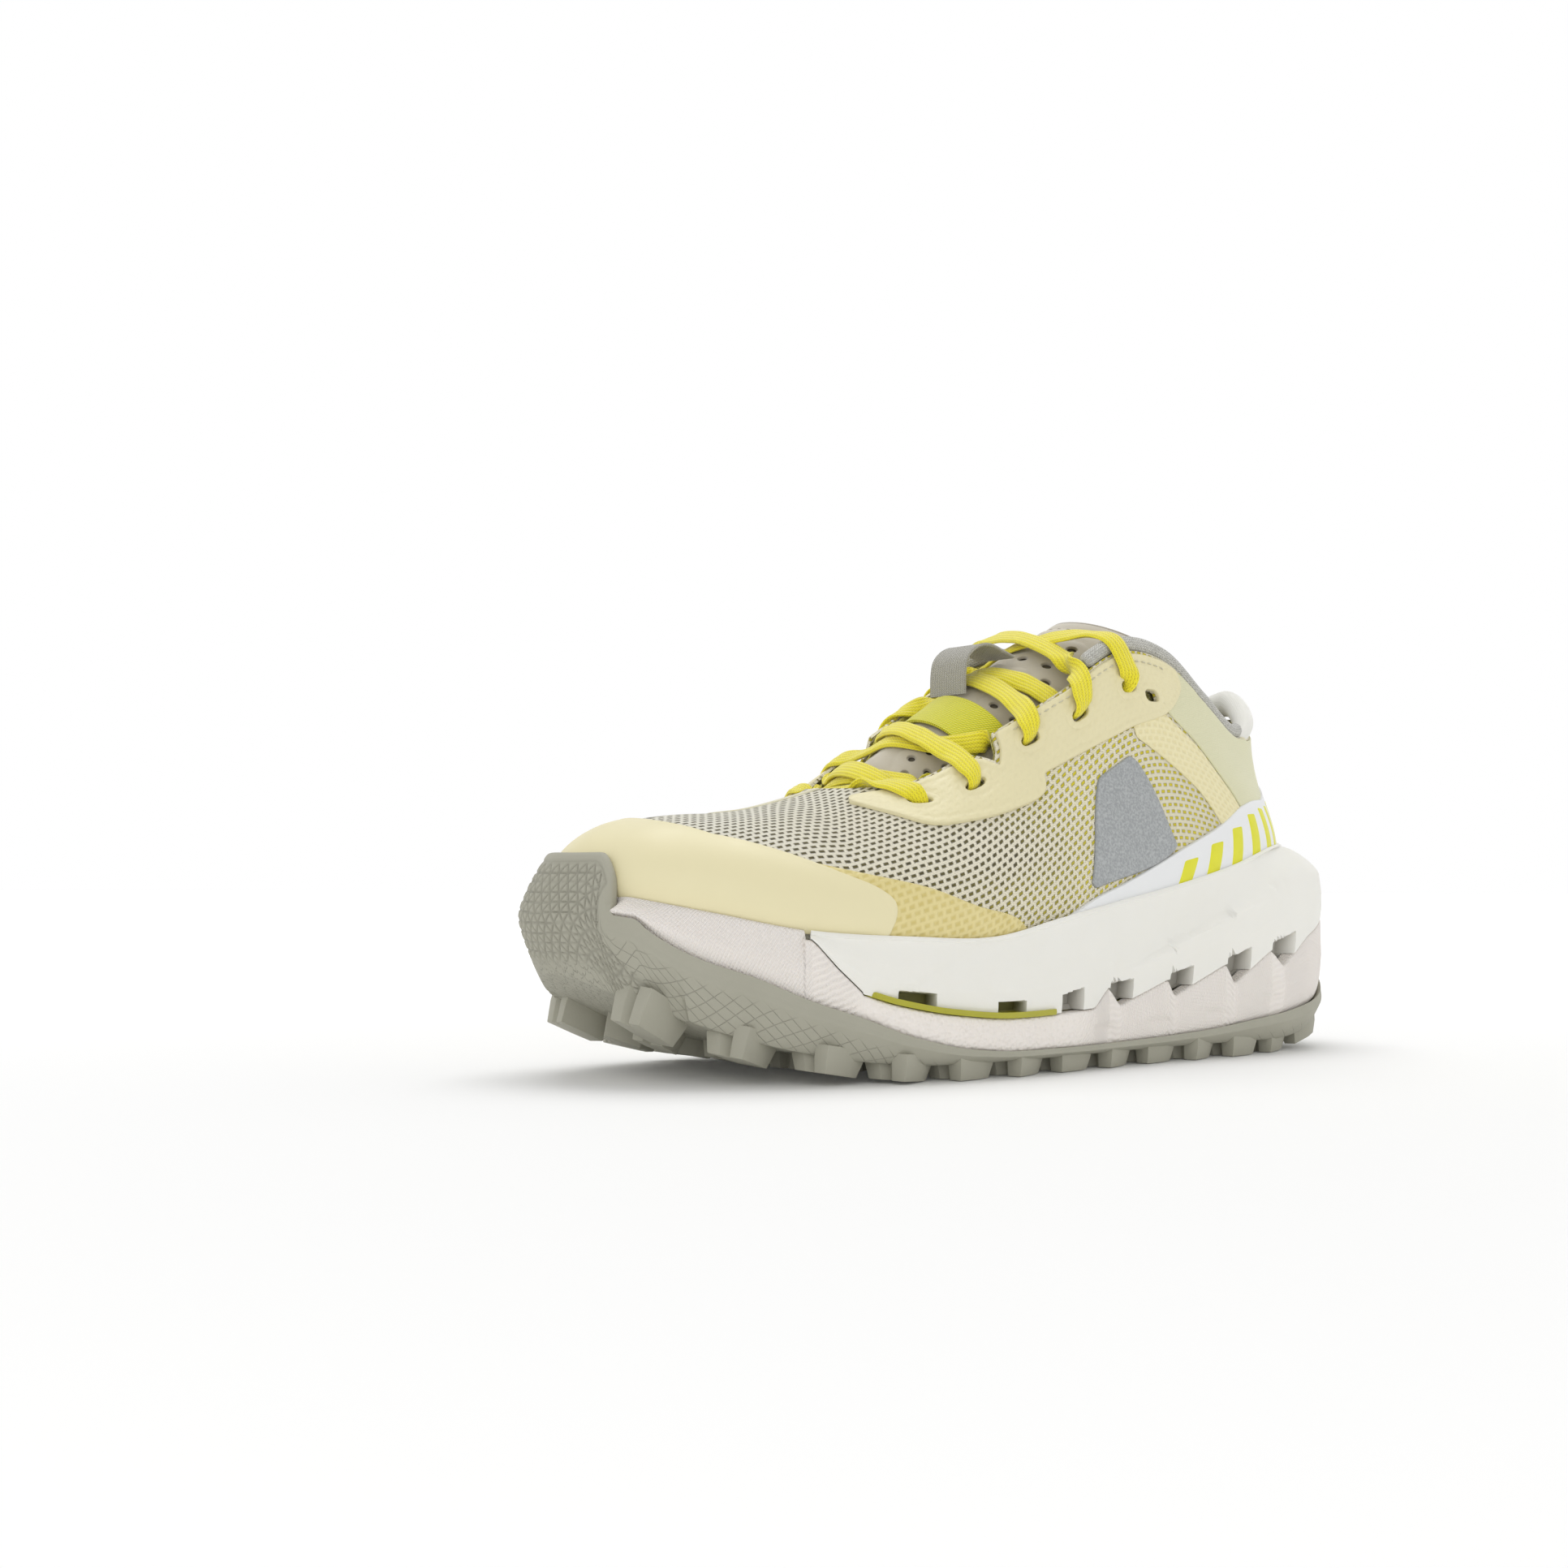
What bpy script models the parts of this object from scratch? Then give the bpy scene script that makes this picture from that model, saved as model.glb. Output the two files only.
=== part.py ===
"""Trail running shoe, left foot: sole stack, lasted upper, padded collar, tongue, lacing.

Units inside the geometry section are millimetres; every mesh is written in metres.
+Z up, -X towards the toe, -Y the outer (lateral) side. Z = 0 is the ground under the lugs.
"""
import math

import bpy
import bmesh
import numpy as np
from mathutils import Vector
from mathutils.bvhtree import BVHTree
from mathutils.geometry import delaunay_2d_cdt

for old in list(bpy.data.objects):
    bpy.data.objects.remove(old, do_unlink=True)

# ---------------------------------------------------------------- driving dimensions (mm)
OFFSET = (7.5, -0.9, 0.0)      # shift that centres the shoe's bounding box on the origin
GAP = 0.3                      # clearance between touching pieces
MESH_T = 1.2                   # knitted mesh thickness
FILM_IN, FILM_OUT = 0.3, 0.9   # first overlay layer, above the mesh
CAP_IN, CAP_OUT = 1.2, 1.8     # second overlay layer
LINING_T = 0.7
COLLAR_FOAM = 5.0              # foam thickness in the collar
OUTSOLE_T = 2.6
LUG_H = 4.5
LACE_R = 1.0                   # radius of the lace
HEM = 0.035                    # overlays start this far up the ribs, clear of the sole's rim

# ---------------------------------------------------------------- geometry (millimetres)
# Stations run round the shoe: 0 toe centre, 1..13 lateral, 14 heel centre, 15..27 medial.
HALF = 14
FULL = 2 * HALF
# lateral stations 0..14: sole outline (x, y); biteline (x, y, z); free edge of the upper (x, y, z);
# tangent leaving the biteline; tangent leaving the free edge, both into the panel
POLE = (-100.0, 10.0, 75.3)
LATERAL = [
    ((-155, 17), (-146.5, 16, 53), POLE, (0.5, 0, 14), (-30, 3, 0.0)),
    ((-152, 2), (-143, 2, 52.3), POLE, (1.2, -0.6, 14), (-29, -4, 0.0)),
    ((-143, -14), (-136, -13.0, 50), POLE, (-1.0, -2.6, 15), (-25, -15, 0.0)),
    ((-126, -29.5), (-121.5, -26.5, 46.3), POLE, (-1.0, -3.2, 17), (-17, -23, -0.5)),
    ((-102, -42.5), (-99, -38.5, 41.5), (-86, 8, 77.5), (-0.5, -3.5, 20), (-5, -27, -0.5)),
    ((-73, -51.5), (-72, -47, 39.7), (-66, 3, 83.5), (0, -3, 23), (-1, -25, -4)),
    ((-45, -54), (-44, -49.5, 39.3), (-47, -20.5, 85.8), (0, -2.0, 22), (0, -14, -8)),
    ((-16, -52.3), (-16, -47.8, 44.5), (-20, -25.5, 101.5), (0, -1.0, 20), (0, -8.5, -16)),
    ((12, -48.6), (12, -43.8, 49.3), (2, -31, 114.5), (0, 0.0, 20), (1, -4.5, -20)),
    ((40, -46), (40, -41, 54.2), (25, -31.5, 127.5), (0, 0.5, 20), (1, -3.5, -22)),
    ((68, -45), (68, -38.5, 60.3), (48, -30.2, 126.3), (0, 0.5, 18), (1, -2.5, -21)),
    ((95, -43), (91, -34, 66.5), (69, -28.3, 114.0), (-0.5, 1.5, 14), (1, -2.0, -16)),
    ((117, -36.5), (107, -24.8, 68.3), (90, -23.5, 104.3), (-0.5, 1.2, 13), (1, -1.0, -12)),
    ((133, -22), (117, -13.5, 68.5), (107.5, -14.5, 112.5), (-1.5, 1, 14), (-3, 0.8, -13)),
    ((140, -2), (121, -1, 68), (116.5, 1.5, 121), (-2.5, 0.3, 15), (-4.5, -0.5, -15)),
]
# medial stations 1..13, mirrored order (toe to heel)
MEDIAL = [
    ((-152, 29.5), (-142.5, 28.5, 52.3), POLE, (1.2, 0.6, 14), (-28, 12, 0.0)),
    ((-141, 41.5), (-133.5, 38.0, 50), POLE, (-0.5, 2.6, 15), (-23, 19, 0.0)),
    ((-122, 50), (-117.5, 45.2, 46.3), POLE, (-0.5, 3.2, 17), (-14, 24, -0.5)),
    ((-97, 55), (-94.5, 50, 41.3), (-86, 8, 77.5), (0, 3.0, 21), (-3, 28, -0.5)),
    ((-69, 55.8), (-68, 51, 39.5), (-66, 3, 83.5), (0, 2.5, 24), (-1, 26, -4)),
    ((-42, 52.5), (-41, 48, 39.5), (-50, 26, 87.0), (0, 2, 23), (0, 13, -9)),
    ((-14, 46), (-14, 41.5, 44.5), (-24, 28.5, 103.5), (0, 0.5, 21), (0, 8, -17)),
    ((13, 40.2), (13, 35.5, 49.3), (-2, 30, 116.5), (0, 0, 20), (1, 4.5, -20)),
    ((40, 37.4), (40, 32.5, 54.2), (22, 30.5, 129.0), (0, 0, 20), (1, 3.5, -22)),
    ((68, 38), (68, 32.3, 60.3), (46, 29, 127.5), (0, -0.5, 18), (1, 2.5, -21)),
    ((95, 38.5), (91, 30.5, 66.5), (68, 28, 115.0), (-0.5, -1.0, 14), (1, 2.0, -16)),
    ((117, 32.5), (107, 22.8, 68.3), (90, 24.5, 106.5), (-0.5, -1.2, 13), (1, 1.0, -12)),
    ((133, 18), (117, 11.5, 68.5), (108, 17, 115), (-1.5, -1, 14), (-3, -0.8, -13)),
]
ROWS = LATERAL + [MEDIAL[FULL - 1 - i] for i in range(HALF + 1, FULL)]
OUT = np.array([r[0] for r in ROWS], float)
BITE = np.array([r[1] for r in ROWS], float)
EDGE = np.array([r[2] for r in ROWS], float)
V0 = np.array([r[3] for r in ROWS], float)
V1 = np.array([r[4] for r in ROWS], float)
# centre line of the sole, one point per lateral station and its medial twin
SPINE_HALF = [(-120, 12), (-120, 12), (-118, 11.5), (-111, 10), (-95, 7.5), (-70, 3), (-43, 0), (-15, -3),
              (12, -4), (40, -4.2), (67, -3.6), (85, -3), (95, -2.4), (100, -1.8), (102, -1.5)]
SPINE = np.array(SPINE_HALF + SPINE_HALF[-2:0:-1], float)


def catmull(table, s):
    """Periodic Catmull-Rom through the station table."""
    s = np.asarray(s, float) % FULL
    i = np.floor(s).astype(int) % FULL
    f = (s - np.floor(s))[..., None]
    p0, p1, p2, p3 = (table[(i + k) % FULL] for k in (-1, 0, 1, 2))
    return 0.5 * (2 * p1 + (p2 - p0) * f + (2 * p0 - 5 * p1 + 4 * p2 - p3) * f ** 2 + (3 * p1 - p0 - 3 * p2 + p3) * f ** 3)


def edge_tangents():
    """Tangents of the free edge on each side of a station: it turns a corner at the throat's base."""
    mid = (np.roll(EDGE, -1, 0) - np.roll(EDGE, 1, 0)) / 2
    tin, tout = mid.copy(), mid.copy()
    for i in (0, 1, 2, 3, 25, 26, 27):
        tin[i] = tout[i] = 0
    tout[3] = (14, -2, 2.5)
    tin[25] = (-14, 2, -2.5)
    tin[5], tout[5] = (19, -6, 6.5), (2, -26, -0.5)
    tin[23], tout[23] = (1, -25, -0.5), (-19, 6, -6.5)
    tin[4] = tout[4] = (17, -2.5, 4.1)
    tin[24] = tout[24] = (-17, 2.5, -4.1)
    return tin, tout


EDGE_IN, EDGE_OUT = edge_tangents()


def free_edge(s):
    s = np.asarray(s, float) % FULL
    i = np.floor(s).astype(int) % FULL
    f = (s - np.floor(s))[..., None]
    j = (i + 1) % FULL
    h00, h10 = 2 * f ** 3 - 3 * f ** 2 + 1, f ** 3 - 2 * f ** 2 + f
    h01, h11 = -2 * f ** 3 + 3 * f ** 2, f ** 3 - f ** 2
    return h00 * EDGE[i] + h10 * EDGE_OUT[i] + h01 * EDGE[j] + h11 * EDGE_IN[j]


def upper(s, t):
    """Outer face of the upper: t 0 at the biteline, 1 at the free edge."""
    s, t = np.broadcast_arrays(np.asarray(s, float), np.asarray(t, float))
    b, e = catmull(BITE, s), free_edge(s)
    p1, p2 = b + catmull(V0, s), e + catmull(V1, s)
    t = t[..., None]
    return (1 - t) ** 3 * b + 3 * (1 - t) ** 2 * t * p1 + 3 * (1 - t) * t ** 2 * p2 + t ** 3 * e


def upper_normal(s, t):
    s, t = np.broadcast_arrays(np.asarray(s, float), np.asarray(t, float))
    pole = (np.minimum(s % FULL, FULL - s % FULL) < 3.4)
    tt = np.where(pole, np.minimum(t, 0.93), t)
    d = 1e-3
    ds = upper(s + d, tt) - upper(s - d, tt)
    dt = upper(s, np.minimum(tt + d, 1)) - upper(s, np.maximum(tt - d, 0))
    n = np.cross(ds, dt)
    return n / np.maximum(np.linalg.norm(n, axis=-1, keepdims=True), 1e-9)


def curve_tab(xs, ys, x):
    """Monotone cubic through a table."""
    xs, ys = np.array(xs, float), np.array(ys, float)
    h, d = np.diff(xs), np.diff(ys) / np.diff(xs)
    m = np.zeros(len(xs))
    m[0], m[-1] = d[0], d[-1]
    for k in range(1, len(xs) - 1):
        if d[k - 1] * d[k] > 0:
            w1, w2 = 2 * h[k] + h[k - 1], h[k] + 2 * h[k - 1]
            m[k] = (w1 + w2) / (w1 / d[k - 1] + w2 / d[k])
    x = np.clip(np.asarray(x, float), xs[0], xs[-1])
    k = np.clip(np.searchsorted(xs, x, side="right") - 1, 0, len(xs) - 2)
    f = (x - xs[k]) / h[k]
    return ((2 * f ** 3 - 3 * f ** 2 + 1) * ys[k] + (f ** 3 - 2 * f ** 2 + f) * h[k] * m[k]
            + (-2 * f ** 3 + 3 * f ** 2) * ys[k + 1] + (f ** 3 - f ** 2) * h[k] * m[k + 1])


def outline(s):
    """Point and outward normal of the sole's widest outline."""
    p = catmull(OUT, s)
    d = catmull(OUT, np.asarray(s) + 0.02) - catmull(OUT, np.asarray(s) - 0.02)
    n = np.stack([d[..., 1], -d[..., 0]], -1)
    return p, n / np.linalg.norm(n, axis=-1, keepdims=True)


def footbed_z(x):
    return curve_tab([-150, -130, -100, -50, 0, 50, 100, 140], [43.5, 39, 32.5, 29.5, 33, 38.5, 42, 43], x)


def underside_z(x):
    return curve_tab([-155, -140, -120, -100, -80, -60, 90, 110, 125, 134, 140],
                     [35, 24, 14.4, 8.8, 5.7, 4.5, 4.5, 6.5, 11, 17, 23], x)


def carrier_line_z(x):
    """Height of the edge between the outsole and the lower midsole."""
    return curve_tab([-145, -138.5, -128.5, -116, -102, -89, -72, -53, -35, -11, 17, 48, 72, 95, 118, 140],
                     [50, 41, 34, 29, 22.6, 18, 11.8, 8.0, 6.8, 6.8, 7.2, 8.4, 10.6, 13.2, 17.5, 27], x)


def plate_z(x):
    """Smooth split height between the two midsole foams."""
    return curve_tab([-150, -120, -100, -89, -78, -60, -39, -19, 10, 40, 70, 100, 130, 150],
                     [38, 31, 27, 25, 21.8, 18.6, 17, 17.4, 18.6, 20.4, 23.2, 27, 31, 33], x)


TEETH = [(-19, 17.4), (-3, 18.2), (4, 24.5), (9.5, 18.6), (33, 26), (36, 20.5), (61, 30), (65, 23.5),
         (84, 34), (91, 28.5), (106, 38), (122, 43.5), (151, 45)]


def split_z(x):
    """Height of the visible edge between the two foams: sawtooth towards the heel."""
    tx, tz = np.array(TEETH).T
    return np.where(x < -19, plate_z(x), np.interp(x, tx, tz))

# ---------------------------------------------------------------- facet lattice of the upper
COLS = sorted([float(i) for i in range(FULL)] + [0.5, 1.5, 2.5, 3.5, 11.5, 12.5, 13.5, 14.5, 15.5, 16.5, 24.5, 25.5, 26.5, 27.5])
COLS_ARRAY = np.array(COLS + [float(FULL)])
LEVELS = [-1.0, 0.0, 0.12, 0.25, 0.4, 0.55, 0.7, 0.85, 1.0]


def loop_interp(values, s):
    """Linear interpolation between lattice columns, periodic in s."""
    v = np.concatenate([values, values[:1]])
    s = np.asarray(s, float) % FULL
    return np.stack([np.interp(s, COLS_ARRAY, v[:, k]) for k in range(v.shape[1])], -1)


OUT_C, OUT_N = outline(np.array(COLS))
BITE_C = catmull(BITE, np.array(COLS))


def hem_point(s, q):
    """Lasting margin: q 0 at the biteline, 1 at the footbed's edge."""
    s = np.asarray(s, float)
    b, (_, n) = catmull(BITE, s), outline(s)
    f = np.concatenate([b[..., :2] - 3.0 * n, (footbed_z(b[..., 0]) + 2.0)[..., None]], -1)
    return b + (f - b) * np.asarray(q, float)[..., None]


def node_point(s, t):
    if t < 0:
        return hem_point(s, -t)
    return upper(s, t)


def node_normal(s, t):
    s = s % FULL
    if t < 0:
        _, n = outline(s)
        return np.array([n[0], n[1], 0.0])
    if t >= 0.999:
        m = min(s, FULL - s)
        if m <= 5:
            if m < 3:
                return np.array([-0.02, 0.0, 1.0])
            n = upper_normal(m, 0.985) + upper_normal(FULL - m, 0.985)
            return n / np.linalg.norm(n)
    return upper_normal(s, t)


NODE = {}


def node(i, j):
    """Position and normal of lattice node: column index i (periodic), level j."""
    key = (i % len(COLS), j)
    if key not in NODE:
        s, t = COLS[key[0]], LEVELS[j]
        NODE[key] = (node_point(s, t), node_normal(s, t), s, t)
    return NODE[key]


def col_s(i):
    return COLS[i % len(COLS)] + FULL * (i // len(COLS))


def locate(s, t):
    """Lattice triangle holding (s, t): three nodes and their weights."""
    base = math.floor(s / FULL)
    r = s - base * FULL
    i = max(k for k in range(len(COLS)) if COLS[k] <= r + 1e-9) + base * len(COLS)
    j = min(max(k for k in range(len(LEVELS)) if LEVELS[k] <= t + 1e-9), len(LEVELS) - 2)
    u = (s - col_s(i)) / (col_s(i + 1) - col_s(i))
    v = (t - LEVELS[j]) / (LEVELS[j + 1] - LEVELS[j])
    if u >= v:
        return ((i, j), 1 - u), ((i + 1, j), u - v), ((i + 1, j + 1), v)
    return ((i, j), 1 - v), ((i, j + 1), v - u), ((i + 1, j + 1), u)


def facet(s, t, depth):
    """Point on the faceted upper, lifted along the normals by depth (a number or a function of s, t)."""
    p = np.zeros(3)
    for (i, j), w in locate(s, t):
        q, n, ns, nt = node(i, j)
        d = depth(ns, nt) if callable(depth) else depth
        p = p + w * (q + d * n)
    return p


T_SCALE = 2.5


def inside(x, y, poly):
    hit = False
    for k in range(len(poly)):
        (x1, y1), (x2, y2) = poly[k - 1], poly[k]
        if (y1 > y) != (y2 > y) and x < (x2 - x1) * (y - y1) / (y2 - y1) + x1:
            hit = not hit
    return hit


def cut_domain(poly, holes=()):
    """Triangles of a polygon in the (s, t) domain, split along every lattice line."""
    s0, s1 = min(p[0] for p in poly), max(p[0] for p in poly)
    t0, t1 = min(p[1] for p in poly), max(p[1] for p in poly)
    pts, edges = [], []

    def add(s, t):
        pts.append(Vector((s, t * T_SCALE)))
        return len(pts) - 1

    for ring in [poly] + list(holes):
        ids = [add(*p) for p in ring]
        edges += [(ids[k - 1], ids[k]) for k in range(len(ids))]
    first = 0
    while col_s(first) > s0:
        first -= 1
    while col_s(first + 1) <= s0:
        first += 1
    cols = [first]
    while col_s(cols[-1]) < s1:
        cols.append(cols[-1] + 1)
    rows = [k for k in range(len(LEVELS)) if k + 1 >= len(LEVELS) or LEVELS[k + 1] > t0 - 1e-9]
    rows = [k for k in rows if k == rows[0] or LEVELS[k - 1] < t1 + 1e-9]
    ids = {(i, j): add(col_s(i), LEVELS[j]) for i in cols for j in rows}
    for i in cols:
        for j in rows:
            for di, dj in ((1, 0), (0, 1), (1, 1)):
                if (i + di, j + dj) in ids:
                    edges.append((ids[i, j], ids[i + di, j + dj]))
    verts, _, faces, *_ = delaunay_2d_cdt(pts, edges, [], 0, 1e-5)
    verts = [(v.x, v.y / T_SCALE) for v in verts]
    keep = []
    for f in faces:
        cx = sum(verts[k][0] for k in f) / 3
        cy = sum(verts[k][1] for k in f) / 3
        if inside(cx, cy, poly) and not any(inside(cx, cy, h) for h in holes):
            keep.append(tuple(f))
    return verts, keep


def material(name, color, rough, metal=0.0):
    m = bpy.data.materials.get(name)
    if m is None:
        m = bpy.data.materials.new(name)
        m.use_nodes = True
        b = m.node_tree.nodes["Principled BSDF"]
        b.inputs["Base Color"].default_value = (*color, 1)
        b.inputs["Roughness"].default_value = rough
        b.inputs["Metallic"].default_value = metal
        m.diffuse_color = (*color, 1)
    return m


PARTS = bpy.data.collections.new("running_shoe")
GUIDES = bpy.data.collections.new("cutters")
bpy.context.scene.collection.children.link(PARTS)
bpy.context.scene.collection.children.link(GUIDES)
SHIFT = np.array(OFFSET)


def make_object(name, verts, faces, mat, collection=None, smooth=True):
    mesh = bpy.data.meshes.new(name)
    mesh.from_pydata([tuple((np.asarray(v) + SHIFT) * 0.001) for v in verts], [], [tuple(int(k) for k in f) for f in faces])
    mesh.update()
    bm = bmesh.new()
    bm.from_mesh(mesh)
    bmesh.ops.remove_doubles(bm, verts=bm.verts, dist=2e-6)
    bmesh.ops.dissolve_degenerate(bm, dist=1e-6, edges=bm.edges)
    bmesh.ops.triangulate(bm, faces=bm.faces)
    bmesh.ops.recalc_face_normals(bm, faces=bm.faces)
    if bm.calc_volume(signed=True) < 0:
        bmesh.ops.reverse_faces(bm, faces=bm.faces)
    bm.to_mesh(mesh)
    bm.free()
    if smooth:
        mesh.shade_smooth()
        mesh.set_sharp_from_angle(angle=math.radians(35))
    mesh.materials.append(mat)
    obj = bpy.data.objects.new(name, mesh)
    (collection or PARTS).objects.link(obj)
    return obj


def panel(name, poly, mat, d_in, d_out, holes=()):
    """Closed sheet between two depths over a polygon of the upper."""
    verts, faces = cut_domain(poly, holes)
    key, ids, base = {}, [], []
    for s, t in verts:
        p = facet(s, t, 0.0)
        k = tuple(np.round(p, 2))
        if k not in key:
            key[k] = len(base)
            base.append((s, t))
        ids.append(key[k])
    tris = []
    for f in faces:
        g = tuple(ids[k] for k in f)
        if len(set(g)) == 3:
            tris.append(g)
    used = sorted({k for f in tris for k in f})
    renum = {k: n for n, k in enumerate(used)}
    tris = [tuple(renum[k] for k in f) for f in tris]
    outer = [facet(*base[k], d_out) for k in used]
    inner = [facet(*base[k], d_in) for k in used]
    count = len(used)
    half_edges = {}
    for f in tris:
        for a, b in ((f[0], f[1]), (f[1], f[2]), (f[2], f[0])):
            half_edges[a, b] = True
    out_faces = list(tris) + [(f[2] + count, f[1] + count, f[0] + count) for f in tris]
    for a, b in half_edges:
        if (b, a) not in half_edges:
            out_faces.append((b, a, a + count, b + count))
    return make_object(name, outer + inner, out_faces, mat)


def mirror_s(poly):
    return [(-s, t) for s, t in poly][::-1]


def twin(poly):
    """The same outline on the medial side."""
    return [(FULL - s, t) for s, t in poly][::-1]


# ---------------------------------------------------------------- outlines on the upper (station, height share)
SLOTS = [(5.80, 0.785), (6.47, 0.785), (7.35, 0.860), (8.15, 0.850), (9.05, 0.845), (9.46, 0.800)]
SLOT_SHAPE = [(0.14, 0), (0.10, 0.028), (-0.10, 0.028), (-0.14, 0), (-0.10, -0.028), (0.10, -0.028)]


def slot_hole(s, t):
    return [(s + a, t + b) for a, b in SLOT_SHAPE]


LAT_HOLES = [slot_hole(*p) for p in SLOTS]
MED_HOLES = [twin(h) for h in LAT_HOLES]
NOTCH = [(6.50, 1.0), (6.64, 0.95), (6.83, 0.85), (6.90, 0.90), (6.93, 1.0)]
HEEL_DIP = [(12.25, 1.0), (12.55, 0.92), (12.95, 0.86), (14.0, 0.84)]
HEEL_DIP = HEEL_DIP + twin(HEEL_DIP)[1:]

TOE_CAP = [(4.74, HEM), (4.86, 0.15), (4.72, 0.21), (4.36, 0.29), (3.89, 0.39), (3.24, 0.50), (2.6, 0.58), (1.98, 0.62),
           (1.0, 0.66), (0.2, 0.67), (-0.9, 0.66), (-1.8, 0.62), (-2.8, 0.54), (-3.6, 0.43), (-4.3, 0.30), (-4.72, 0.20), (-4.84, 0.13), (-4.72, HEM)]
MUDGUARD = [(3.0, HEM), (6.6, HEM), (6.34, 0.08), (5.8, 0.16), (5.37, 0.22), (4.88, 0.26), (4.05, 0.36), (3.5, 0.44), (3.0, 0.47)]
EYESTAY = [(4.95, 0.75), (5.37, 0.67), (5.66, 0.605), (6.11, 0.60), (6.69, 0.575), (7.14, 0.58), (7.28, 0.60), (7.37, 0.68),
           (8.07, 0.69), (8.80, 0.68), (9.61, 0.72), (10.03, 0.81), (10.25, 0.92), (10.2, 0.985),
           (8.15, 0.985), (6.96, 0.985), (6.94, 0.89), (6.84, 0.81), (6.62, 0.92), (6.33, 0.965), (5.91, 0.96), (5.5, 0.90), (5.1, 0.82)]
STRAP = [(10.1, 0.13), (10.68, 0.13), (10.64, 0.31), (10.57, 0.40), (10.43, 0.49), (10.20, 0.60), (9.87, 0.68), (9.62, 0.74),
         (8.97, 0.70), (8.97, 0.64), (9.25, 0.57), (9.55, 0.49), (9.82, 0.40), (9.97, 0.31), (10.06, 0.23)]
HEEL_FRONT = [(9.95, 0.985), (9.68, 0.76), (9.91, 0.70), (10.24, 0.615), (10.48, 0.50), (10.61, 0.41), (10.69, 0.31), (10.73, 0.13)]
FOX_TOP = [(14.0, 0.49), (13.3, 0.485), (12.6, 0.465), (11.5, 0.39), (10.64, 0.315), (10.06, 0.24), (9.24, 0.17), (8.09, 0.085), (7.65, 0.06), (6.85, HEM + 0.001)]
EMBLEM_LATERAL = [(7.66, 0.10), (9.08, 0.165), (9.16, 0.19), (8.84, 0.555), (8.76, 0.585), (8.16, 0.565), (8.08, 0.53), (7.60, 0.13)]
EMBLEM_MEDIAL = [(19.35, 0.33), (19.75, 0.33), (19.78, 0.35), (19.88, 0.47), (19.86, 0.49), (19.48, 0.49), (19.45, 0.47), (19.33, 0.35)]


def collar_swell(s, t):
    """Share of the collar foam's thickness at a place on the upper."""
    m = min(s % FULL, FULL - s % FULL)
    along = np.clip((m - 9.2) / 1.6, 0, 1)
    up = np.clip((t - 0.50) / 0.2, 0, 1) * np.clip((1.03 - t) / 0.12, 0.25, 1)
    return float(along * up)


def lining_out(s, t):
    return -2.6 - COLLAR_FOAM * collar_swell(s, t)


def lining_in(s, t):
    return lining_out(s, t) - LINING_T


def foam_in(s, t):
    return lining_out(s, t) + GAP


rubber = material("outsole_rubber", (0.39, 0.38, 0.32), 0.75)
carrier_mat = material("carrier_foam", (0.80, 0.74, 0.68), 0.8)
white_foam = material("white_foam", (0.86, 0.85, 0.80), 0.75)
plate_mat = material("plate_nylon", (0.38, 0.36, 0.04), 0.4)
board_mat = material("strobel_fabric", (0.75, 0.75, 0.72), 0.9)
sock_mat = material("sockliner_fabric", (0.62, 0.60, 0.30), 0.9)
lining_mat = material("lining_fabric", (0.72, 0.70, 0.30), 0.9)
mesh_mat = material("mesh_fabric", (0.80, 0.76, 0.60), 0.85)
cap_mat = material("overlay_tpu", (0.78, 0.71, 0.42), 0.55)
film_mat = material("mudguard_film", (0.74, 0.58, 0.22), 0.45)
band_mat = material("foxing_film", (0.80, 0.80, 0.78), 0.5)
heel_mat = material("heel_panel", (0.62, 0.60, 0.38), 0.7)
counter_mat = material("counter_board", (0.85, 0.85, 0.83), 0.6)
foam_mat = material("pad_foam", (0.85, 0.82, 0.70), 0.95)
bind_mat = material("collar_knit", (0.50, 0.49, 0.44), 0.9)
pillow_mat = material("heel_pillow_fabric", (0.68, 0.67, 0.60), 0.9)
tongue_mat = material("tongue_microfibre", (0.44, 0.41, 0.34), 0.9)
label_mat = material("label_webbing", (0.42, 0.41, 0.37), 0.9)
elastic_mat = material("elastic_knit", (0.66, 0.66, 0.01), 0.85)
lace_mat = material("lace_polyester", (0.80, 0.66, 0.03), 0.8)
aglet_mat = material("aglet_plastic", (0.75, 0.62, 0.05), 0.3)
patch_mat = material("reflective_patch", (0.34, 0.35, 0.35), 0.35)

# ---------------------------------------------------------------- the lasted upper
upper_poly = ([(0.0, -1.0), (28.0, -1.0), (28.0, 1.0), (21.5, 1.0)] + [(28 - s, t) for s, t in NOTCH[1:]]
              + HEEL_DIP[::-1] + NOTCH[::-1] + [(0.0, 1.0)])
all_holes = LAT_HOLES + MED_HOLES
panel("mesh_upper", upper_poly, mesh_mat, -MESH_T, 0.0, all_holes)
panel("inner_lining", upper_poly, lining_mat, lining_in, lining_out, all_holes)
panel("toe_cap_overlay", TOE_CAP, cap_mat, CAP_IN, CAP_OUT)
panel("mudguard_film_lateral", MUDGUARD, film_mat, FILM_IN, FILM_OUT)
panel("mudguard_film_medial", mirror_s(MUDGUARD), film_mat, FILM_IN, FILM_OUT)
panel("eyestay_lateral", EYESTAY, cap_mat, CAP_IN, CAP_OUT, LAT_HOLES)
panel("eyestay_medial", twin(EYESTAY), cap_mat, CAP_IN, CAP_OUT, MED_HOLES)
panel("quarter_strap_lateral", STRAP, film_mat, FILM_IN, FILM_OUT)
panel("quarter_strap_medial", twin(STRAP), film_mat, FILM_IN, FILM_OUT)
dip_panel = [(12.20, 0.985), (12.50, 0.91), (12.92, 0.85), (14.0, 0.83)]
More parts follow.
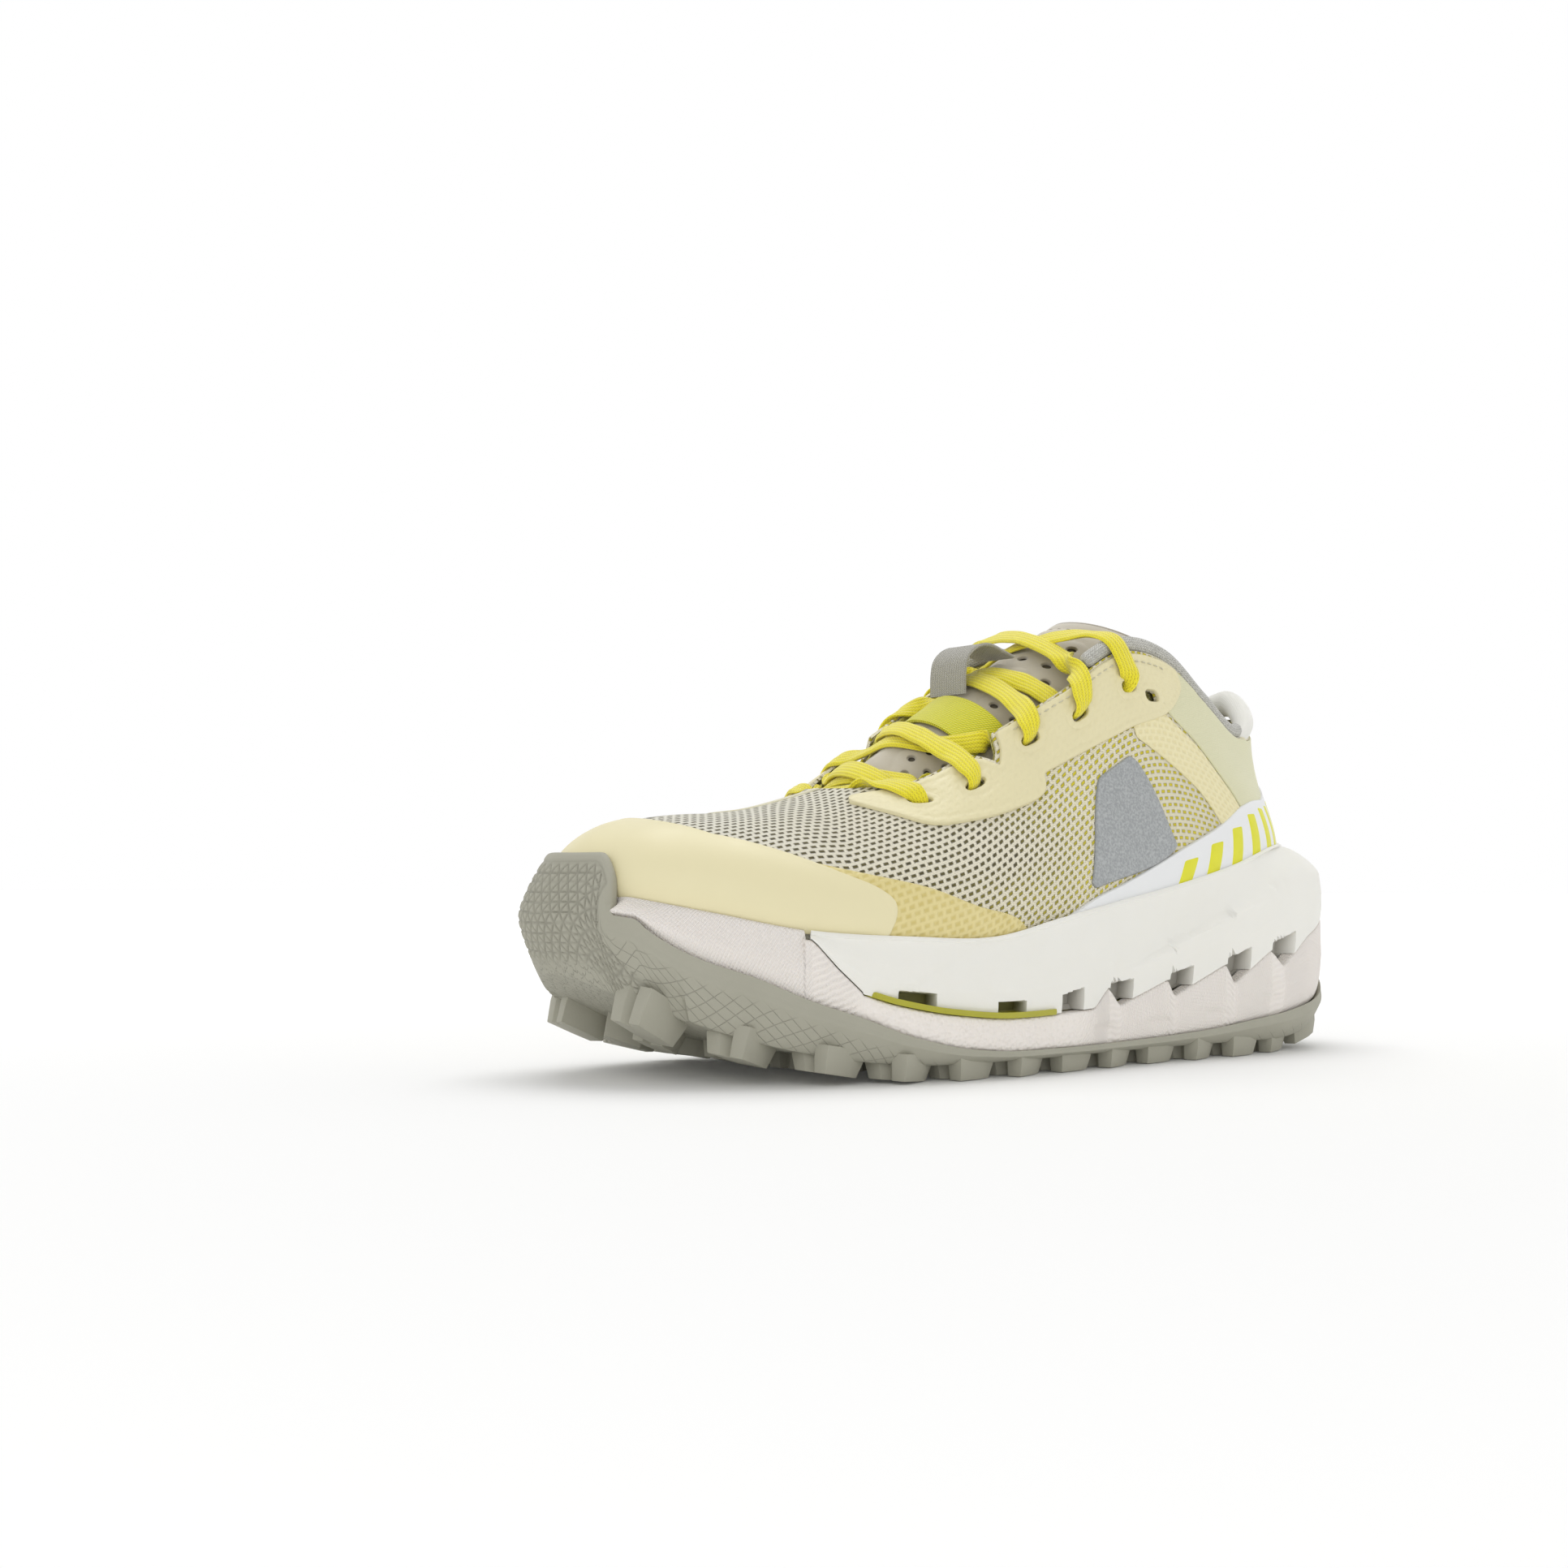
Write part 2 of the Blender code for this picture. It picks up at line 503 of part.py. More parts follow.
dip_panel = dip_panel + twin(dip_panel)[1:]
heel_poly = HEEL_FRONT + twin(HEEL_FRONT) + dip_panel[::-1]
panel("heel_quarter_panel", heel_poly, heel_mat, FILM_IN, FILM_OUT)
fox_poly = [(6.85, HEM), (21.15, HEM)] + [(28 - s, t) for s, t in FOX_TOP[::-1]][:-1] + FOX_TOP[:-1]
panel("foxing_band", fox_poly, band_mat, CAP_IN, CAP_OUT)
panel("side_emblem_lateral", EMBLEM_LATERAL, patch_mat, FILM_IN, FILM_OUT)
panel("side_emblem_medial", EMBLEM_MEDIAL, patch_mat, FILM_IN, FILM_OUT)
panel("heel_counter", [(11.2, 0.02), (16.8, 0.02), (16.9, 0.3), (16.2, 0.46), (14, 0.49), (11.8, 0.46), (11.1, 0.3)], counter_mat, -2.3, -1.5)
# collar foam steers clear of the lace slots
COLLAR = [(9.85, 0.66), (11, 0.53), (13.4, 0.53), (13.85, 0.60), (13.85, 0.80), (12.85, 0.82), (12.4, 0.90), (12.1, 0.965), (9.9, 0.965), (9.75, 0.82)]
panel("collar_foam_lateral", COLLAR, foam_mat, foam_in, -MESH_T - GAP)
panel("collar_foam_medial", twin(COLLAR), foam_mat, foam_in, -MESH_T - GAP)


# ---------------------------------------------------------------- collar binding and heel pillow
def edge_frame(s):
    """Free-edge point, direction up past the edge and outward normal there."""
    p = free_edge(s)
    up = upper(s, 1.0) - upper(s, 0.96)
    return p, up / np.linalg.norm(up), upper_normal(s, 0.99)


def clean_tube(name, mesh, mat, smooth=True):
    bm = bmesh.new()
    bm.from_mesh(mesh)
    bmesh.ops.remove_doubles(bm, verts=bm.verts, dist=1e-5)
    bmesh.ops.triangulate(bm, faces=bm.faces)
    bmesh.ops.recalc_face_normals(bm, faces=bm.faces)
    bm.to_mesh(mesh)
    bm.free()
    mesh.name = name
    mesh.materials.clear()
    mesh.materials.append(mat)
    if smooth:
        mesh.shade_smooth()
    obj = bpy.data.objects.new(name, mesh)
    PARTS.objects.link(obj)
    return obj


def poly_tube(name, points, radius, mat, resolution=2):
    """Round tube along points (mm): a POLY curve with a bevel and filled caps, turned into a mesh."""
    cu = bpy.data.curves.new(name + "_path", "CURVE")
    cu.dimensions = "3D"
    cu.bevel_depth = radius * 0.001
    cu.bevel_resolution = resolution
    cu.use_fill_caps = True
    sp = cu.splines.new("POLY")
    sp.points.add(len(points) - 1)
    for k, p in enumerate(points):
        sp.points[k].co = (*((np.asarray(p) + SHIFT) * 0.001), 1)
    ob = bpy.data.objects.new(name + "_path", cu)
    GUIDES.objects.link(ob)
    bpy.context.view_layer.update()
    mesh = bpy.data.meshes.new_from_object(ob.evaluated_get(bpy.context.evaluated_depsgraph_get()))
    bpy.data.objects.remove(ob)
    return clean_tube(name, mesh, mat)


BIND_R = 2.2


def binding_points(s0, s1, count):
    pts = []
    for s in np.linspace(s0, s1, count):
        p, up, n = edge_frame(s)
        pts.append(p + up * (BIND_R + 1.0) - n * 2.2)
    return pts


poly_tube("collar_binding_lateral", binding_points(8.45, 12.15, 20), BIND_R, bind_mat)
poly_tube("collar_binding_medial", binding_points(FULL - 8.45, FULL - 12.15, 20), BIND_R, bind_mat)

# heel pillow: an oval roll in the dip at the back of the collar, thin at both ends
PILLOW_RINGS, PILLOW_SIDES = 13, 12
verts, faces = [], []
for i, s in enumerate(np.linspace(12.75, FULL - 12.75, PILLOW_RINGS)):
    w = math.sin(math.pi * i / (PILLOW_RINGS - 1)) ** 0.45 if 0 < i < PILLOW_RINGS - 1 else 0.35
    c = upper(s, 0.945) - 2.6 * upper_normal(s, 0.945)
    up = upper(s, 0.98) - upper(s, 0.9)
    up, n = up / np.linalg.norm(up), upper_normal(s, 0.945)
    for k in range(PILLOW_SIDES):
        a = 2 * math.pi * k / PILLOW_SIDES
        verts.append(c + up * math.sin(a) * 3.7 * w + n * math.cos(a) * 3.9 * w)
for i in range(PILLOW_RINGS - 1):
    for k in range(PILLOW_SIDES):
        a, b = i * PILLOW_SIDES + k, i * PILLOW_SIDES + (k + 1) % PILLOW_SIDES
        faces.append((a, b, b + PILLOW_SIDES, a + PILLOW_SIDES))
faces += [tuple(range(PILLOW_SIDES)), tuple(range((PILLOW_RINGS - 1) * PILLOW_SIDES, PILLOW_RINGS * PILLOW_SIDES))[::-1]]
make_object("heel_pillow", verts, faces, pillow_mat)

# ---------------------------------------------------------------- tongue
TONGUE_LINE = [(-79, 4, 71.6), (-63, 4, 78.4), (-45, 4, 91.8), (-27, 4, 104.5), (-8, 4, 116.5), (12, 4.5, 128.8), (36, 5, 141.5)]
TONGUE_LAT = [20, 20.5, 21.5, 23.5, 27.0, 28.5, 28.5]      # half widths on either side of the crest
TONGUE_MED = [21, 21, 21, 20.0, 19.0, 18.5, 18.5]
TONGUE_DROP = [5.5, 9.5, 16, 17, 17, 16, 13]
TONGUE_BACK = [5, 5, 5, 6, 8, 13, 21]


def tongue_row(table, p):
    a = np.array(table, float).reshape(len(table), -1)
    x = np.clip(p, 0, 1) * (len(a) - 1)
    k = min(int(x), len(a) - 2)
    f = x - k
    g = np.vstack([2 * a[0] - a[1], a, 2 * a[-1] - a[-2]])
    p0, p1, p2, p3 = g[k], g[k + 1], g[k + 2], g[k + 3]
    return 0.5 * (2 * p1 + (p2 - p0) * f + (2 * p0 - 5 * p1 + 4 * p2 - p3) * f ** 2 + (3 * p1 - p0 - 3 * p2 + p3) * f ** 3)


def tongue(p, q):
    """Top face of the tongue: p 0 at its base, 1 at its tip; q -1 lateral edge, 1 medial edge."""
    c = tongue_row(TONGUE_LINE, p)
    w = tongue_row(TONGUE_LAT if q < 0 else TONGUE_MED, p)[0]
    d, b = (tongue_row(t, p)[0] for t in (TONGUE_DROP, TONGUE_BACK))
    return np.array([c[0] + b * q * q, c[1] + w * math.sin(1.25 * q) / math.sin(1.25), c[2] - d * abs(q) ** 1.9])


def tongue_normal(p, q):
    a = tongue(min(p + 0.01, 1), q) - tongue(max(p - 0.01, 0), q)
    b = tongue(p, min(q + 0.02, 1)) - tongue(p, max(q - 0.02, -1))
    n = np.cross(a, b)
    return n / np.linalg.norm(n)


def tongue_at(p, q, h):
    return tongue(p, q) + h * tongue_normal(p, q)


def tongue_layer(name, mat, d_out, d_in, p0=0.0, p1=1.0, q1=1.0):
    ps, qs = np.linspace(p0, p1, 13), np.linspace(-q1, q1, 11)
    top = [tongue_at(p, q, d_out) for p in ps for q in qs]
    low = [tongue_at(p, q, d_in) for p in ps for q in qs]
    nq, count = len(qs), len(top)
    faces = []
    for i in range(len(ps) - 1):
        for j in range(nq - 1):
            a, b, c, d = i * nq + j, (i + 1) * nq + j, (i + 1) * nq + j + 1, i * nq + j + 1
            faces += [(a, b, c), (a, c, d), (a + count, c + count, b + count), (a + count, d + count, c + count)]
    for i in range(len(ps) - 1):
        for j in (0, nq - 1):
            a, b = i * nq + j, (i + 1) * nq + j
            faces.append((a, b, b + count, a + count))
    for j in range(nq - 1):
        for i in (0, len(ps) - 1):
            a, b = i * nq + j, i * nq + j + 1
            faces.append((a, b, b + count, a + count))
    return make_object(name, top + low, faces, mat)


tongue_layer("tongue_face", tongue_mat, 0.0, -0.9)
tongue_layer("tongue_foam", foam_mat, -1.2, -3.4, 0.04, 0.985, 0.95)
tongue_layer("tongue_lining", lining_mat, -3.7, -4.4, 0.0, 1.0, 0.98)


def strip(name, centre, side, up, half_w, thick, mat):
    """Flat strap: rows of centre points with a side and an up direction."""
    verts, faces = [], []
    for c, w, u in zip(centre, side, up):
        w, u = w / np.linalg.norm(w), u / np.linalg.norm(u)
        verts += [c - w * half_w, c + w * half_w, c + w * half_w - u * thick, c - w * half_w - u * thick]
    for k in range(len(centre) - 1):
        a, b = 4 * k, 4 * k + 4
        for e in range(4):
            faces.append((a + e, b + e, b + (e + 1) % 4, a + (e + 1) % 4))
    faces += [(0, 1, 2, 3), tuple(4 * (len(centre) - 1) + e for e in (3, 2, 1, 0))]
    return make_object(name, verts, faces, mat, smooth=False)


# label loop: a webbing bridge over the crest that holds the lace crossing below it
lab_p = np.linspace(0.622, 0.80, 9)
lift = [1.7, 6.6, 10.4, 11.6, 11.8, 11.2, 9.4, 5.2, 1.7]
strip("tongue_label_loop", [tongue_at(p, 0.0, h) for p, h in zip(lab_p, lift)],
      [np.array([0, 1.0, 0])] * 9, [tongue_normal(p, 0.0) for p in lab_p], 8.6, 0.9, label_mat)
# elastic band sewn across the tongue at both wings
band_q = np.linspace(-0.80, 0.84, 15)
strip("elastic_band", [tongue_at(0.555, q, 1.35 + 0.5 * (1 - abs(q))) for q in band_q],
      [tongue(0.60, q) - tongue(0.51, q) for q in band_q], [tongue_normal(0.555, q) for q in band_q], 7.5, 0.8, elastic_mat)


# ---------------------------------------------------------------- lace
OUT_D, IN_D = 1.8 + 0.6 + LACE_R, -(3.3 + 0.6 + LACE_R)


def wing(side, s, t, d):
    return facet(s if side < 0 else FULL - s, t, d)


def slot_points(side, k, outward):
    """Straight way through slot k: from inside to outside, or back."""
    s, t = SLOTS[k]
    pts = [(wing(side, s, t, IN_D), True), (wing(side, s, t, -1.2), True), (wing(side, s, t, OUT_D), True)]
    return pts if outward else pts[::-1]


def crossing(side, far, s0, s1, p, height, dive=True):
    """Over the near edge, across the tongue, under (or over) the far edge."""
    s_from, s_to = s0 + 0.05, s1 - 0.12
    pts = [(wing(side, s_from, 1.0, OUT_D + 1.0), False)]
    for f in (-0.7, -0.45, -0.2, 0.0, 0.2, 0.45, 0.7):
        share = 1 - (abs(f) / 0.95) ** 2
        pts.append((tongue_at(p + 0.035 * f, f * far, 1.8 + (height - 1.8) * share), False))
    if dive:
        pts.append((wing(far, s_to, 1.0, IN_D), False))
    else:
        s_far = s_to if far < 0 else FULL - s_to
        e, up, n = edge_frame(s_far)
        pts = pts[:-2] + [(e + up * 10.0 - n * 6.0, False), (e + up * 9.5, False), (e + up * 4.0 + n * 4.5, False)]
    return pts


def strand(side, plan):
    """Half of the lace from inside slot 1 to slot 4: plan holds (height over the tongue, place along it)."""
    s0, t0 = SLOTS[0]
    pts = [(wing(side, s0 + 0.12, 0.90, IN_D), False)]
    here, first = side, True
    for k in (1, 2, 3):
        h, p = plan[k - 1]
        far = -here
        way = crossing(here, far, SLOTS[k - 1][0] + (0.25 if first else 0), SLOTS[k][0], p, h)
        if first:
            way[0] = (wing(here, s0 + 0.3, 1.0, IN_D), False)
        pts += way
        pts.append((wing(far, SLOTS[k][0] - 0.06, SLOTS[k][1] + 0.06, IN_D), False))
        pts += slot_points(far, k, True)
        here, first = far, False
    return pts, here


def full_lace():
    lat, lat_here = strand(-1, [(6.6, 0.28), (3.2, 0.42), (5.2, 0.665)])
    med, med_here = strand(1, [(3.0, 0.27), (6.6, 0.45), (2.6, 0.70)])
    for pts, here, h, p in ((lat, lat_here, 3.0, 0.86), (med, med_here, 6.6, 0.86)):
        far = -here
        s5, t5 = SLOTS[4]
        pts += crossing(here, far, SLOTS[3][0], s5, p, h, dive=False)
        pts += slot_points(far, 4, False)
        pts += [(wing(far, s5 - 0.10, t5 - 0.12, IN_D - 2.0), True), (wing(far, s5 - 0.16, t5 - 0.24, IN_D - 2.2), True)]
    s1, t1 = SLOTS[0]
    a, b = wing(-1, s1, 1.0, OUT_D + 1.0), wing(1, s1, 1.0, OUT_D + 1.0)
    bar = [(a, False)] + [(tongue_at(0.20, q, 3.4), False) for q in (-0.5, 0.0, 0.5)] + [(b, False)]
    return lat[::-1] + slot_points(-1, 0, True) + bar + slot_points(1, 0, False) + med


def spread(route, step):
    """Subdivide a route to short straight pieces, keeping its held points."""
    pts, held = [], []
    for (a, ha), (b, hb) in zip(route, route[1:]):
        n = max(1, int(round(np.linalg.norm(b - a) / step)))
        for k in range(n):
            pts.append(a + (b - a) * k / n)
            held.append((ha and k == 0) or (ha and hb))
    pts.append(route[-1][0])
    held.append(route[-1][1])
    return np.array(pts), np.array(held)


def tree_of(name):
    obj = bpy.data.objects[name]
    return BVHTree.FromPolygons([tuple(np.array(v.co) * 1000 - SHIFT) for v in obj.data.vertices],
                                [tuple(f.vertices) for f in obj.data.polygons])


def settle(pts, held, trees, reach, between, rounds):
    """Draw the lace tight over what it touches: smooth it, then push it clear of every tree and of itself."""
    free = np.where(~held)[0]
    far_apart = np.abs(np.subtract.outer(np.arange(len(pts)), np.arange(len(pts)))) > 6
    for r in range(rounds):
        if r < rounds - 12:
            mid = 0.5 * (np.roll(pts, 1, 0) + np.roll(pts, -1, 0))
            pts[free] += 0.35 * (mid - pts)[free]
        gap = pts[:, None, :] - pts[None, :, :]
        dist = np.linalg.norm(gap, axis=2)
        close = (dist < between) & far_apart & (dist > 1e-6)
        for i, j in zip(*np.where(close)):
            if not held[i]:
                pts[i] += gap[i, j] / dist[i, j] * (between - dist[i, j]) * 0.5
        for i in free:
            for tree in trees:
                co, normal, _, d = tree.find_nearest(Vector(pts[i]), reach)
                if co is None:
                    continue
                v = pts[i] - np.array(co)
                if np.dot(v, normal) < 0:
                    pts[i] += np.array(normal) * (reach + d)
                elif d > 1e-6:
                    pts[i] += v / d * (reach - d)
    return pts


def thin_out(pts, held, tolerance, longest):
    """Fewest points that stay within tolerance of the route."""
    keep, k = [0], 0
    while k < len(pts) - 1:
        best = k + 1
        for j in range(k + 2, len(pts)):
            if held[j - 1] or np.linalg.norm(pts[j] - pts[k]) > longest:
                break
            seg = pts[j] - pts[k]
            w = pts[k + 1:j] - pts[k]
            off = np.linalg.norm(w - np.outer(w @ seg / (seg @ seg), seg), axis=1)
            if off.max() > tolerance:
                break
            best = j
        keep.append(best)
        k = best
    return pts[keep]


route, held = spread(full_lace(), 2.0)
trees = [tree_of(n) for n in ("tongue_face", "elastic_band", "tongue_label_loop", "mesh_upper", "inner_lining", "eyestay_lateral", "eyestay_medial",
                              "collar_binding_lateral", "collar_binding_medial", "toe_cap_overlay")]
route = settle(route, held, trees, LACE_R + 0.6, 2 * LACE_R + 0.7, 140)
LACE = thin_out(route, held, 0.25, 18.0)
poly_tube("shoelace", LACE, LACE_R, lace_mat)

# aglets: crimped tips past the lace's ends
for label, a, b in (("lateral", LACE[0], LACE[1]), ("medial", LACE[-1], LACE[-2])):
    d = (a - b) / np.linalg.norm(a - b)
    bpy.ops.mesh.primitive_cylinder_add(vertices=12, radius=0.0013, depth=0.016)
    ob = bpy.context.object
    ob.name = ob.data.name = "aglet_" + label
    ob.rotation_mode = "QUATERNION"
    ob.rotation_quaternion = Vector(d).to_track_quat("Z", "Y")
    ob.location = Vector((a + d * 8.4 + SHIFT) * 0.001)
    ob.data.materials.append(aglet_mat)
    ob.data.shade_smooth()
    ob.data.set_sharp_from_angle(angle=math.radians(35))
    for c in list(ob.users_collection):
        c.objects.unlink(ob)
    PARTS.objects.link(ob)

# ---------------------------------------------------------------- sole stack
def station_of_x(x):
    fine = np.linspace(0.3, 13.7, 400)
    return float(np.interp(x, loop_interp(OUT_C, fine)[:, 0], fine))


BASE_X = (-95.0, -88.0, -19.0, -3.0, 4.0, 9.5, 33.0, 36.0, 61.0, 65.0, 84.0, 91.0)


def ring_stations(extra_x, extra_s=()):
    more = list(extra_s) + [station_of_x(x) for x in BASE_X + tuple(extra_x)]
    return sorted(set([round(s, 4) for s in COLS] + [round(s, 4) for s in more] + [round(FULL - s, 4) for s in more]))


def ring_solid(name, rows, mat):
    """Closed body from rings listed from the inside of the top face round to the inside of the bottom face."""
    m = len(rows[0])
    verts = [p for row in rows for p in row]
    faces = []
    for r in range(len(rows) - 1):
        for k in range(m):
            a, b = r * m + k, r * m + (k + 1) % m
            faces.append((a, a + m, b + m, b))
    for r, flip in ((0, False), (len(rows) - 1, True)):
        for k in range(m // 2):
            quad = [r * m + k, r * m + k + 1, r * m + (m - k - 1) % m, r * m + (m - k) % m]
            quad = list(dict.fromkeys(quad))
            if len(quad) > 2:
                faces.append(tuple(quad[::-1] if flip else quad))
    return make_object(name, verts, faces, mat)


def lay(xy, z):
    z = z(xy[:, 0]) if callable(z) else z + 0 * xy[:, 0]
    return np.concatenate([xy, z[:, None]], 1)


def mix(a, b, w):
    w = np.asarray(w, float)[:, None]
    return a * (1 - w) + b * w


def plus(fn, dz):
    return lambda x: fn(x) + dz


class Section:
    """Sole section at a list of stations: outline, biteline, spine, and the heights of its steps."""

    def __init__(self, stations):
        self.s = np.array(stations)
        self.m = np.minimum(self.s, FULL - self.s)
        self.o = loop_interp(OUT_C, self.s)
        self.b = loop_interp(BITE_C, self.s)
        self.c = loop_interp(catmull(SPINE, np.array(COLS)), self.s)
        self.n = self.o - self.b[:, :2]
        self.n /= np.linalg.norm(self.n, axis=1, keepdims=True)
        self.x = loop_interp(OUT_C, self.m)[:, 0]      # lateral x at the same station, so steps match on both sides
        self.zb = self.b[:, 2]
        self.bumper = np.clip((2.0 - self.m) / 0.5, 0, 1)
        zs = np.where(self.x < -88, np.interp(self.x, [-102.0, -95.0, -88.0], [40.0, 32.0, 25.2]), split_z(self.x))
        self.zs = np.where(self.x < -101.9, self.zb - 1.8, zs)
        self.zo = np.minimum(carrier_line_z(self.x), self.zb - 5)

    def out(self, d, z):
        return lay(self.o + (np.asarray(d, float) + 0 * self.x)[:, None] * self.n, z)

    def bite(self, d, z):
        return lay(self.b[:, :2] + (np.asarray(d, float) + 0 * self.x)[:, None] * self.n, z)

    def inner(self, row, share, z):
        return lay(self.c + (row[:, :2] - self.c) * share, z)


PLATE_GAP, PLATE_T = 0.5, 1.0
ROOM = PLATE_T + 2 * PLATE_GAP

# upper midsole foam: footbed, rim, side wall, underside over the plate
A = Section(ring_stations((-102.6, -103.2)))
front = (A.x < -102.9).astype(float)                       # only a slab inside the carrier's wall
draw = ((A.x < -102.3) & (A.x > -102.9)).astype(float)     # the rim draws in here
close = ((A.x < -98.0) & (A.x > -104.0)).astype(float)
f_row = A.bite(-3.0, footbed_z)
slab = A.bite(-1.2, plus(footbed_z, -0.2))
slab_low = A.bite(-1.4, plus(plate_z, ROOM + 0.6))
wall = np.maximum(A.zb - A.zs, 1.0)


def blend_row(normal, drawn, flat):
    return mix(mix(normal, drawn, draw), flat, front)


upper_rows = [
    A.inner(f_row, 0.3, plus(footbed_z, -0.5)), A.inner(f_row, 0.65, plus(footbed_z, -0.3)), f_row,
    blend_row(A.bite(-2.0, plus(footbed_z, 3)), A.bite(-2.0, plus(footbed_z, 3)), slab),
    blend_row(A.bite(0.4, A.zb - 0.5), A.bite(0.3, A.zb - 0.5), slab),
    blend_row(A.bite(1.6, A.zb + 0.9), A.bite(0.5, A.zb - 0.3), slab),
    blend_row(A.bite(3.0, A.zb - 0.3), A.bite(0.6, A.zb - 0.5), slab),
    blend_row(A.out(-1.0, A.zs + 0.62 * wall), A.bite(0.6, A.zb - 0.8), slab),
    blend_row(A.out(0.0, A.zs + 0.34 * wall + 0.3), A.bite(0.6, A.zb - 1.1), slab),
    blend_row(A.out(-0.4, A.zs + GAP), A.bite(0.5, A.zb - 1.4), slab_low),
    blend_row(A.out(-5.0 + 0.9 * close, A.zs + GAP), A.bite(0.4, A.zb - 1.5), slab_low),
    mix(A.out(-6.2, plus(plate_z, ROOM)), A.bite(-2.2, plus(plate_z, ROOM)), np.clip(front + close, 0, 1))]
upper_rows += [A.inner(upper_rows[-1], k, plus(plate_z, ROOM)) for k in (0.65, 0.3)]
ring_solid("midsole_upper", upper_rows, white_foam)

# lower midsole foam: carries the plate, wraps up as the front side wall
B = Section(ring_stations((-103.6, -104.3), (1.3,)))
rim = (B.x < -104.0).astype(float)
near = ((B.x < -98.0) & (B.x > -104.0)).astype(float)
toe = B.m < 1.36                                           # under the rubber toe bumper
side_mid = np.where(rim > 0, B.zo + 0.5 * (B.zb - B.zo), B.zo + 0.5 * (B.zs - B.zo))
side_mid = np.where(toe, 46.0, side_mid)
low_seat = mix(B.out(-5.8, plate_z), B.bite(-0.8, plate_z), np.clip(rim + near, 0, 1))
base = B.out(-8.0, plus(underside_z, OUTSOLE_T + GAP))
corner_d = -1.8 - 3.2 * B.bumper
corner_z = np.where(toe, 39.5, np.minimum(B.zo + GAP, side_mid - 0.6))
carrier_rows = [
    B.inner(low_seat, 0.3, plate_z), B.inner(low_seat, 0.65, plate_z), low_seat,
    mix(B.out(-4.6 + 1.2 * near, B.zs), B.bite(-0.7, plus(footbed_z, -0.1)), rim),
    mix(B.out(-3.0, B.zs), B.bite(0.4, B.zb - 0.5), rim),
    mix(B.out(-1.5, B.zs), B.bite(1.4 - 0.6 * B.bumper, B.zb + 0.9 - 1.0 * B.bumper), rim),
    mix(B.out(-0.4, B.zs - 0.1), B.bite(2.8 - 1.9 * B.bumper, B.zb - 0.3 - 0.9 * B.bumper), rim),
    B.out(-4.9 * B.bumper * rim - 0.2 * toe, side_mid),
    B.out(corner_d, corner_z),
    base, B.inner(base, 0.6, plus(underside_z, OUTSOLE_T + GAP)), B.inner(base, 0.25, plus(underside_z, OUTSOLE_T + GAP))]
ring_solid("midsole_lower", carrier_rows, carrier_mat)

# flex plate between the foams
edge = mix(B.out(-6.8, plus(plate_z, PLATE_GAP)), B.bite(-3.2, plus(plate_z, PLATE_GAP)), (B.x < -100).astype(float))
top = edge + [0, 0, PLATE_T]
ring_solid("flex_plate", [B.inner(top, 0.3, plus(plate_z, PLATE_GAP + PLATE_T)), B.inner(top, 0.65, plus(plate_z, PLATE_GAP + PLATE_T)), top, edge,
                          B.inner(edge, 0.65, plus(plate_z, PLATE_GAP)), B.inner(edge, 0.3, plus(plate_z, PLATE_GAP))], plate_mat)

# strobel board and sockliner on the footbed
F = Section(COLS)
board = F.bite(-3.2, plus(footbed_z, 0.5))
ring_solid("strobel_board", [F.inner(board, 0.3, plus(footbed_z, 1.3)), F.inner(board, 0.65, plus(footbed_z, 1.4)), board + [0, 0, 1.1], board,
                             F.inner(board, 0.65, plus(footbed_z, 0.3)), F.inner(board, 0.3, plus(footbed_z, 0.2))], board_mat)
sock = F.bite(-8.0, plus(footbed_z, 2.3))
ring_solid("sockliner", [F.inner(sock, 0.3, plus(footbed_z, 5.2)), F.inner(sock, 0.65, plus(footbed_z, 5.3)), F.inner(sock, 0.88, plus(footbed_z, 5.8)),
                         F.bite(-9.4, plus(footbed_z, 8.4)), F.bite(-7.9, plus(footbed_z, 8.6)), sock,
                         F.inner(sock, 0.65, plus(footbed_z, 1.9)), F.inner(sock, 0.3, plus(footbed_z, 1.8))], sock_mat)


# rubber outsole with the toe bumper
def wall_at(stations, z, d):
    """Point on the upper at height z, lifted by d."""
    out = []
    for s, zz in zip(stations, z):
        ts = np.linspace(0, 0.5, 41)
        ps = np.array([facet(s, t, 0.0) for t in ts])
        out.append(facet(s, float(np.interp(zz, ps[:, 2], ts)), d))
    return np.array(out)


D = Section(ring_stations((-103.6, -104.3), (1.3,)))
has = D.m < 1.36
rim = (D.x < -104.0)
side_mid = np.where(rim, D.zo + 0.5 * (D.zb - D.zo), D.zo + 0.5 * (D.zs - D.zo))
c0 = np.stack([-1.8 - 3.2 * D.bumper, np.where(has, 39.5, np.minimum(D.zo + GAP, side_mid - 0.6))], 1)
c1 = np.stack([0 * D.x - 8.0, underside_z(D.o[:, 0]) + OUTSOLE_T + GAP], 1)
line = c0 - c1
away = np.stack([line[:, 1], -line[:, 0]], 1) / np.linalg.norm(line, axis=1, keepdims=True)
o0, o1 = c0 + 0.5 * away, c1 + 0.5 * away
low_in = D.out(o1[:, 0], plus(underside_z, OUTSOLE_T - 0.2))
foot_in = D.out(o0[:, 0], o0[:, 1])
lip_in = D.out(np.minimum(o0[:, 0] + 0.2, -0.7), np.maximum(o0[:, 1] + 0.15, 0))
crest = D.out(-0.2, o0[:, 1] + 0.2)
belly = D.out(0.0, np.where(has, 43.5, o0[:, 1] - 0.3 * (o0[:, 1] - underside_z(D.o[:, 0]))))
mid_in = lip_in + 0.0
lip_in[has] = D.out(-3.0, 45.0)[has]
mid_in[has] = wall_at(D.s[has], np.full(has.sum(), 54.0), 3.4)
top_in = 0.7 * lip_in + 0.3 * crest + [0, 0, 0.08]
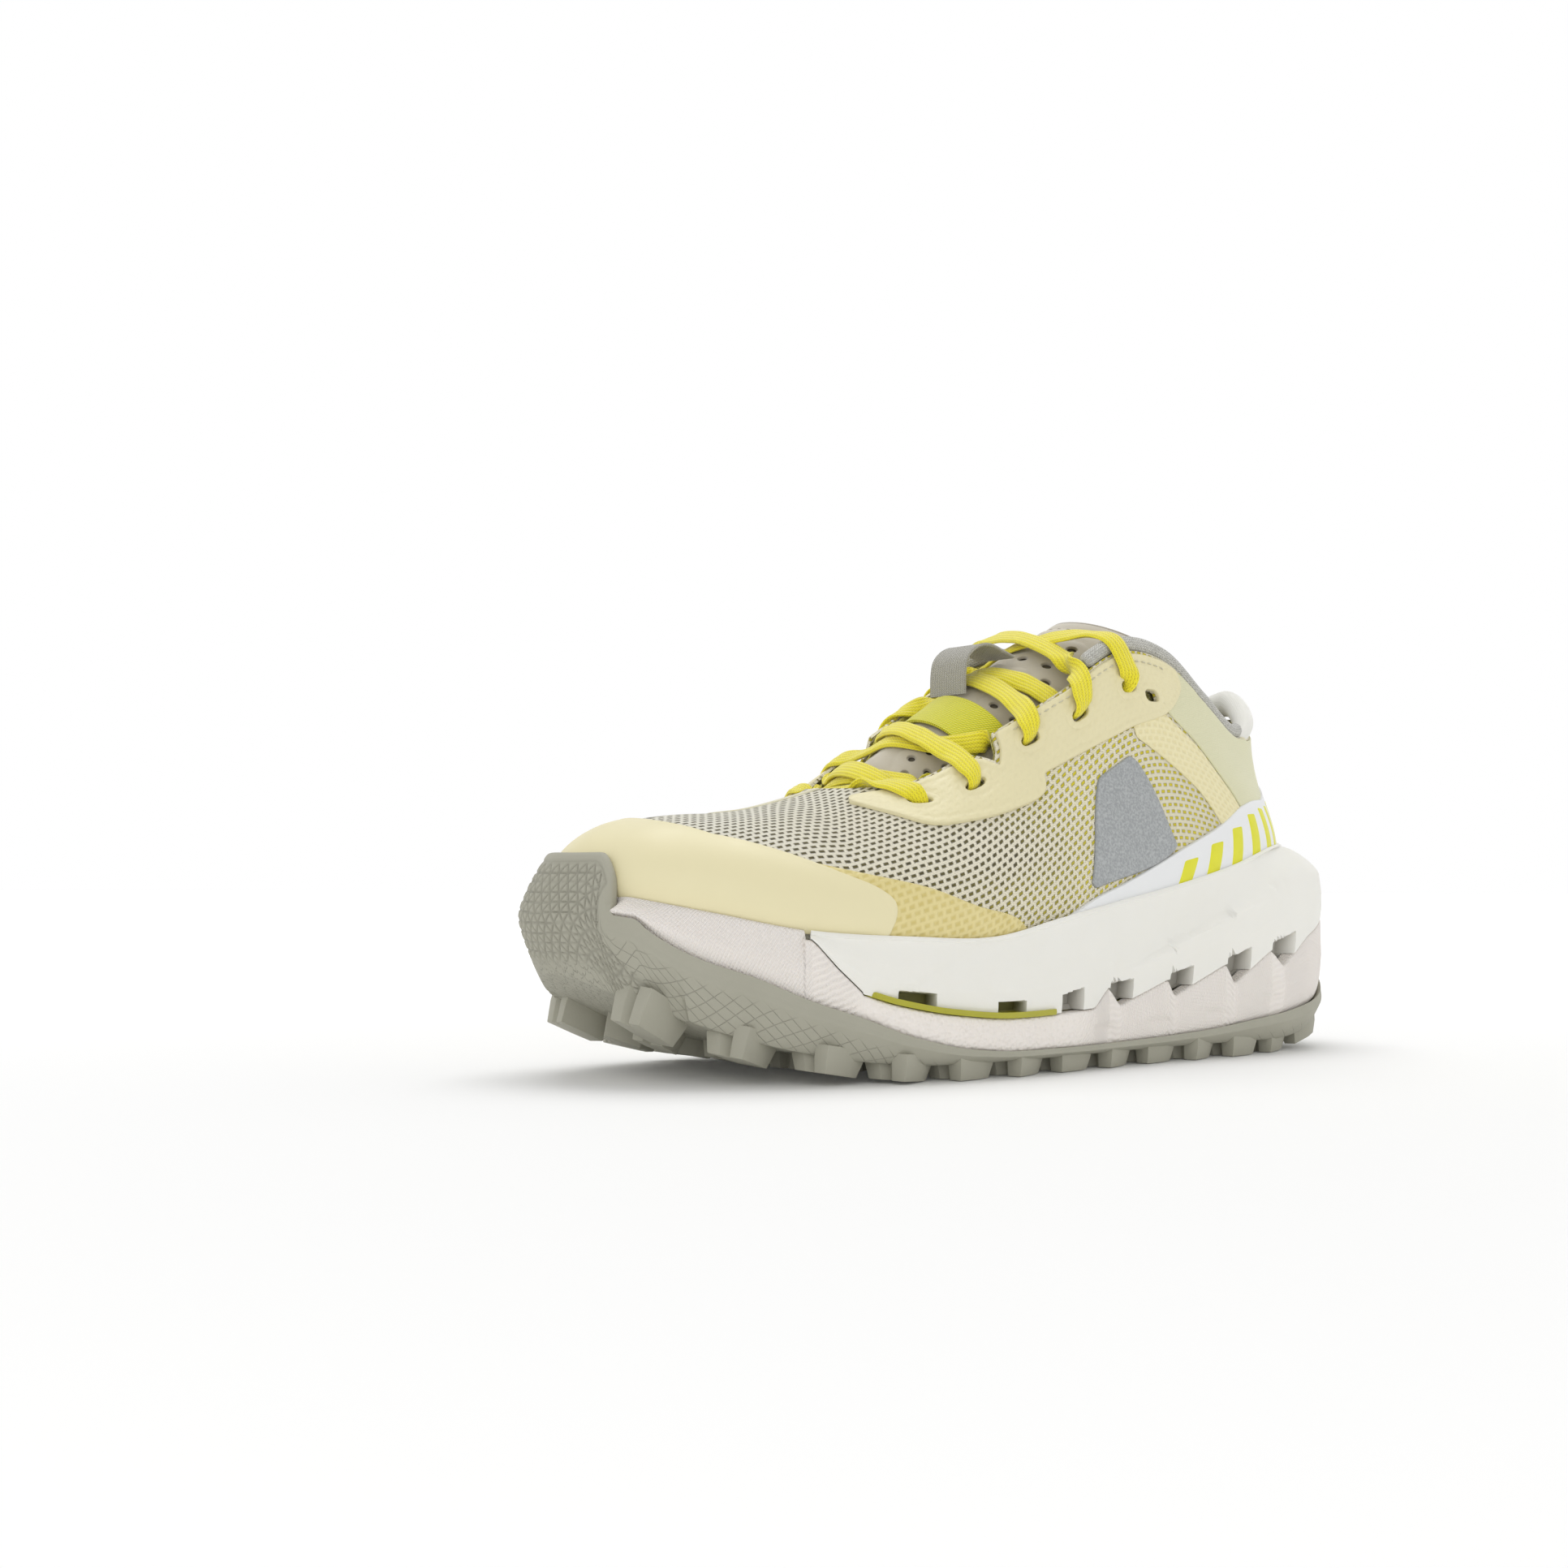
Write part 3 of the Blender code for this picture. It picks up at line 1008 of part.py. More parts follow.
top_in[has] = wall_at(D.s[has], np.full(has.sum(), 61.0), 3.4)
crest[has] = wall_at(D.s[has], np.full(has.sum(), 60.8), 5.2)
mid_in[~has] = (0.9 * lip_in + 0.1 * top_in)[~has]
under_d = np.where(D.m < 2.6, -7.0, -4.5)
under = D.out(under_d, underside_z)
out_rows = [D.inner(low_in, 0.25, plus(underside_z, OUTSOLE_T)), D.inner(low_in, 0.6, plus(underside_z, OUTSOLE_T)), low_in, foot_in, lip_in, mid_in, top_in, crest, belly,
            under, D.inner(under, 0.8, underside_z), D.inner(under, 0.55, underside_z), D.inner(under, 0.25, underside_z)]
outsole = ring_solid("outsole", out_rows, rubber)

# lugs: tapered blocks in staggered rows, level with the ground under the ball and the heel
LUG_V, LUG_F = [], []


def lug(x, y, length, width, turn):
    slope = float((underside_z(np.array(x + 2.0)) - underside_z(np.array(x - 2.0))) / 4.0)
    z0 = float(underside_z(np.array(float(x))))
    flat = abs(slope) < 0.01
    c, s_ = math.cos(turn), math.sin(turn)
    base = len(LUG_V)
    for z, k in ((1.6, 1.0), (-LUG_H, 0.76)):
        for a, b in ((-1, -1), (1, -1), (1, 1), (-1, 1)):
            u, v = a * length / 2 * k, b * width / 2 * k
            px, py = x + u * c - v * s_, y + u * s_ + v * c
            LUG_V.append((px - slope * z, py, max(0.0, z0 + z + slope * (px - x))) if not flat else (px, py, z0 + z))
    LUG_F.extend([tuple(base + k for k in f) for f in ((0, 1, 2, 3), (7, 6, 5, 4), (0, 4, 5, 1), (1, 5, 6, 2), (2, 6, 7, 3), (3, 7, 4, 0))])


half_s = np.linspace(0, HALF, 200)
lat_x, lat_y = loop_interp(OUT_C, half_s).T
med_x, med_y = loop_interp(OUT_C, FULL - half_s).T
for k in range(13):
    x = -133.2 + 20.6 * k
    yl, ym = float(np.interp(x, lat_x, lat_y)), float(np.interp(x, med_x, med_y))
    tilt = 0.35 if k % 2 else 0.15
    inset = 13.0 if 1 < k < 11 else 15.5
    lug(x, yl + inset, 13.0, 11.0, tilt)
    lug(x + 5, ym - inset, 13.0, 11.0, -tilt)
    if ym - yl > 68:
        mid = 0.5 * (yl + ym)
        lug(x + 12, mid - 9.0, 10.5, 10, 0.5)
        lug(x + 12, mid + 9.5, 10.5, 10, -0.5)
lugs = make_object("lugs", LUG_V, LUG_F, rubber, collection=GUIDES, smooth=False)
lugs.hide_render = True
lugs.display_type = "WIRE"
union = outsole.modifiers.new("lugs", "BOOLEAN")
union.operation = "UNION"
union.solver = "EXACT"
union.use_self = True
union.object = lugs
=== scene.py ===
"""Looks of the trail running shoe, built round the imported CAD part.

Lengths in the geometry sections are millimetres in the modelling frame of the sole and upper
(-X toe, -Y outer side, Z = 0 under the lugs); SHIFT and 0.001 bring them to the row frame.
"""
import math

import bpy
import bmesh
import numpy as np
from mathutils import Matrix, Vector
from mathutils.bvhtree import BVHTree
from mathutils.geometry import delaunay_2d_cdt


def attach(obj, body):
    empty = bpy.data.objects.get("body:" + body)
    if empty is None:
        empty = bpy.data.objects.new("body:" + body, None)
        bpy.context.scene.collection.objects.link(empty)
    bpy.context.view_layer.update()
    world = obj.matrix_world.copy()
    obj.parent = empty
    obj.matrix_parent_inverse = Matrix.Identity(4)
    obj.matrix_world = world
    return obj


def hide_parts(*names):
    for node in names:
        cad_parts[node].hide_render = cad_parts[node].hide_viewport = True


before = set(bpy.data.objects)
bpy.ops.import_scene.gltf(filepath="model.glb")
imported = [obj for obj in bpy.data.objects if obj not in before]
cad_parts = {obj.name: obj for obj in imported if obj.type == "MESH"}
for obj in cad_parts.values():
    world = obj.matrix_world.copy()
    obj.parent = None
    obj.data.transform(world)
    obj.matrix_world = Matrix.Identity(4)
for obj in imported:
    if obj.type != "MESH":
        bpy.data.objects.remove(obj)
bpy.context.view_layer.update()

SHIFT = np.array((7.5, -0.9, 0.0))
GAP = 0.3
HEM = -0.03
COLLAR_FOAM = 5.0
OUTSOLE_T = 2.6
LUG_H = 4.5
# ---------------------------------------------------------------- geometry (millimetres)
# Stations run round the shoe: 0 toe centre, 1..13 lateral, 14 heel centre, 15..27 medial.
HALF = 14
FULL = 2 * HALF
# lateral stations 0..14: sole outline (x, y); biteline (x, y, z); free edge of the upper (x, y, z);
# tangent leaving the biteline; tangent leaving the free edge, both into the panel
POLE = (-100.0, 10.0, 75.3)
LATERAL = [
    ((-155, 17), (-146.5, 16, 53), POLE, (0.5, 0, 14), (-30, 3, 0.0)),
    ((-152, 2), (-143, 2, 52.3), POLE, (1.2, -0.6, 14), (-29, -4, 0.0)),
    ((-143, -14), (-136, -13.0, 50), POLE, (-1.0, -2.6, 15), (-25, -15, 0.0)),
    ((-126, -29.5), (-121.5, -26.5, 46.3), POLE, (-1.0, -3.2, 17), (-17, -23, -0.5)),
    ((-102, -42.5), (-99, -38.5, 41.5), (-86, 8, 77.5), (-0.5, -3.5, 20), (-5, -27, -0.5)),
    ((-73, -51.5), (-72, -47, 39.7), (-66, 3, 83.5), (0, -3, 23), (-1, -25, -4)),
    ((-45, -54), (-44, -49.5, 39.3), (-47, -20.5, 85.8), (0, -2.0, 22), (0, -14, -8)),
    ((-16, -52.3), (-16, -47.8, 44.5), (-20, -25.5, 101.5), (0, -1.0, 20), (0, -8.5, -16)),
    ((12, -48.6), (12, -43.8, 49.3), (2, -31, 114.5), (0, 0.0, 20), (1, -4.5, -20)),
    ((40, -46), (40, -41, 54.2), (25, -31.5, 127.5), (0, 0.5, 20), (1, -3.5, -22)),
    ((68, -45), (68, -38.5, 60.3), (48, -30.2, 126.3), (0, 0.5, 18), (1, -2.5, -21)),
    ((95, -43), (91, -34, 66.5), (69, -28.3, 114.0), (-0.5, 1.5, 14), (1, -2.0, -16)),
    ((117, -36.5), (107, -24.8, 68.3), (90, -23.5, 104.3), (-0.5, 1.2, 13), (1, -1.0, -12)),
    ((133, -22), (117, -13.5, 68.5), (107.5, -14.5, 112.5), (-1.5, 1, 14), (-3, 0.8, -13)),
    ((140, -2), (121, -1, 68), (116.5, 1.5, 121), (-2.5, 0.3, 15), (-4.5, -0.5, -15)),
]
# medial stations 1..13, mirrored order (toe to heel)
MEDIAL = [
    ((-152, 29.5), (-142.5, 28.5, 52.3), POLE, (1.2, 0.6, 14), (-28, 12, 0.0)),
    ((-141, 41.5), (-133.5, 38.0, 50), POLE, (-0.5, 2.6, 15), (-23, 19, 0.0)),
    ((-122, 50), (-117.5, 45.2, 46.3), POLE, (-0.5, 3.2, 17), (-14, 24, -0.5)),
    ((-97, 55), (-94.5, 50, 41.3), (-86, 8, 77.5), (0, 3.0, 21), (-3, 28, -0.5)),
    ((-69, 55.8), (-68, 51, 39.5), (-66, 3, 83.5), (0, 2.5, 24), (-1, 26, -4)),
    ((-42, 52.5), (-41, 48, 39.5), (-50, 26, 87.0), (0, 2, 23), (0, 13, -9)),
    ((-14, 46), (-14, 41.5, 44.5), (-24, 28.5, 103.5), (0, 0.5, 21), (0, 8, -17)),
    ((13, 40.2), (13, 35.5, 49.3), (-2, 30, 116.5), (0, 0, 20), (1, 4.5, -20)),
    ((40, 37.4), (40, 32.5, 54.2), (22, 30.5, 129.0), (0, 0, 20), (1, 3.5, -22)),
    ((68, 38), (68, 32.3, 60.3), (46, 29, 127.5), (0, -0.5, 18), (1, 2.5, -21)),
    ((95, 38.5), (91, 30.5, 66.5), (68, 28, 115.0), (-0.5, -1.0, 14), (1, 2.0, -16)),
    ((117, 32.5), (107, 22.8, 68.3), (90, 24.5, 106.5), (-0.5, -1.2, 13), (1, 1.0, -12)),
    ((133, 18), (117, 11.5, 68.5), (108, 17, 115), (-1.5, -1, 14), (-3, -0.8, -13)),
]
ROWS = LATERAL + [MEDIAL[FULL - 1 - i] for i in range(HALF + 1, FULL)]
OUT = np.array([r[0] for r in ROWS], float)
BITE = np.array([r[1] for r in ROWS], float)
EDGE = np.array([r[2] for r in ROWS], float)
V0 = np.array([r[3] for r in ROWS], float)
V1 = np.array([r[4] for r in ROWS], float)
# centre line of the sole, one point per lateral station and its medial twin
SPINE_HALF = [(-120, 12), (-120, 12), (-118, 11.5), (-111, 10), (-95, 7.5), (-70, 3), (-43, 0), (-15, -3),
              (12, -4), (40, -4.2), (67, -3.6), (85, -3), (95, -2.4), (100, -1.8), (102, -1.5)]
SPINE = np.array(SPINE_HALF + SPINE_HALF[-2:0:-1], float)


def catmull(table, s):
    """Periodic Catmull-Rom through the station table."""
    s = np.asarray(s, float) % FULL
    i = np.floor(s).astype(int) % FULL
    f = (s - np.floor(s))[..., None]
    p0, p1, p2, p3 = (table[(i + k) % FULL] for k in (-1, 0, 1, 2))
    return 0.5 * (2 * p1 + (p2 - p0) * f + (2 * p0 - 5 * p1 + 4 * p2 - p3) * f ** 2 + (3 * p1 - p0 - 3 * p2 + p3) * f ** 3)


def edge_tangents():
    """Tangents of the free edge on each side of a station: it turns a corner at the throat's base."""
    mid = (np.roll(EDGE, -1, 0) - np.roll(EDGE, 1, 0)) / 2
    tin, tout = mid.copy(), mid.copy()
    for i in (0, 1, 2, 3, 25, 26, 27):
        tin[i] = tout[i] = 0
    tout[3] = (14, -2, 2.5)
    tin[25] = (-14, 2, -2.5)
    tin[5], tout[5] = (19, -6, 6.5), (2, -26, -0.5)
    tin[23], tout[23] = (1, -25, -0.5), (-19, 6, -6.5)
    tin[4] = tout[4] = (17, -2.5, 4.1)
    tin[24] = tout[24] = (-17, 2.5, -4.1)
    return tin, tout


EDGE_IN, EDGE_OUT = edge_tangents()


def free_edge(s):
    s = np.asarray(s, float) % FULL
    i = np.floor(s).astype(int) % FULL
    f = (s - np.floor(s))[..., None]
    j = (i + 1) % FULL
    h00, h10 = 2 * f ** 3 - 3 * f ** 2 + 1, f ** 3 - 2 * f ** 2 + f
    h01, h11 = -2 * f ** 3 + 3 * f ** 2, f ** 3 - f ** 2
    return h00 * EDGE[i] + h10 * EDGE_OUT[i] + h01 * EDGE[j] + h11 * EDGE_IN[j]


def upper(s, t):
    """Outer face of the upper: t 0 at the biteline, 1 at the free edge."""
    s, t = np.broadcast_arrays(np.asarray(s, float), np.asarray(t, float))
    b, e = catmull(BITE, s), free_edge(s)
    p1, p2 = b + catmull(V0, s), e + catmull(V1, s)
    t = t[..., None]
    return (1 - t) ** 3 * b + 3 * (1 - t) ** 2 * t * p1 + 3 * (1 - t) * t ** 2 * p2 + t ** 3 * e


def upper_normal(s, t):
    s, t = np.broadcast_arrays(np.asarray(s, float), np.asarray(t, float))
    pole = (np.minimum(s % FULL, FULL - s % FULL) < 3.4)
    tt = np.where(pole, np.minimum(t, 0.93), t)
    d = 1e-3
    ds = upper(s + d, tt) - upper(s - d, tt)
    dt = upper(s, np.minimum(tt + d, 1)) - upper(s, np.maximum(tt - d, 0))
    n = np.cross(ds, dt)
    return n / np.maximum(np.linalg.norm(n, axis=-1, keepdims=True), 1e-9)


def curve_tab(xs, ys, x):
    """Monotone cubic through a table."""
    xs, ys = np.array(xs, float), np.array(ys, float)
    h, d = np.diff(xs), np.diff(ys) / np.diff(xs)
    m = np.zeros(len(xs))
    m[0], m[-1] = d[0], d[-1]
    for k in range(1, len(xs) - 1):
        if d[k - 1] * d[k] > 0:
            w1, w2 = 2 * h[k] + h[k - 1], h[k] + 2 * h[k - 1]
            m[k] = (w1 + w2) / (w1 / d[k - 1] + w2 / d[k])
    x = np.clip(np.asarray(x, float), xs[0], xs[-1])
    k = np.clip(np.searchsorted(xs, x, side="right") - 1, 0, len(xs) - 2)
    f = (x - xs[k]) / h[k]
    return ((2 * f ** 3 - 3 * f ** 2 + 1) * ys[k] + (f ** 3 - 2 * f ** 2 + f) * h[k] * m[k]
            + (-2 * f ** 3 + 3 * f ** 2) * ys[k + 1] + (f ** 3 - f ** 2) * h[k] * m[k + 1])


def outline(s):
    """Point and outward normal of the sole's widest outline."""
    p = catmull(OUT, s)
    d = catmull(OUT, np.asarray(s) + 0.02) - catmull(OUT, np.asarray(s) - 0.02)
    n = np.stack([d[..., 1], -d[..., 0]], -1)
    return p, n / np.linalg.norm(n, axis=-1, keepdims=True)


def footbed_z(x):
    return curve_tab([-150, -130, -100, -50, 0, 50, 100, 140], [43.5, 39, 32.5, 29.5, 33, 38.5, 42, 43], x)


def underside_z(x):
    return curve_tab([-155, -140, -120, -100, -80, -60, 90, 110, 125, 134, 140],
                     [35, 24, 14.4, 8.8, 5.7, 4.5, 4.5, 6.5, 11, 17, 23], x)


def carrier_line_z(x):
    """Height of the edge between the outsole and the lower midsole."""
    return curve_tab([-145, -138.5, -128.5, -116, -102, -89, -72, -53, -35, -11, 17, 48, 72, 95, 118, 140],
                     [50, 41, 34, 29, 22.6, 18, 11.8, 8.0, 6.8, 6.8, 7.2, 8.4, 10.6, 13.2, 17.5, 27], x)


def plate_z(x):
    """Smooth split height between the two midsole foams."""
    return curve_tab([-150, -120, -100, -89, -78, -60, -39, -19, 10, 40, 70, 100, 130, 150],
                     [38, 31, 27, 25, 21.8, 18.6, 17, 17.4, 18.6, 20.4, 23.2, 27, 31, 33], x)


TEETH = [(-19, 17.4), (-3, 18.2), (4, 24.5), (9.5, 18.6), (33, 26), (36, 20.5), (61, 30), (65, 23.5),
         (84, 34), (91, 28.5), (106, 38), (122, 43.5), (151, 45)]


def split_z(x):
    """Height of the visible edge between the two foams: sawtooth towards the heel."""
    tx, tz = np.array(TEETH).T
    return np.where(x < -19, plate_z(x), np.interp(x, tx, tz))

# ---------------------------------------------------------------- mesh helpers
def build(name, verts, faces, mat, body="shoe", stands=(), slot=None, uv=None, uv_faces=None, attrs=None,
          smooth=35.0, weld=0.0, fix=True):
    """Mesh object from arrays: faces is a list of (n, 3) or (n, 4) index arrays, uv one point per vertex or per uv_faces index."""
    faces = [np.asarray(f, int) for f in (faces if isinstance(faces, list) else [faces]) if len(f)]
    co = (np.asarray(verts, float) + SHIFT) * 0.001
    loops = np.concatenate([f.ravel() for f in faces])
    sizes = np.concatenate([np.full(len(f), f.shape[1]) for f in faces])
    me = bpy.data.meshes.new(name)
    me.vertices.add(len(co))
    me.vertices.foreach_set("co", co.ravel())
    me.loops.add(len(loops))
    me.loops.foreach_set("vertex_index", loops.astype(np.int32))
    me.polygons.add(len(sizes))
    me.polygons.foreach_set("loop_start", np.concatenate([[0], np.cumsum(sizes)[:-1]]).astype(np.int32))
    me.update(calc_edges=True)
    if uv is not None:
        layer = me.uv_layers.new(name="UVMap")
        idx = loops if uv_faces is None else np.concatenate([np.asarray(f, int).ravel() for f in (uv_faces if isinstance(uv_faces, list) else [uv_faces])])
        layer.data.foreach_set("uv", np.asarray(uv, np.float32)[idx].ravel())
    for key, values in (attrs or {}).items():
        a = me.attributes.new(key, "FLOAT", "POINT")
        a.data.foreach_set("value", np.asarray(values, np.float32))
    me.validate()
    if fix or weld:
        bm = bmesh.new()
        bm.from_mesh(me)
        if weld:
            bmesh.ops.remove_doubles(bm, verts=bm.verts, dist=weld * 0.001)
        loose = [v for v in bm.verts if not v.link_faces]
        bmesh.ops.delete(bm, geom=loose, context="VERTS")
        bmesh.ops.recalc_face_normals(bm, faces=bm.faces)
        bm.to_mesh(me)
        bm.free()
    me.shade_smooth()
    if smooth:
        me.set_sharp_from_angle(angle=math.radians(smooth))
    me.materials.append(mat)
    ob = bpy.data.objects.new(name, me)
    bpy.context.scene.collection.objects.link(ob)
    if body:
        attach(ob, body)
        if stands:
            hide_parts(*stands)
    return ob


def lattice(rows, cols, wrap=False, base=0):
    """Quads of a rows x cols grid, and the matching indices into a uv grid with one more column when it wraps."""
    i, j = np.meshgrid(np.arange(rows - 1), np.arange(cols if wrap else cols - 1), indexing="ij")
    k = (j + 1) % cols
    f = np.stack([i * cols + j, (i + 1) * cols + j, (i + 1) * cols + k, i * cols + k], -1).reshape(-1, 4) + base
    c = cols + 1 if wrap else cols
    g = np.stack([i * c + j, (i + 1) * c + j, (i + 1) * c + j + 1, i * c + j + 1], -1).reshape(-1, 4)
    return f, g


def smoothstep(x, a=0.0, b=1.0):
    f = np.clip((np.asarray(x, float) - a) / (b - a), 0, 1)
    return f * f * (3 - 2 * f)


def unit(v):
    v = np.asarray(v, float)
    return v / np.maximum(np.linalg.norm(v, axis=-1, keepdims=True), 1e-9)


def resample(points, step, closed=False):
    """Points spaced evenly along a polyline."""
    p = np.asarray(points, float)
    if closed:
        p = np.vstack([p, p[:1]])
    run = np.concatenate([[0], np.cumsum(np.linalg.norm(np.diff(p, axis=0), axis=1))])
    n = max(2, int(round(run[-1] / step)) + 1)
    at = np.linspace(0, run[-1], n)
    q = np.stack([np.interp(at, run, p[:, k]) for k in range(p.shape[1])], 1)
    return q[:-1] if closed else q


def sweep(name, path, side, up, section, mat, uv_across=None, taper=None, **kw):
    """Closed tube: section (n, 2) of (across, up) points carried along path with side and up directions."""
    path, side, up, section = (np.asarray(a, float) for a in (path, side, up, section))
    n, m = len(path), len(section)
    scale = np.ones((n, 2)) if taper is None else np.asarray(taper, float)
    P = (path[:, None, :] + side[:, None, :] * (section[None, :, 0:1] * scale[:, None, 0:1])
         + up[:, None, :] * (section[None, :, 1:2] * scale[:, None, 1:2]))
    f, g = lattice(n, m, True)
    run = np.concatenate([[0], np.cumsum(np.linalg.norm(np.diff(path, axis=0), axis=1))])
    around = np.concatenate([[0], np.cumsum(np.linalg.norm(np.diff(np.vstack([section, section[:1]]), axis=0), axis=1))])
    uv = np.stack(np.broadcast_arrays(run[:, None], around[None, :]), -1).reshape(-1, 2)
    verts = np.vstack([P.reshape(-1, 3), path[0], path[-1]])
    k = np.arange(m)
    cap0 = np.stack([np.full(m, n * m), k, (k + 1) % m], 1)
    cap1 = np.stack([np.full(m, n * m + 1), (n - 1) * m + (k + 1) % m, (n - 1) * m + k], 1)
    uv = np.vstack([uv, [[0, 0], [run[-1], 0]]])
    c = n * (m + 1)
    ucap0 = np.stack([np.full(m, c), k, k + 1], 1)
    ucap1 = np.stack([np.full(m, c + 1), (n - 1) * (m + 1) + k + 1, (n - 1) * (m + 1) + k], 1)
    return build(name, verts, [f, cap0, cap1], mat, uv=uv, uv_faces=[g, ucap0, ucap1], **kw)


def frames(path, hint, rounds=60, pull=None):
    """Side and up directions along a path: up stays near hint where pull is high, and turns with the path elsewhere."""
    path, hint = np.asarray(path, float), unit(hint)
    tangent = unit(np.gradient(path, axis=0))
    pull = np.full(len(path), 0.35) if pull is None else np.asarray(pull, float)

    def square(u):
        return unit(u - np.sum(u * tangent, -1, keepdims=True) * tangent)

    up = square(hint)
    for _ in range(rounds):
        near = 0.5 * (np.vstack([up[:1], up[:-1]]) + np.vstack([up[1:], up[-1:]]))
        up = square(near * (1 - pull[:, None]) + hint * pull[:, None])
    return np.cross(tangent, up), up


# ---------------------------------------------------------------- outlines on a curved surface
def fair_loop(poly, scale, step=0.8, corner=48.0, rounds=2):
    """Outline drawn as smooth curves between its corners, evenly spaced, corners slightly rounded."""
    p = np.array(poly, float) * scale
    n = len(p)
    d = np.roll(p, -1, 0) - p
    length = np.linalg.norm(d, axis=1)
    t = d / length[:, None]
    turn = np.degrees(np.arccos(np.clip(np.sum(t * np.roll(t, 1, 0), 1), -1, 1)))
    out = []
    for k in range(n):
        j = (k + 1) % n
        tk = t[k] if turn[k] > corner else unit(t[k] + t[k - 1])
        tj = t[k] if turn[j] > corner else unit(t[k] + t[j])
        m = max(1, int(round(length[k] / step)))
        f = (np.arange(m) / m)[:, None]
        out.append((2 * f ** 3 - 3 * f ** 2 + 1) * p[k] + (f ** 3 - 2 * f ** 2 + f) * tk * length[k]
                   + (3 * f ** 2 - 2 * f ** 3) * p[j] + (f ** 3 - f ** 2) * tj * length[k])
    q = np.vstack(out)
    for _ in range(rounds):
        q = 0.5 * q + 0.25 * (np.roll(q, 1, 0) + np.roll(q, -1, 0))
    return q / scale


def within(pts, ring):
    """True for points inside a closed ring."""
    a, b = ring, np.roll(ring, -1, 0)
    hit = np.zeros(len(pts), bool)
    for k in range(0, len(pts), 4000):
        x, y = pts[k:k + 4000, 0:1], pts[k:k + 4000, 1:2]
        span = (a[:, 1] > y) != (b[:, 1] > y)
        with np.errstate(divide="ignore", invalid="ignore"):
            at = a[:, 0] + (b[:, 0] - a[:, 0]) * (y - a[:, 1]) / (b[:, 1] - a[:, 1])
        hit[k:k + 4000] = (np.sum(span & (x < at), 1) % 2) == 1
    return hit


def nearest(points, targets):
    """Distance from each point to the nearest target."""
    out = np.empty(len(points))
    for k in range(0, len(points), 1500):
        d = points[k:k + 1500, None, :] - targets[None, :, :]
        out[k:k + 1500] = np.sqrt(np.einsum("ijk,ijk->ij", d, d).min(1))
    return out


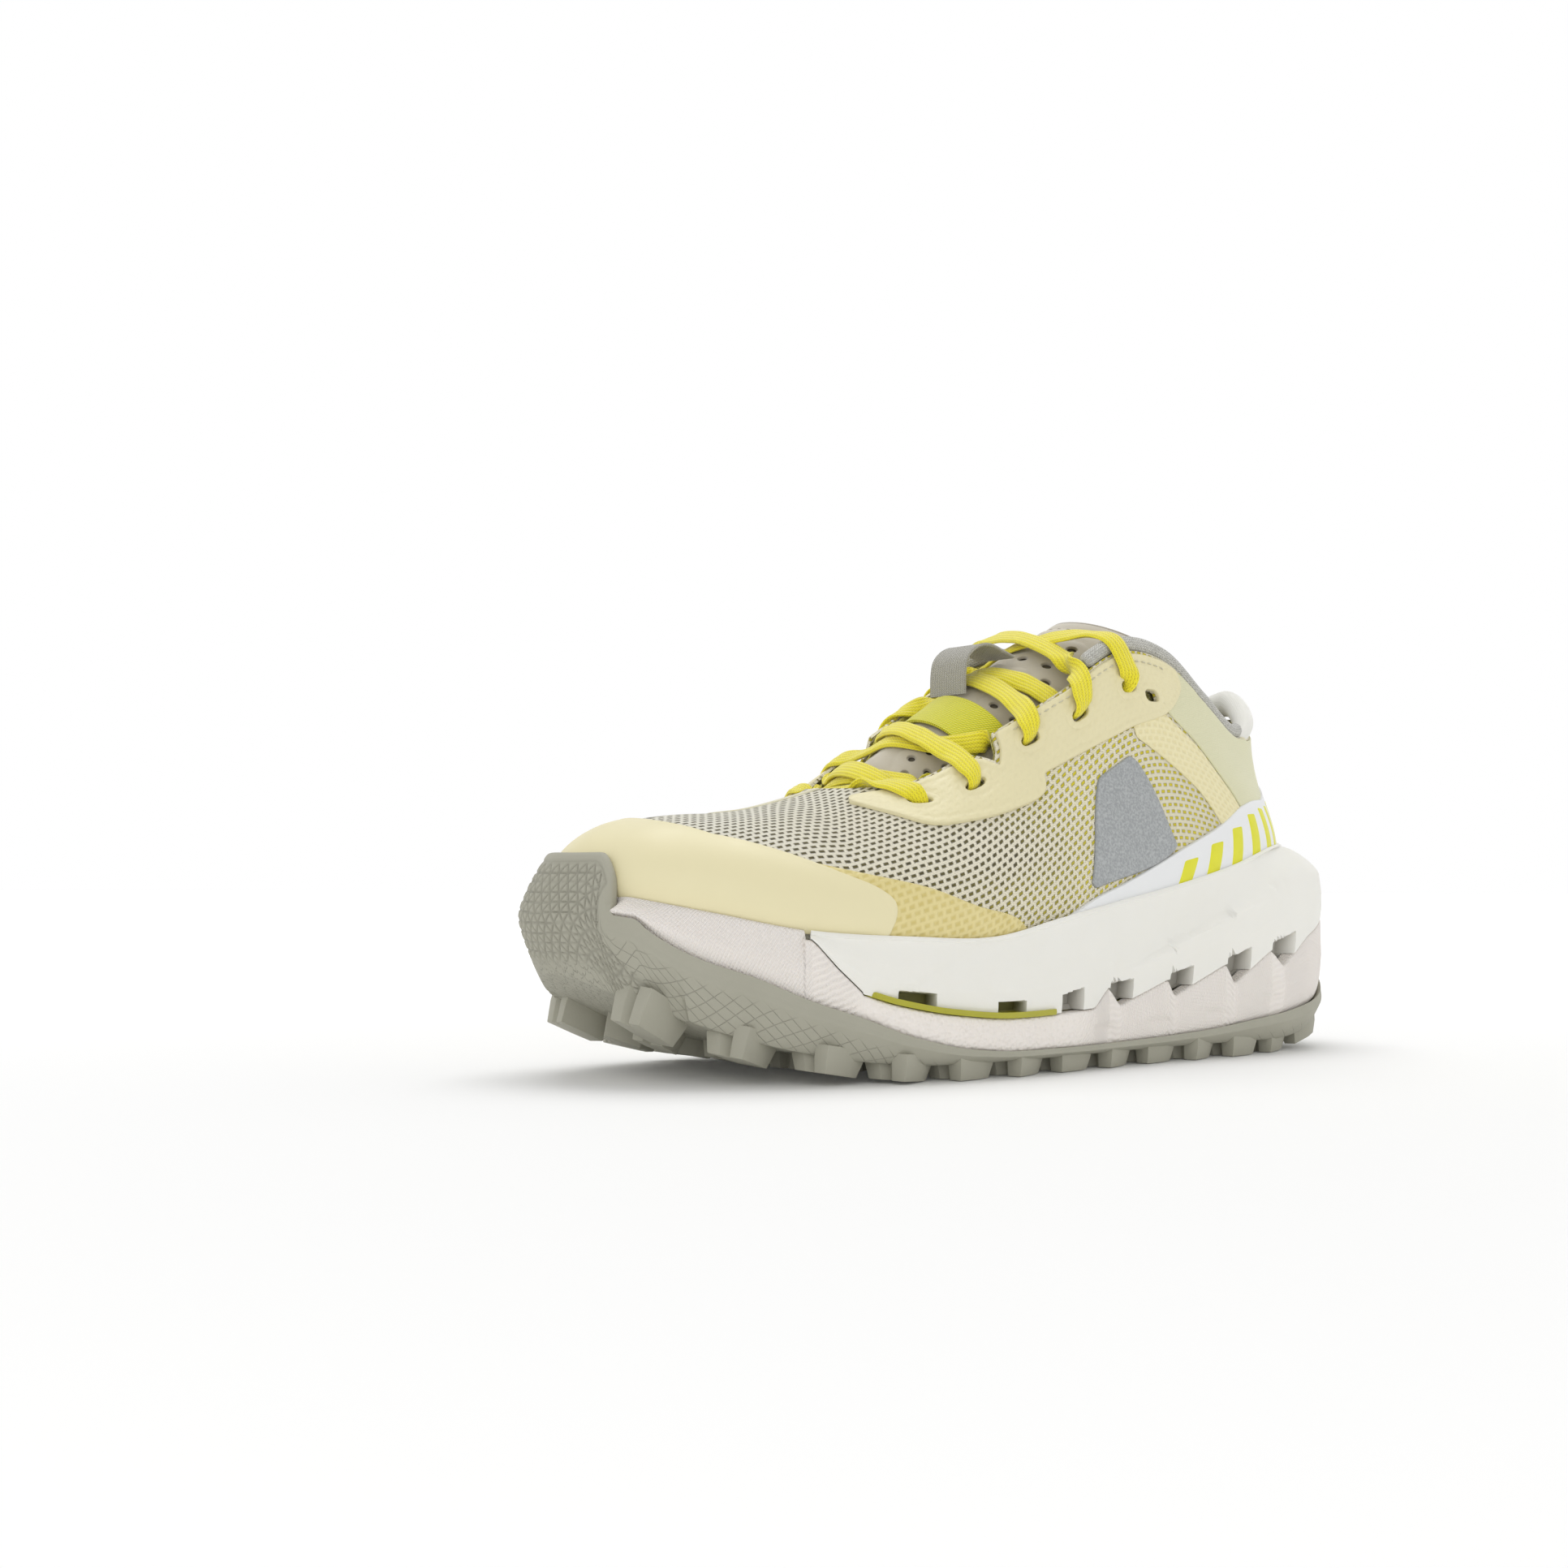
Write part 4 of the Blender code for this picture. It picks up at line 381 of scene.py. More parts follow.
def draw_panel(name, poly, mat, d_in, d_out, surface, scale, holes=(), spacing=1.8, rings=(0.3, 0.75), extra=None,
               uv=None, step=0.8, rounds=2, shoulder=0.4, attrs=None, edge=0.6, fair=True, weld=0.0, corner=48.0, **kw):
    """Closed sheet over an outline: surface(a, b) gives points and normals, and the edges are rolled over."""
    scale = np.array(scale, float)
    loops = [fair_loop(poly, scale, step, corner, rounds) if fair else np.array(poly, float)]
    loops += [np.array(h, float) for h in holes]
    bound = np.vstack([surface(r[:, 0], r[:, 1])[0] for r in loops])
    pts, near_ring = [], []
    for n, r in enumerate(loops):
        tangent = (np.roll(r, -1, 0) - np.roll(r, 1, 0)) * scale
        area = 0.5 * np.sum(r[:, 0] * np.roll(r[:, 1], -1) - np.roll(r[:, 0], -1) * r[:, 1])
        inward = unit(np.stack([-tangent[:, 1], tangent[:, 0]], 1)) * (1 if (area > 0) == (n == 0) else -1)
        base = surface(r[:, 0], r[:, 1])[0]
        for w in rings:
            q = r + inward * w / scale
            moved = np.linalg.norm(surface(q[:, 0], q[:, 1])[0] - base, axis=1)
            q = r + inward * (w * w / np.maximum(moved, 0.25 * w))[:, None] / scale
            d = nearest(surface(q[:, 0], q[:, 1])[0], bound)
            q = q[(d > 0.8 * w) & within(q, loops[0])]
            near_ring.append(q)
    lo, hi = loops[0].min(0), loops[0].max(0)
    a = np.arange(lo[0], hi[0], spacing / scale[0])
    b = np.arange(lo[1], hi[1], spacing * 0.87 / scale[1])
    A, B = np.meshgrid(a, b)
    A = A + (np.arange(len(b)) % 2)[:, None] * 0.5 * spacing / scale[0]
    q = np.stack([A.ravel(), B.ravel()], 1)
    q = q[within(q, loops[0])]
    for h in loops[1:]:
        q = q[~within(q, h)]
    d = nearest(surface(q[:, 0], q[:, 1])[0], bound)
    q = q[d > (rings[-1] if rings else 0) + 0.45 * spacing]
    cloud, edges = [], []
    for r in loops:
        base = len(cloud)
        cloud += [Vector(v) for v in r * scale]
        edges += [(base + k, base + (k + 1) % len(r)) for k in range(len(r))]
    for r in near_ring + [q]:
        cloud += [Vector(v) for v in r * scale]
    verts, _, faces, *_ = delaunay_2d_cdt(cloud, edges, [], 0, 1e-6)
    v = np.array([tuple(x) for x in verts]) / scale
    f = np.array([tuple(x) for x in faces if len(x) == 3], int)
    c = v[f].mean(1)
    keep = within(c, loops[0])
    for h in loops[1:]:
        keep &= ~within(c, h)
    f = f[keep]
    used = np.unique(f)
    remap = np.full(len(v), -1)
    remap[used] = np.arange(len(used))
    f, v = remap[f], v[used]
    P, N = surface(v[:, 0], v[:, 1])
    dist = nearest(P, bound)
    roll = shoulder + (1 - shoulder) * np.sqrt(1 - (1 - np.clip(dist / edge, 0, 1)) ** 2)
    depth_in = d_in(v[:, 0], v[:, 1]) if callable(d_in) else np.full(len(v), float(d_in))
    depth_out = d_out(v[:, 0], v[:, 1]) if callable(d_out) else np.full(len(v), float(d_out))
    depth = depth_in + (depth_out - depth_in) * roll
    if extra is not None:
        depth = depth + extra(v[:, 0], v[:, 1], dist)
    count = len(v)
    top, low = P + N * depth[:, None], P + N * depth_in[:, None]
    he = set(map(tuple, np.concatenate([f[:, [0, 1]], f[:, [1, 2]], f[:, [2, 0]]])))
    rim = np.array([(b2, a2, a2 + count, b2 + count) for a2, b2 in he if (b2, a2) not in he])
    rim = rim[np.lexsort((rim[:, 1], rim[:, 0]))]
    uvs = uv(v[:, 0], v[:, 1]) if uv is not None else v * scale
    values = {"edge": np.concatenate([dist, dist])}
    for key, fn in (attrs or {}).items():
        w = fn(v[:, 0], v[:, 1])
        values[key] = np.concatenate([w, w])
    return build(name, np.vstack([top, low]), [f, f[:, ::-1] + count, rim], mat, uv=np.vstack([uvs, uvs]), attrs=values, weld=weld, **kw)

# ---------------------------------------------------------------- materials
def srgb(r, g, b):
    """Linear colour from an 8-bit sRGB triple."""
    out = []
    for c in (r, g, b):
        c = c / 255
        out.append(c / 12.92 if c <= 0.04045 else ((c + 0.055) / 1.055) ** 2.4)
    return tuple(out)


class Shade:
    """A Principled material with small helpers for wiring its nodes."""

    def __init__(self, name, color, rough, metallic=0.0, sheen=0.0, coat=0.0, ior=1.5, specular=0.5, subsurface=0.0):
        self.mat = bpy.data.materials.new(name)
        self.mat.use_nodes = True
        self.tree = self.mat.node_tree
        self.bsdf = self.tree.nodes["Principled BSDF"]
        b = self.bsdf.inputs
        b["Base Color"].default_value = (*color, 1)
        b["Roughness"].default_value = rough
        b["Metallic"].default_value = metallic
        b["IOR"].default_value = ior
        b["Specular IOR Level"].default_value = specular
        if sheen:
            b["Sheen Weight"].default_value = sheen
            b["Sheen Roughness"].default_value = 0.5
        if coat:
            b["Coat Weight"].default_value = coat
            b["Coat Roughness"].default_value = 0.25
        if subsurface:
            b["Subsurface Weight"].default_value = subsurface
            b["Subsurface Scale"].default_value = 0.004
            b["Subsurface Radius"].default_value = (1.0, 0.9, 0.75)
        uvn = self.tree.nodes.new("ShaderNodeUVMap")
        uvn.uv_map = "UVMap"
        sep = self.tree.nodes.new("ShaderNodeSeparateXYZ")
        self.tree.links.new(uvn.outputs["UV"], sep.inputs[0])
        self.uv, self.u, self.v = uvn.outputs["UV"], sep.outputs["X"], sep.outputs["Y"]
        tc = self.tree.nodes.new("ShaderNodeTexCoord")
        self.obj = tc.outputs["Object"]
        self.mat.diffuse_color = (*color, 1)

    def put(self, socket, value):
        if isinstance(value, bpy.types.NodeSocket):
            self.tree.links.new(value, socket)
        elif isinstance(value, (tuple, list)):
            socket.default_value = (*value, 1) if len(value) == 3 and len(socket.default_value) == 4 else value
        else:
            socket.default_value = value

    def math(self, op, a, b=0.0, c=None):
        n = self.tree.nodes.new("ShaderNodeMath")
        n.operation = op
        self.put(n.inputs[0], a)
        self.put(n.inputs[1], b)
        if c is not None:
            self.put(n.inputs[2], c)
        return n.outputs[0]

    def add(self, a, b): return self.math("ADD", a, b)
    def sub(self, a, b): return self.math("SUBTRACT", a, b)
    def mul(self, a, b): return self.math("MULTIPLY", a, b)
    def fract(self, a): return self.math("FRACT", a)
    def floor(self, a): return self.math("FLOOR", a)
    def abs(self, a): return self.math("ABSOLUTE", a)

    def wave(self, a, pitch, phase=0.0):
        """0..1 sine of a length."""
        return self.math("MULTIPLY_ADD", self.math("SINE", self.math("MULTIPLY_ADD", a, 2 * math.pi / pitch, phase)), 0.5, 0.5)

    def step(self, a, lo, hi, v0=0.0, v1=1.0):
        n = self.tree.nodes.new("ShaderNodeMapRange")
        n.interpolation_type = "SMOOTHSTEP"
        self.put(n.inputs["Value"], a)
        n.inputs["From Min"].default_value, n.inputs["From Max"].default_value = lo, hi
        n.inputs["To Min"].default_value, n.inputs["To Max"].default_value = v0, v1
        return n.outputs["Result"]

    def attr(self, name):
        n = self.tree.nodes.new("ShaderNodeAttribute")
        n.attribute_name = name
        return n.outputs["Fac"]

    def noise(self, scale, detail=3.0, rough=0.55, vector=None):
        """Noise over the object, scale in features per millimetre when fed the uv map, or per metre for the object's place."""
        n = self.tree.nodes.new("ShaderNodeTexNoise")
        self.put(n.inputs["Vector"], self.obj if vector is None else vector)
        n.inputs["Scale"].default_value = scale
        n.inputs["Detail"].default_value = detail
        n.inputs["Roughness"].default_value = rough
        return n.outputs["Fac"]

    def cells(self, scale, vector=None, feature="F1", out="Distance"):
        n = self.tree.nodes.new("ShaderNodeTexVoronoi")
        n.feature = feature
        self.put(n.inputs["Vector"], self.obj if vector is None else vector)
        n.inputs["Scale"].default_value = scale
        return n.outputs[out]

    def mix(self, f, a, b):
        n = self.tree.nodes.new("ShaderNodeMix")
        n.data_type = "RGBA"
        self.put(n.inputs[0], f)
        self.put(n.inputs[6], a)
        self.put(n.inputs[7], b)
        return n.outputs[2]

    def color(self, value):
        self.put(self.bsdf.inputs["Base Color"], value)
        return self

    def rough(self, value):
        self.put(self.bsdf.inputs["Roughness"], value)
        return self

    def bump(self, height, distance, strength=1.0):
        n = self.tree.nodes.new("ShaderNodeBump")
        n.inputs["Strength"].default_value = strength
        n.inputs["Distance"].default_value = distance * 0.001
        self.put(n.inputs["Height"], height)
        last = self.bsdf.inputs["Normal"]
        if last.is_linked:
            self.tree.links.new(last.links[0].from_socket, n.inputs["Normal"])
        self.tree.links.new(n.outputs["Normal"], last)
        return self

    def grid_hole(self, pu, pv, hu, hv, soft=0.16, u=None, v=None, wobble=0.0):
        """1 inside the holes of a staggered grid: pitch pu x pv and half sizes hu x hv in millimetres. Also the cell's own shares."""
        u, v = (self.u if u is None else u), (self.v if v is None else v)
        row = self.math("DIVIDE", v, pv)
        col = self.add(self.math("DIVIDE", u, pu), self.mul(self.floor(row), 0.5))
        cu, cv = self.sub(self.fract(col), 0.5), self.sub(self.fract(row), 0.5)
        du, dv = self.sub(self.mul(self.abs(cu), pu), hu), self.sub(self.mul(self.abs(cv), pv), hv)
        d = self.math("SMOOTH_MAX", du, dv, 0.35)
        return self.step(d, -soft, soft, 1.0, 0.0), cu, cv, self.floor(col), self.floor(row)


def woven_mesh(name, light, under_in_shade, under_bright):
    """Open engineered mesh: twisted floats with staggered holes over an underlay."""
    m = Shade(name, light, 0.82, sheen=0.25)
    wob = m.noise(260.0, 2.0)
    v = m.add(m.v, m.mul(m.sub(wob, 0.5), 0.35))
    hole, cu, cv, col, row = m.grid_hole(2.7, 2.1, 0.80, 0.47, 0.2, v=v)
    twist = m.wave(m.add(m.mul(m.u, 1.0), m.mul(v, 1.6)), 0.95)
    fibre = m.noise(2400.0, 2.0)
    zone = m.attr("zone")
    # hole colour: the bright underlay towards the quarter; over the vamp a dark olive, painted shade of the lining deep
    # in the holes
    under = m.mix(zone, under_in_shade, under_bright)
    white = m.attr("pale")
    yarn = m.mix(white, light, srgb(240, 238, 226))
    yarn = m.mix(m.mul(twist, 0.24), yarn, srgb(206, 196, 160))
    yarn = m.mix(m.mul(fibre, 0.22), yarn, srgb(222, 214, 188))
    cross = m.step(m.abs(cv), 0.30, 0.5, 0.0, 1.0)
    yarn = m.mix(m.mul(cross, m.mul(zone, 0.25)), yarn, srgb(222, 214, 120))
    # random patches of painted shade darken the holes further, less where the bright underlay shows
    shade = m.step(m.noise(420.0, 1.0), 0.42, 0.75, 0.0, 0.7)
    under = m.mix(m.mul(shade, m.sub(1.0, m.mul(zone, 0.5))), under, srgb(58, 52, 30))
    m.color(m.mix(hole, yarn, under))
    body = m.sub(1.0, hole)
    ridge = m.add(m.mul(body, 0.8), m.add(m.mul(m.mul(twist, body), 0.28), m.mul(cross, 0.12)))
    m.bump(ridge, 0.55, 0.95)
    m.rough(m.step(hole, 0.0, 1.0, 0.78, 0.95))
    return m.mat


def smooth_tpu(name, color, pattern=0.0, rough=0.5):
    """Fused film: soft, nearly matte, with a faint print of the mesh below."""
    m = Shade(name, color, rough, coat=0.08)
    n1, n2 = m.noise(70.0, 3.0), m.noise(3200.0, 3.0)
    base = m.mix(m.mul(n1, 0.35), color, tuple(c * 0.93 for c in color))
    if pattern:
        hole, *_ = m.grid_hole(2.9, 2.15, 0.7, 0.45, 0.45)
        base = m.mix(m.mul(hole, 0.10 * pattern), base, tuple(c * 0.86 for c in color))
        m.bump(m.sub(1.0, hole), 0.16 * pattern, 0.6)
    rim = m.step(m.attr("edge"), 0.0, 0.9, 0.75, 0.0)
    base = m.mix(m.mul(rim, 0.5), base, tuple(c * 0.84 for c in color))
    m.color(base)
    m.rough(m.step(n1, 0.3, 0.7, rough - 0.05, rough + 0.07))
    m.bump(n2, 0.05, 0.5)
    return m.mat


def amber_film(name, deep, pale, rough=0.36):
    """Clear tinted film over the mesh: the weave shows through as paler cells."""
    m = Shade(name, deep, rough, coat=0.25)
    hole, cu, cv, *_ = m.grid_hole(2.9, 2.15, 0.8, 0.5, 0.42)
    blob = m.noise(120.0, 2.0)
    base = m.mix(m.step(blob, 0.3, 0.7, 0.0, 0.5), deep, tuple(0.5 * (a + b) for a, b in zip(deep, pale)))
    base = m.mix(m.mul(m.sub(1.0, hole), 0.55), base, pale)
    rim = m.step(m.attr("edge"), 0.0, 1.0, 0.8, 0.0)
    m.color(m.mix(m.mul(rim, 0.45), base, tuple(c * 0.88 for c in pale)))
    m.bump(m.sub(1.0, hole), 0.28, 0.75)
    m.bump(m.noise(2600.0, 2.0), 0.03, 0.5)
    m.rough(m.step(hole, 0.0, 1.0, rough, rough + 0.14))
    return m.mat


def fine_weave(name, color, dark, pitch=0.8, rough=0.75, sheen=0.3, depth=0.14, holes=0.5):
    m = Shade(name, color, rough, sheen=sheen)
    hole, cu, cv, *_ = m.grid_hole(pitch, pitch * 0.8, pitch * 0.17, pitch * 0.13, pitch * 0.12)
    fuzz = m.noise(1800.0, 3.0)
    big = m.noise(60.0, 2.0)
    base = m.mix(m.mul(hole, holes), color, dark)
    base = m.mix(m.mul(fuzz, 0.25), base, tuple(min(1, c * 1.12) for c in color))
    m.color(m.mix(m.mul(big, 0.3), base, tuple(c * 0.92 for c in color)))
    m.bump(m.add(m.sub(1.0, hole), m.mul(fuzz, 0.3)), depth, 0.9)
    return m.mat


def knit(name, color, dark, pitch_u=1.1, pitch_v=0.9, depth=0.3, speckle=0.5):
    """Ribbed knit: v-shaped stitches in rows."""
    m = Shade(name, color, 0.88, sheen=0.45)
    zig = m.mul(m.abs(m.sub(m.fract(m.math("DIVIDE", m.u, pitch_u)), 0.5)), pitch_v * 1.1)
    rib = m.wave(m.add(m.v, zig), pitch_v)
    wale = m.wave(m.u, pitch_u, 0.7)
    h = m.mul(m.math("POWER", rib, 0.7), m.add(0.55, m.mul(wale, 0.45)))
    spot = m.step(m.noise(900.0, 1.0), 0.45, 0.66)
    base = m.mix(m.mul(m.sub(1.0, h), 0.7), color, dark)
    m.color(m.mix(m.mul(spot, speckle), base, dark))
    m.bump(m.add(h, m.mul(m.noise(2200.0, 2.0), 0.2)), depth, 0.9)
    return m.mat


def braid(name, color, deep, pale):
    """Flat lace: fine diagonal braid between lengthwise ribs."""
    m = Shade(name, color, 0.62, sheen=0.35)
    a = m.wave(m.add(m.u, m.mul(m.v, 0.9)), 0.95)
    b = m.wave(m.sub(m.u, m.mul(m.v, 0.9)), 0.95)
    rib = m.wave(m.v, 1.28)
    h = m.add(m.mul(m.math("MAXIMUM", a, b), 0.5), m.mul(rib, 0.5))
    base = m.mix(m.step(h, 0.15, 0.85), deep, color)
    m.color(m.mix(m.mul(m.noise(1500.0, 2.0), 0.35), base, pale))
    m.bump(h, 0.28, 0.9)
    return m.mat


def foam(name, color, rough=0.62, pebble=0.0, ribs=False, tint=None, sub=0.12, shade_pockets=False):
    m = Shade(name, color, rough, specular=0.4, subsurface=sub)
    soft = m.noise(55.0, 3.0)
    base = m.mix(m.mul(soft, 0.5), color, tint or tuple(c * 0.955 for c in color))
    dirt = m.step(m.noise(23.0, 4.0), 0.62, 0.8)
    base = m.mix(m.mul(dirt, 0.10), base, tuple(c * 0.86 for c in color))
    if shade_pockets:
        # painted shade inside the notches: grey, and olive-tinted in the two forefoot ones
        base = m.mix(m.mul(m.attr("pocket_shade"), 0.75), base, srgb(150, 146, 136))
        base = m.mix(m.mul(m.attr("olive_pocket_shade"), 0.85), base, srgb(122, 118, 36))
    m.color(base)
    if pebble:
        p = m.cells(900.0, feature="SMOOTH_F1")
        m.bump(m.mul(p, m.attr("pebble")), pebble, 0.9)
    if ribs:
        diag = m.wave(m.add(m.u, m.mul(m.v, 0.62)), 1.15)
        cross = m.wave(m.sub(m.u, m.mul(m.v, 1.4)), 1.6)
        m.bump(m.mul(m.mul(diag, m.add(0.6, m.mul(cross, 0.4))), m.attr("ribs")), 0.30, 0.95)
    m.bump(m.noise(1700.0, 2.0), 0.05, 0.6)
    return m.mat


def rubber(name, color):
    m = Shade(name, color, 0.66, specular=0.45)
    soft, fine = m.noise(70.0, 3.0), m.noise(1500.0, 3.0)
    base = m.mix(m.mul(soft, 0.6), color, tuple(c * 0.88 for c in color))
    # grooves crossing at sixty degrees over the underside, darkened with painted shade
    g = None
    for k, (a, b) in enumerate(((0.6, 0.8), (-0.6, 0.8))):
        w = m.add(m.mul(m.u, a), m.mul(m.v, b))
        line = m.step(m.abs(m.sub(m.fract(m.math("DIVIDE", w, 3.4)), 0.5)), 0.0, 0.05, 1.0, 0.0)
        g = line if g is None else m.math("MAXIMUM", g, line)
    g = m.mul(g, m.attr("groove"))
    # painted shade in the grooves
    base = m.mix(m.mul(g, 0.30), base, tuple(c * 0.62 for c in color))
    # painted shade in the bumper's moulded grooves and along its rim line
    base = m.mix(m.mul(m.attr("cut"), 0.55), base, tuple(c * 0.55 for c in color))
    m.color(m.mix(m.mul(m.step(m.noise(30.0, 5.0), 0.6, 0.8), 0.2), base, tuple(min(1.0, c * 1.25) for c in color)))
    m.bump(m.sub(1.0, g), 0.16, 0.9)
    m.bump(fine, 0.07, 0.7)
    m.rough(m.step(soft, 0.3, 0.7, 0.6, 0.74))
    return m.mat


CREAM = srgb(226, 219, 196)
M = {
    # mesh: its second colour is painted shade in the vamp's holes
    "mesh": woven_mesh("mesh_weave", srgb(234, 228, 208), srgb(88, 80, 38), srgb(204, 190, 28)),
    "cap": smooth_tpu("toe_cap_film", srgb(230, 221, 180)),
    "stay": smooth_tpu("eyestay_film", srgb(227, 218, 176), 1.0),
    "amber": amber_film("mudguard_amber", srgb(205, 187, 110), srgb(233, 220, 162)),
    "strap": amber_film("strap_amber", srgb(226, 214, 162), srgb(235, 227, 184), 0.42),
    "heel": fine_weave("heel_weave", srgb(216, 214, 176), srgb(176, 174, 128), 0.75, 0.68),
    "lining": knit("lining_knit", srgb(206, 198, 96), srgb(150, 142, 48), 1.4, 1.2, 0.25, 0.15),
    "binding": knit("binding_knit", srgb(216, 215, 207), srgb(156, 154, 144), 1.0, 0.9, 0.35, 0.45),
    "pillow": fine_weave("pillow_weave", srgb(229, 228, 220), srgb(182, 180, 170), 0.9, 0.85, 0.5, 0.12, 0.3),
    "tongue_lining": knit("tongue_lining_knit", srgb(188, 183, 166), srgb(140, 134, 116), 1.3, 1.1, 0.25, 0.2),
    "label": knit("label_webbing", srgb(176, 173, 160), srgb(132, 129, 118), 0.7, 1.1, 0.25, 0.1),
    "lace": braid("lace_braid", srgb(240, 227, 10), srgb(202, 184, 0), srgb(248, 240, 60)),
    "white": foam("white_foam_moulded", srgb(237, 236, 230), 0.6, tint=srgb(229, 227, 217), shade_pockets=True),
    "carrier": foam("carrier_foam_moulded", srgb(239, 233, 227), 0.66, pebble=0.5, ribs=True, tint=srgb(233, 226, 218)),
    "pad": foam("pad_foam_open", srgb(236, 230, 205), 0.9, sub=0.0),
    # tongue pad coloured dark as painted shade seen through the tongue's perforations
    "pad_painted_shade": foam("tongue_pad_painted_shade", srgb(98, 92, 78), 0.9, sub=0.0),
    "rubber": rubber("outsole_rubber_moulded", srgb(168, 166, 151)),
}


def elastic_material():
    """Elastic webbing: fine twill ribs across a lime knit."""
    m = Shade("elastic_rib", srgb(214, 216, 12), 0.75, sheen=0.3)
    rib = m.wave(m.add(m.u, m.mul(m.v, 0.5)), 0.85)
    row = m.wave(m.v, 0.8)
    h = m.mul(m.add(0.4, m.mul(rib, 0.6)), m.add(0.6, m.mul(row, 0.4)))
    base = m.mix(m.step(h, 0.2, 0.9), srgb(172, 170, 0), srgb(228, 224, 16))
    m.color(m.mix(m.mul(m.noise(1400.0, 2.0), 0.3), base, srgb(238, 234, 60)))
    m.bump(h, 0.3, 0.9)
    return m.mat


def microfibre_material():
    """Brushed microfibre: soft nap with cloudy shading."""
    m = Shade("tongue_nap", srgb(182, 173, 154), 0.9, sheen=0.6)
    nap, cloud = m.noise(2600.0, 4.0), m.noise(90.0, 3.0)
    base = m.mix(m.mul(cloud, 0.6), srgb(186, 178, 160), srgb(168, 159, 140))
    base = m.mix(m.mul(nap, 0.35), base, srgb(205, 198, 182))
    rim = m.step(m.attr("edge"), 0.0, 0.7, 0.7, 0.0)
    m.color(m.mix(rim, base, srgb(140, 132, 116)))
    m.bump(m.add(nap, m.mul(cloud, 0.5)), 0.09, 0.8)
    return m.mat


def reflective_material():
    """Reflective transfer: grey glass-bead film with a fine grain."""
    m = Shade("patch_reflective", srgb(163, 166, 166), 0.42, metallic=0.35)
    grain = m.noise(1300.0, 3.0)
    hole, *_ = m.grid_hole(2.9, 2.15, 0.7, 0.45, 0.5)
    base = m.mix(m.step(grain, 0.35, 0.7), srgb(150, 153, 154), srgb(178, 181, 181))
    rim = m.step(m.attr("edge"), 0.0, 0.6, 0.5, 0.0)
    m.color(m.mix(rim, base, srgb(138, 141, 141)))
    m.rough(m.step(grain, 0.3, 0.7, 0.36, 0.52))
    m.bump(m.sub(1.0, hole), 0.14, 0.5)
    m.bump(grain, 0.04, 0.6)
    return m.mat


def foxing_material():
    """Printed film: pale ground with a fine cloth grain."""
    m = Shade("foxing_print", srgb(230, 231, 232), 0.45, coat=0.1)
    base = m.mix(m.mul(m.noise(50.0, 3.0), 0.5), srgb(233, 234, 234), srgb(222, 224, 226))
    rim = m.step(m.attr("edge"), 0.0, 0.7, 0.5, 0.0)
    m.color(m.mix(rim, base, srgb(206, 206, 202)))
    m.bump(m.noise(1900.0, 3.0), 0.05, 0.6)
    return m.mat


def ink_material():
    m = Shade("foxing_ink", srgb(224, 222, 34), 0.45)
    m.color(m.mix(m.mul(m.noise(300.0, 3.0), 0.5), srgb(226, 224, 36), srgb(208, 206, 24)))
    m.bump(m.noise(1500.0, 2.0), 0.04, 0.6)
    return m.mat


def plate_material():
    m = Shade("plate_gloss", srgb(172, 168, 24), 0.28, coat=0.3)
    m.color(m.mix(m.mul(m.noise(90.0, 2.0), 0.6), srgb(176, 172, 26), srgb(150, 146, 20)))
    m.bump(m.noise(800.0, 2.0), 0.03, 0.5)
    return m.mat


def thread_material(name, color):
    m = Shade(name, color, 0.6, sheen=0.3)
    twist = m.wave(m.add(m.u, m.v), 0.5)
    m.color(m.mix(m.mul(twist, 0.5), color, tuple(c * 0.75 for c in color)))
    m.bump(twist, 0.06, 0.8)
    return m.mat


def aglet_material():
    m = Shade("aglet_gloss", srgb(228, 214, 40), 0.22, coat=0.5)
    m.color(m.mix(m.mul(m.noise(400.0, 2.0), 0.5), srgb(230, 216, 44), srgb(200, 186, 20)))
    m.bump(m.noise(900.0, 2.0), 0.02, 0.4)
    return m.mat


def board_material(name, color):
    m = Shade(name, color, 0.9, sheen=0.2)
    felt = m.noise(1200.0, 4.0)
    m.color(m.mix(m.mul(felt, 0.6), color, tuple(c * 0.85 for c in color)))
    m.bump(felt, 0.12, 0.8)
    return m.mat


M.update(elastic=elastic_material(), tongue=microfibre_material(), patch=reflective_material(), foxing=foxing_material(), ink=ink_material(),
         plate=plate_material(), thread=thread_material("seam_thread", srgb(170, 162, 142)), thread_light=thread_material("seam_thread_light", srgb(226, 220, 190)),
         aglet=aglet_material(), board=board_material("strobel_felt", srgb(222, 222, 216)), counter=board_material("counter_felt", srgb(228, 227, 222)),
         sock=knit("sockliner_knit", srgb(198, 194, 120), srgb(140, 136, 70), 1.2, 1.0, 0.2, 0.15))

# ---------------------------------------------------------------- the lasted upper as a smooth surface
def twin(poly):
    return [(FULL - s, t) for s, t in poly][::-1]


def mirror_s(poly):
    return [(-s, t) for s, t in poly][::-1]


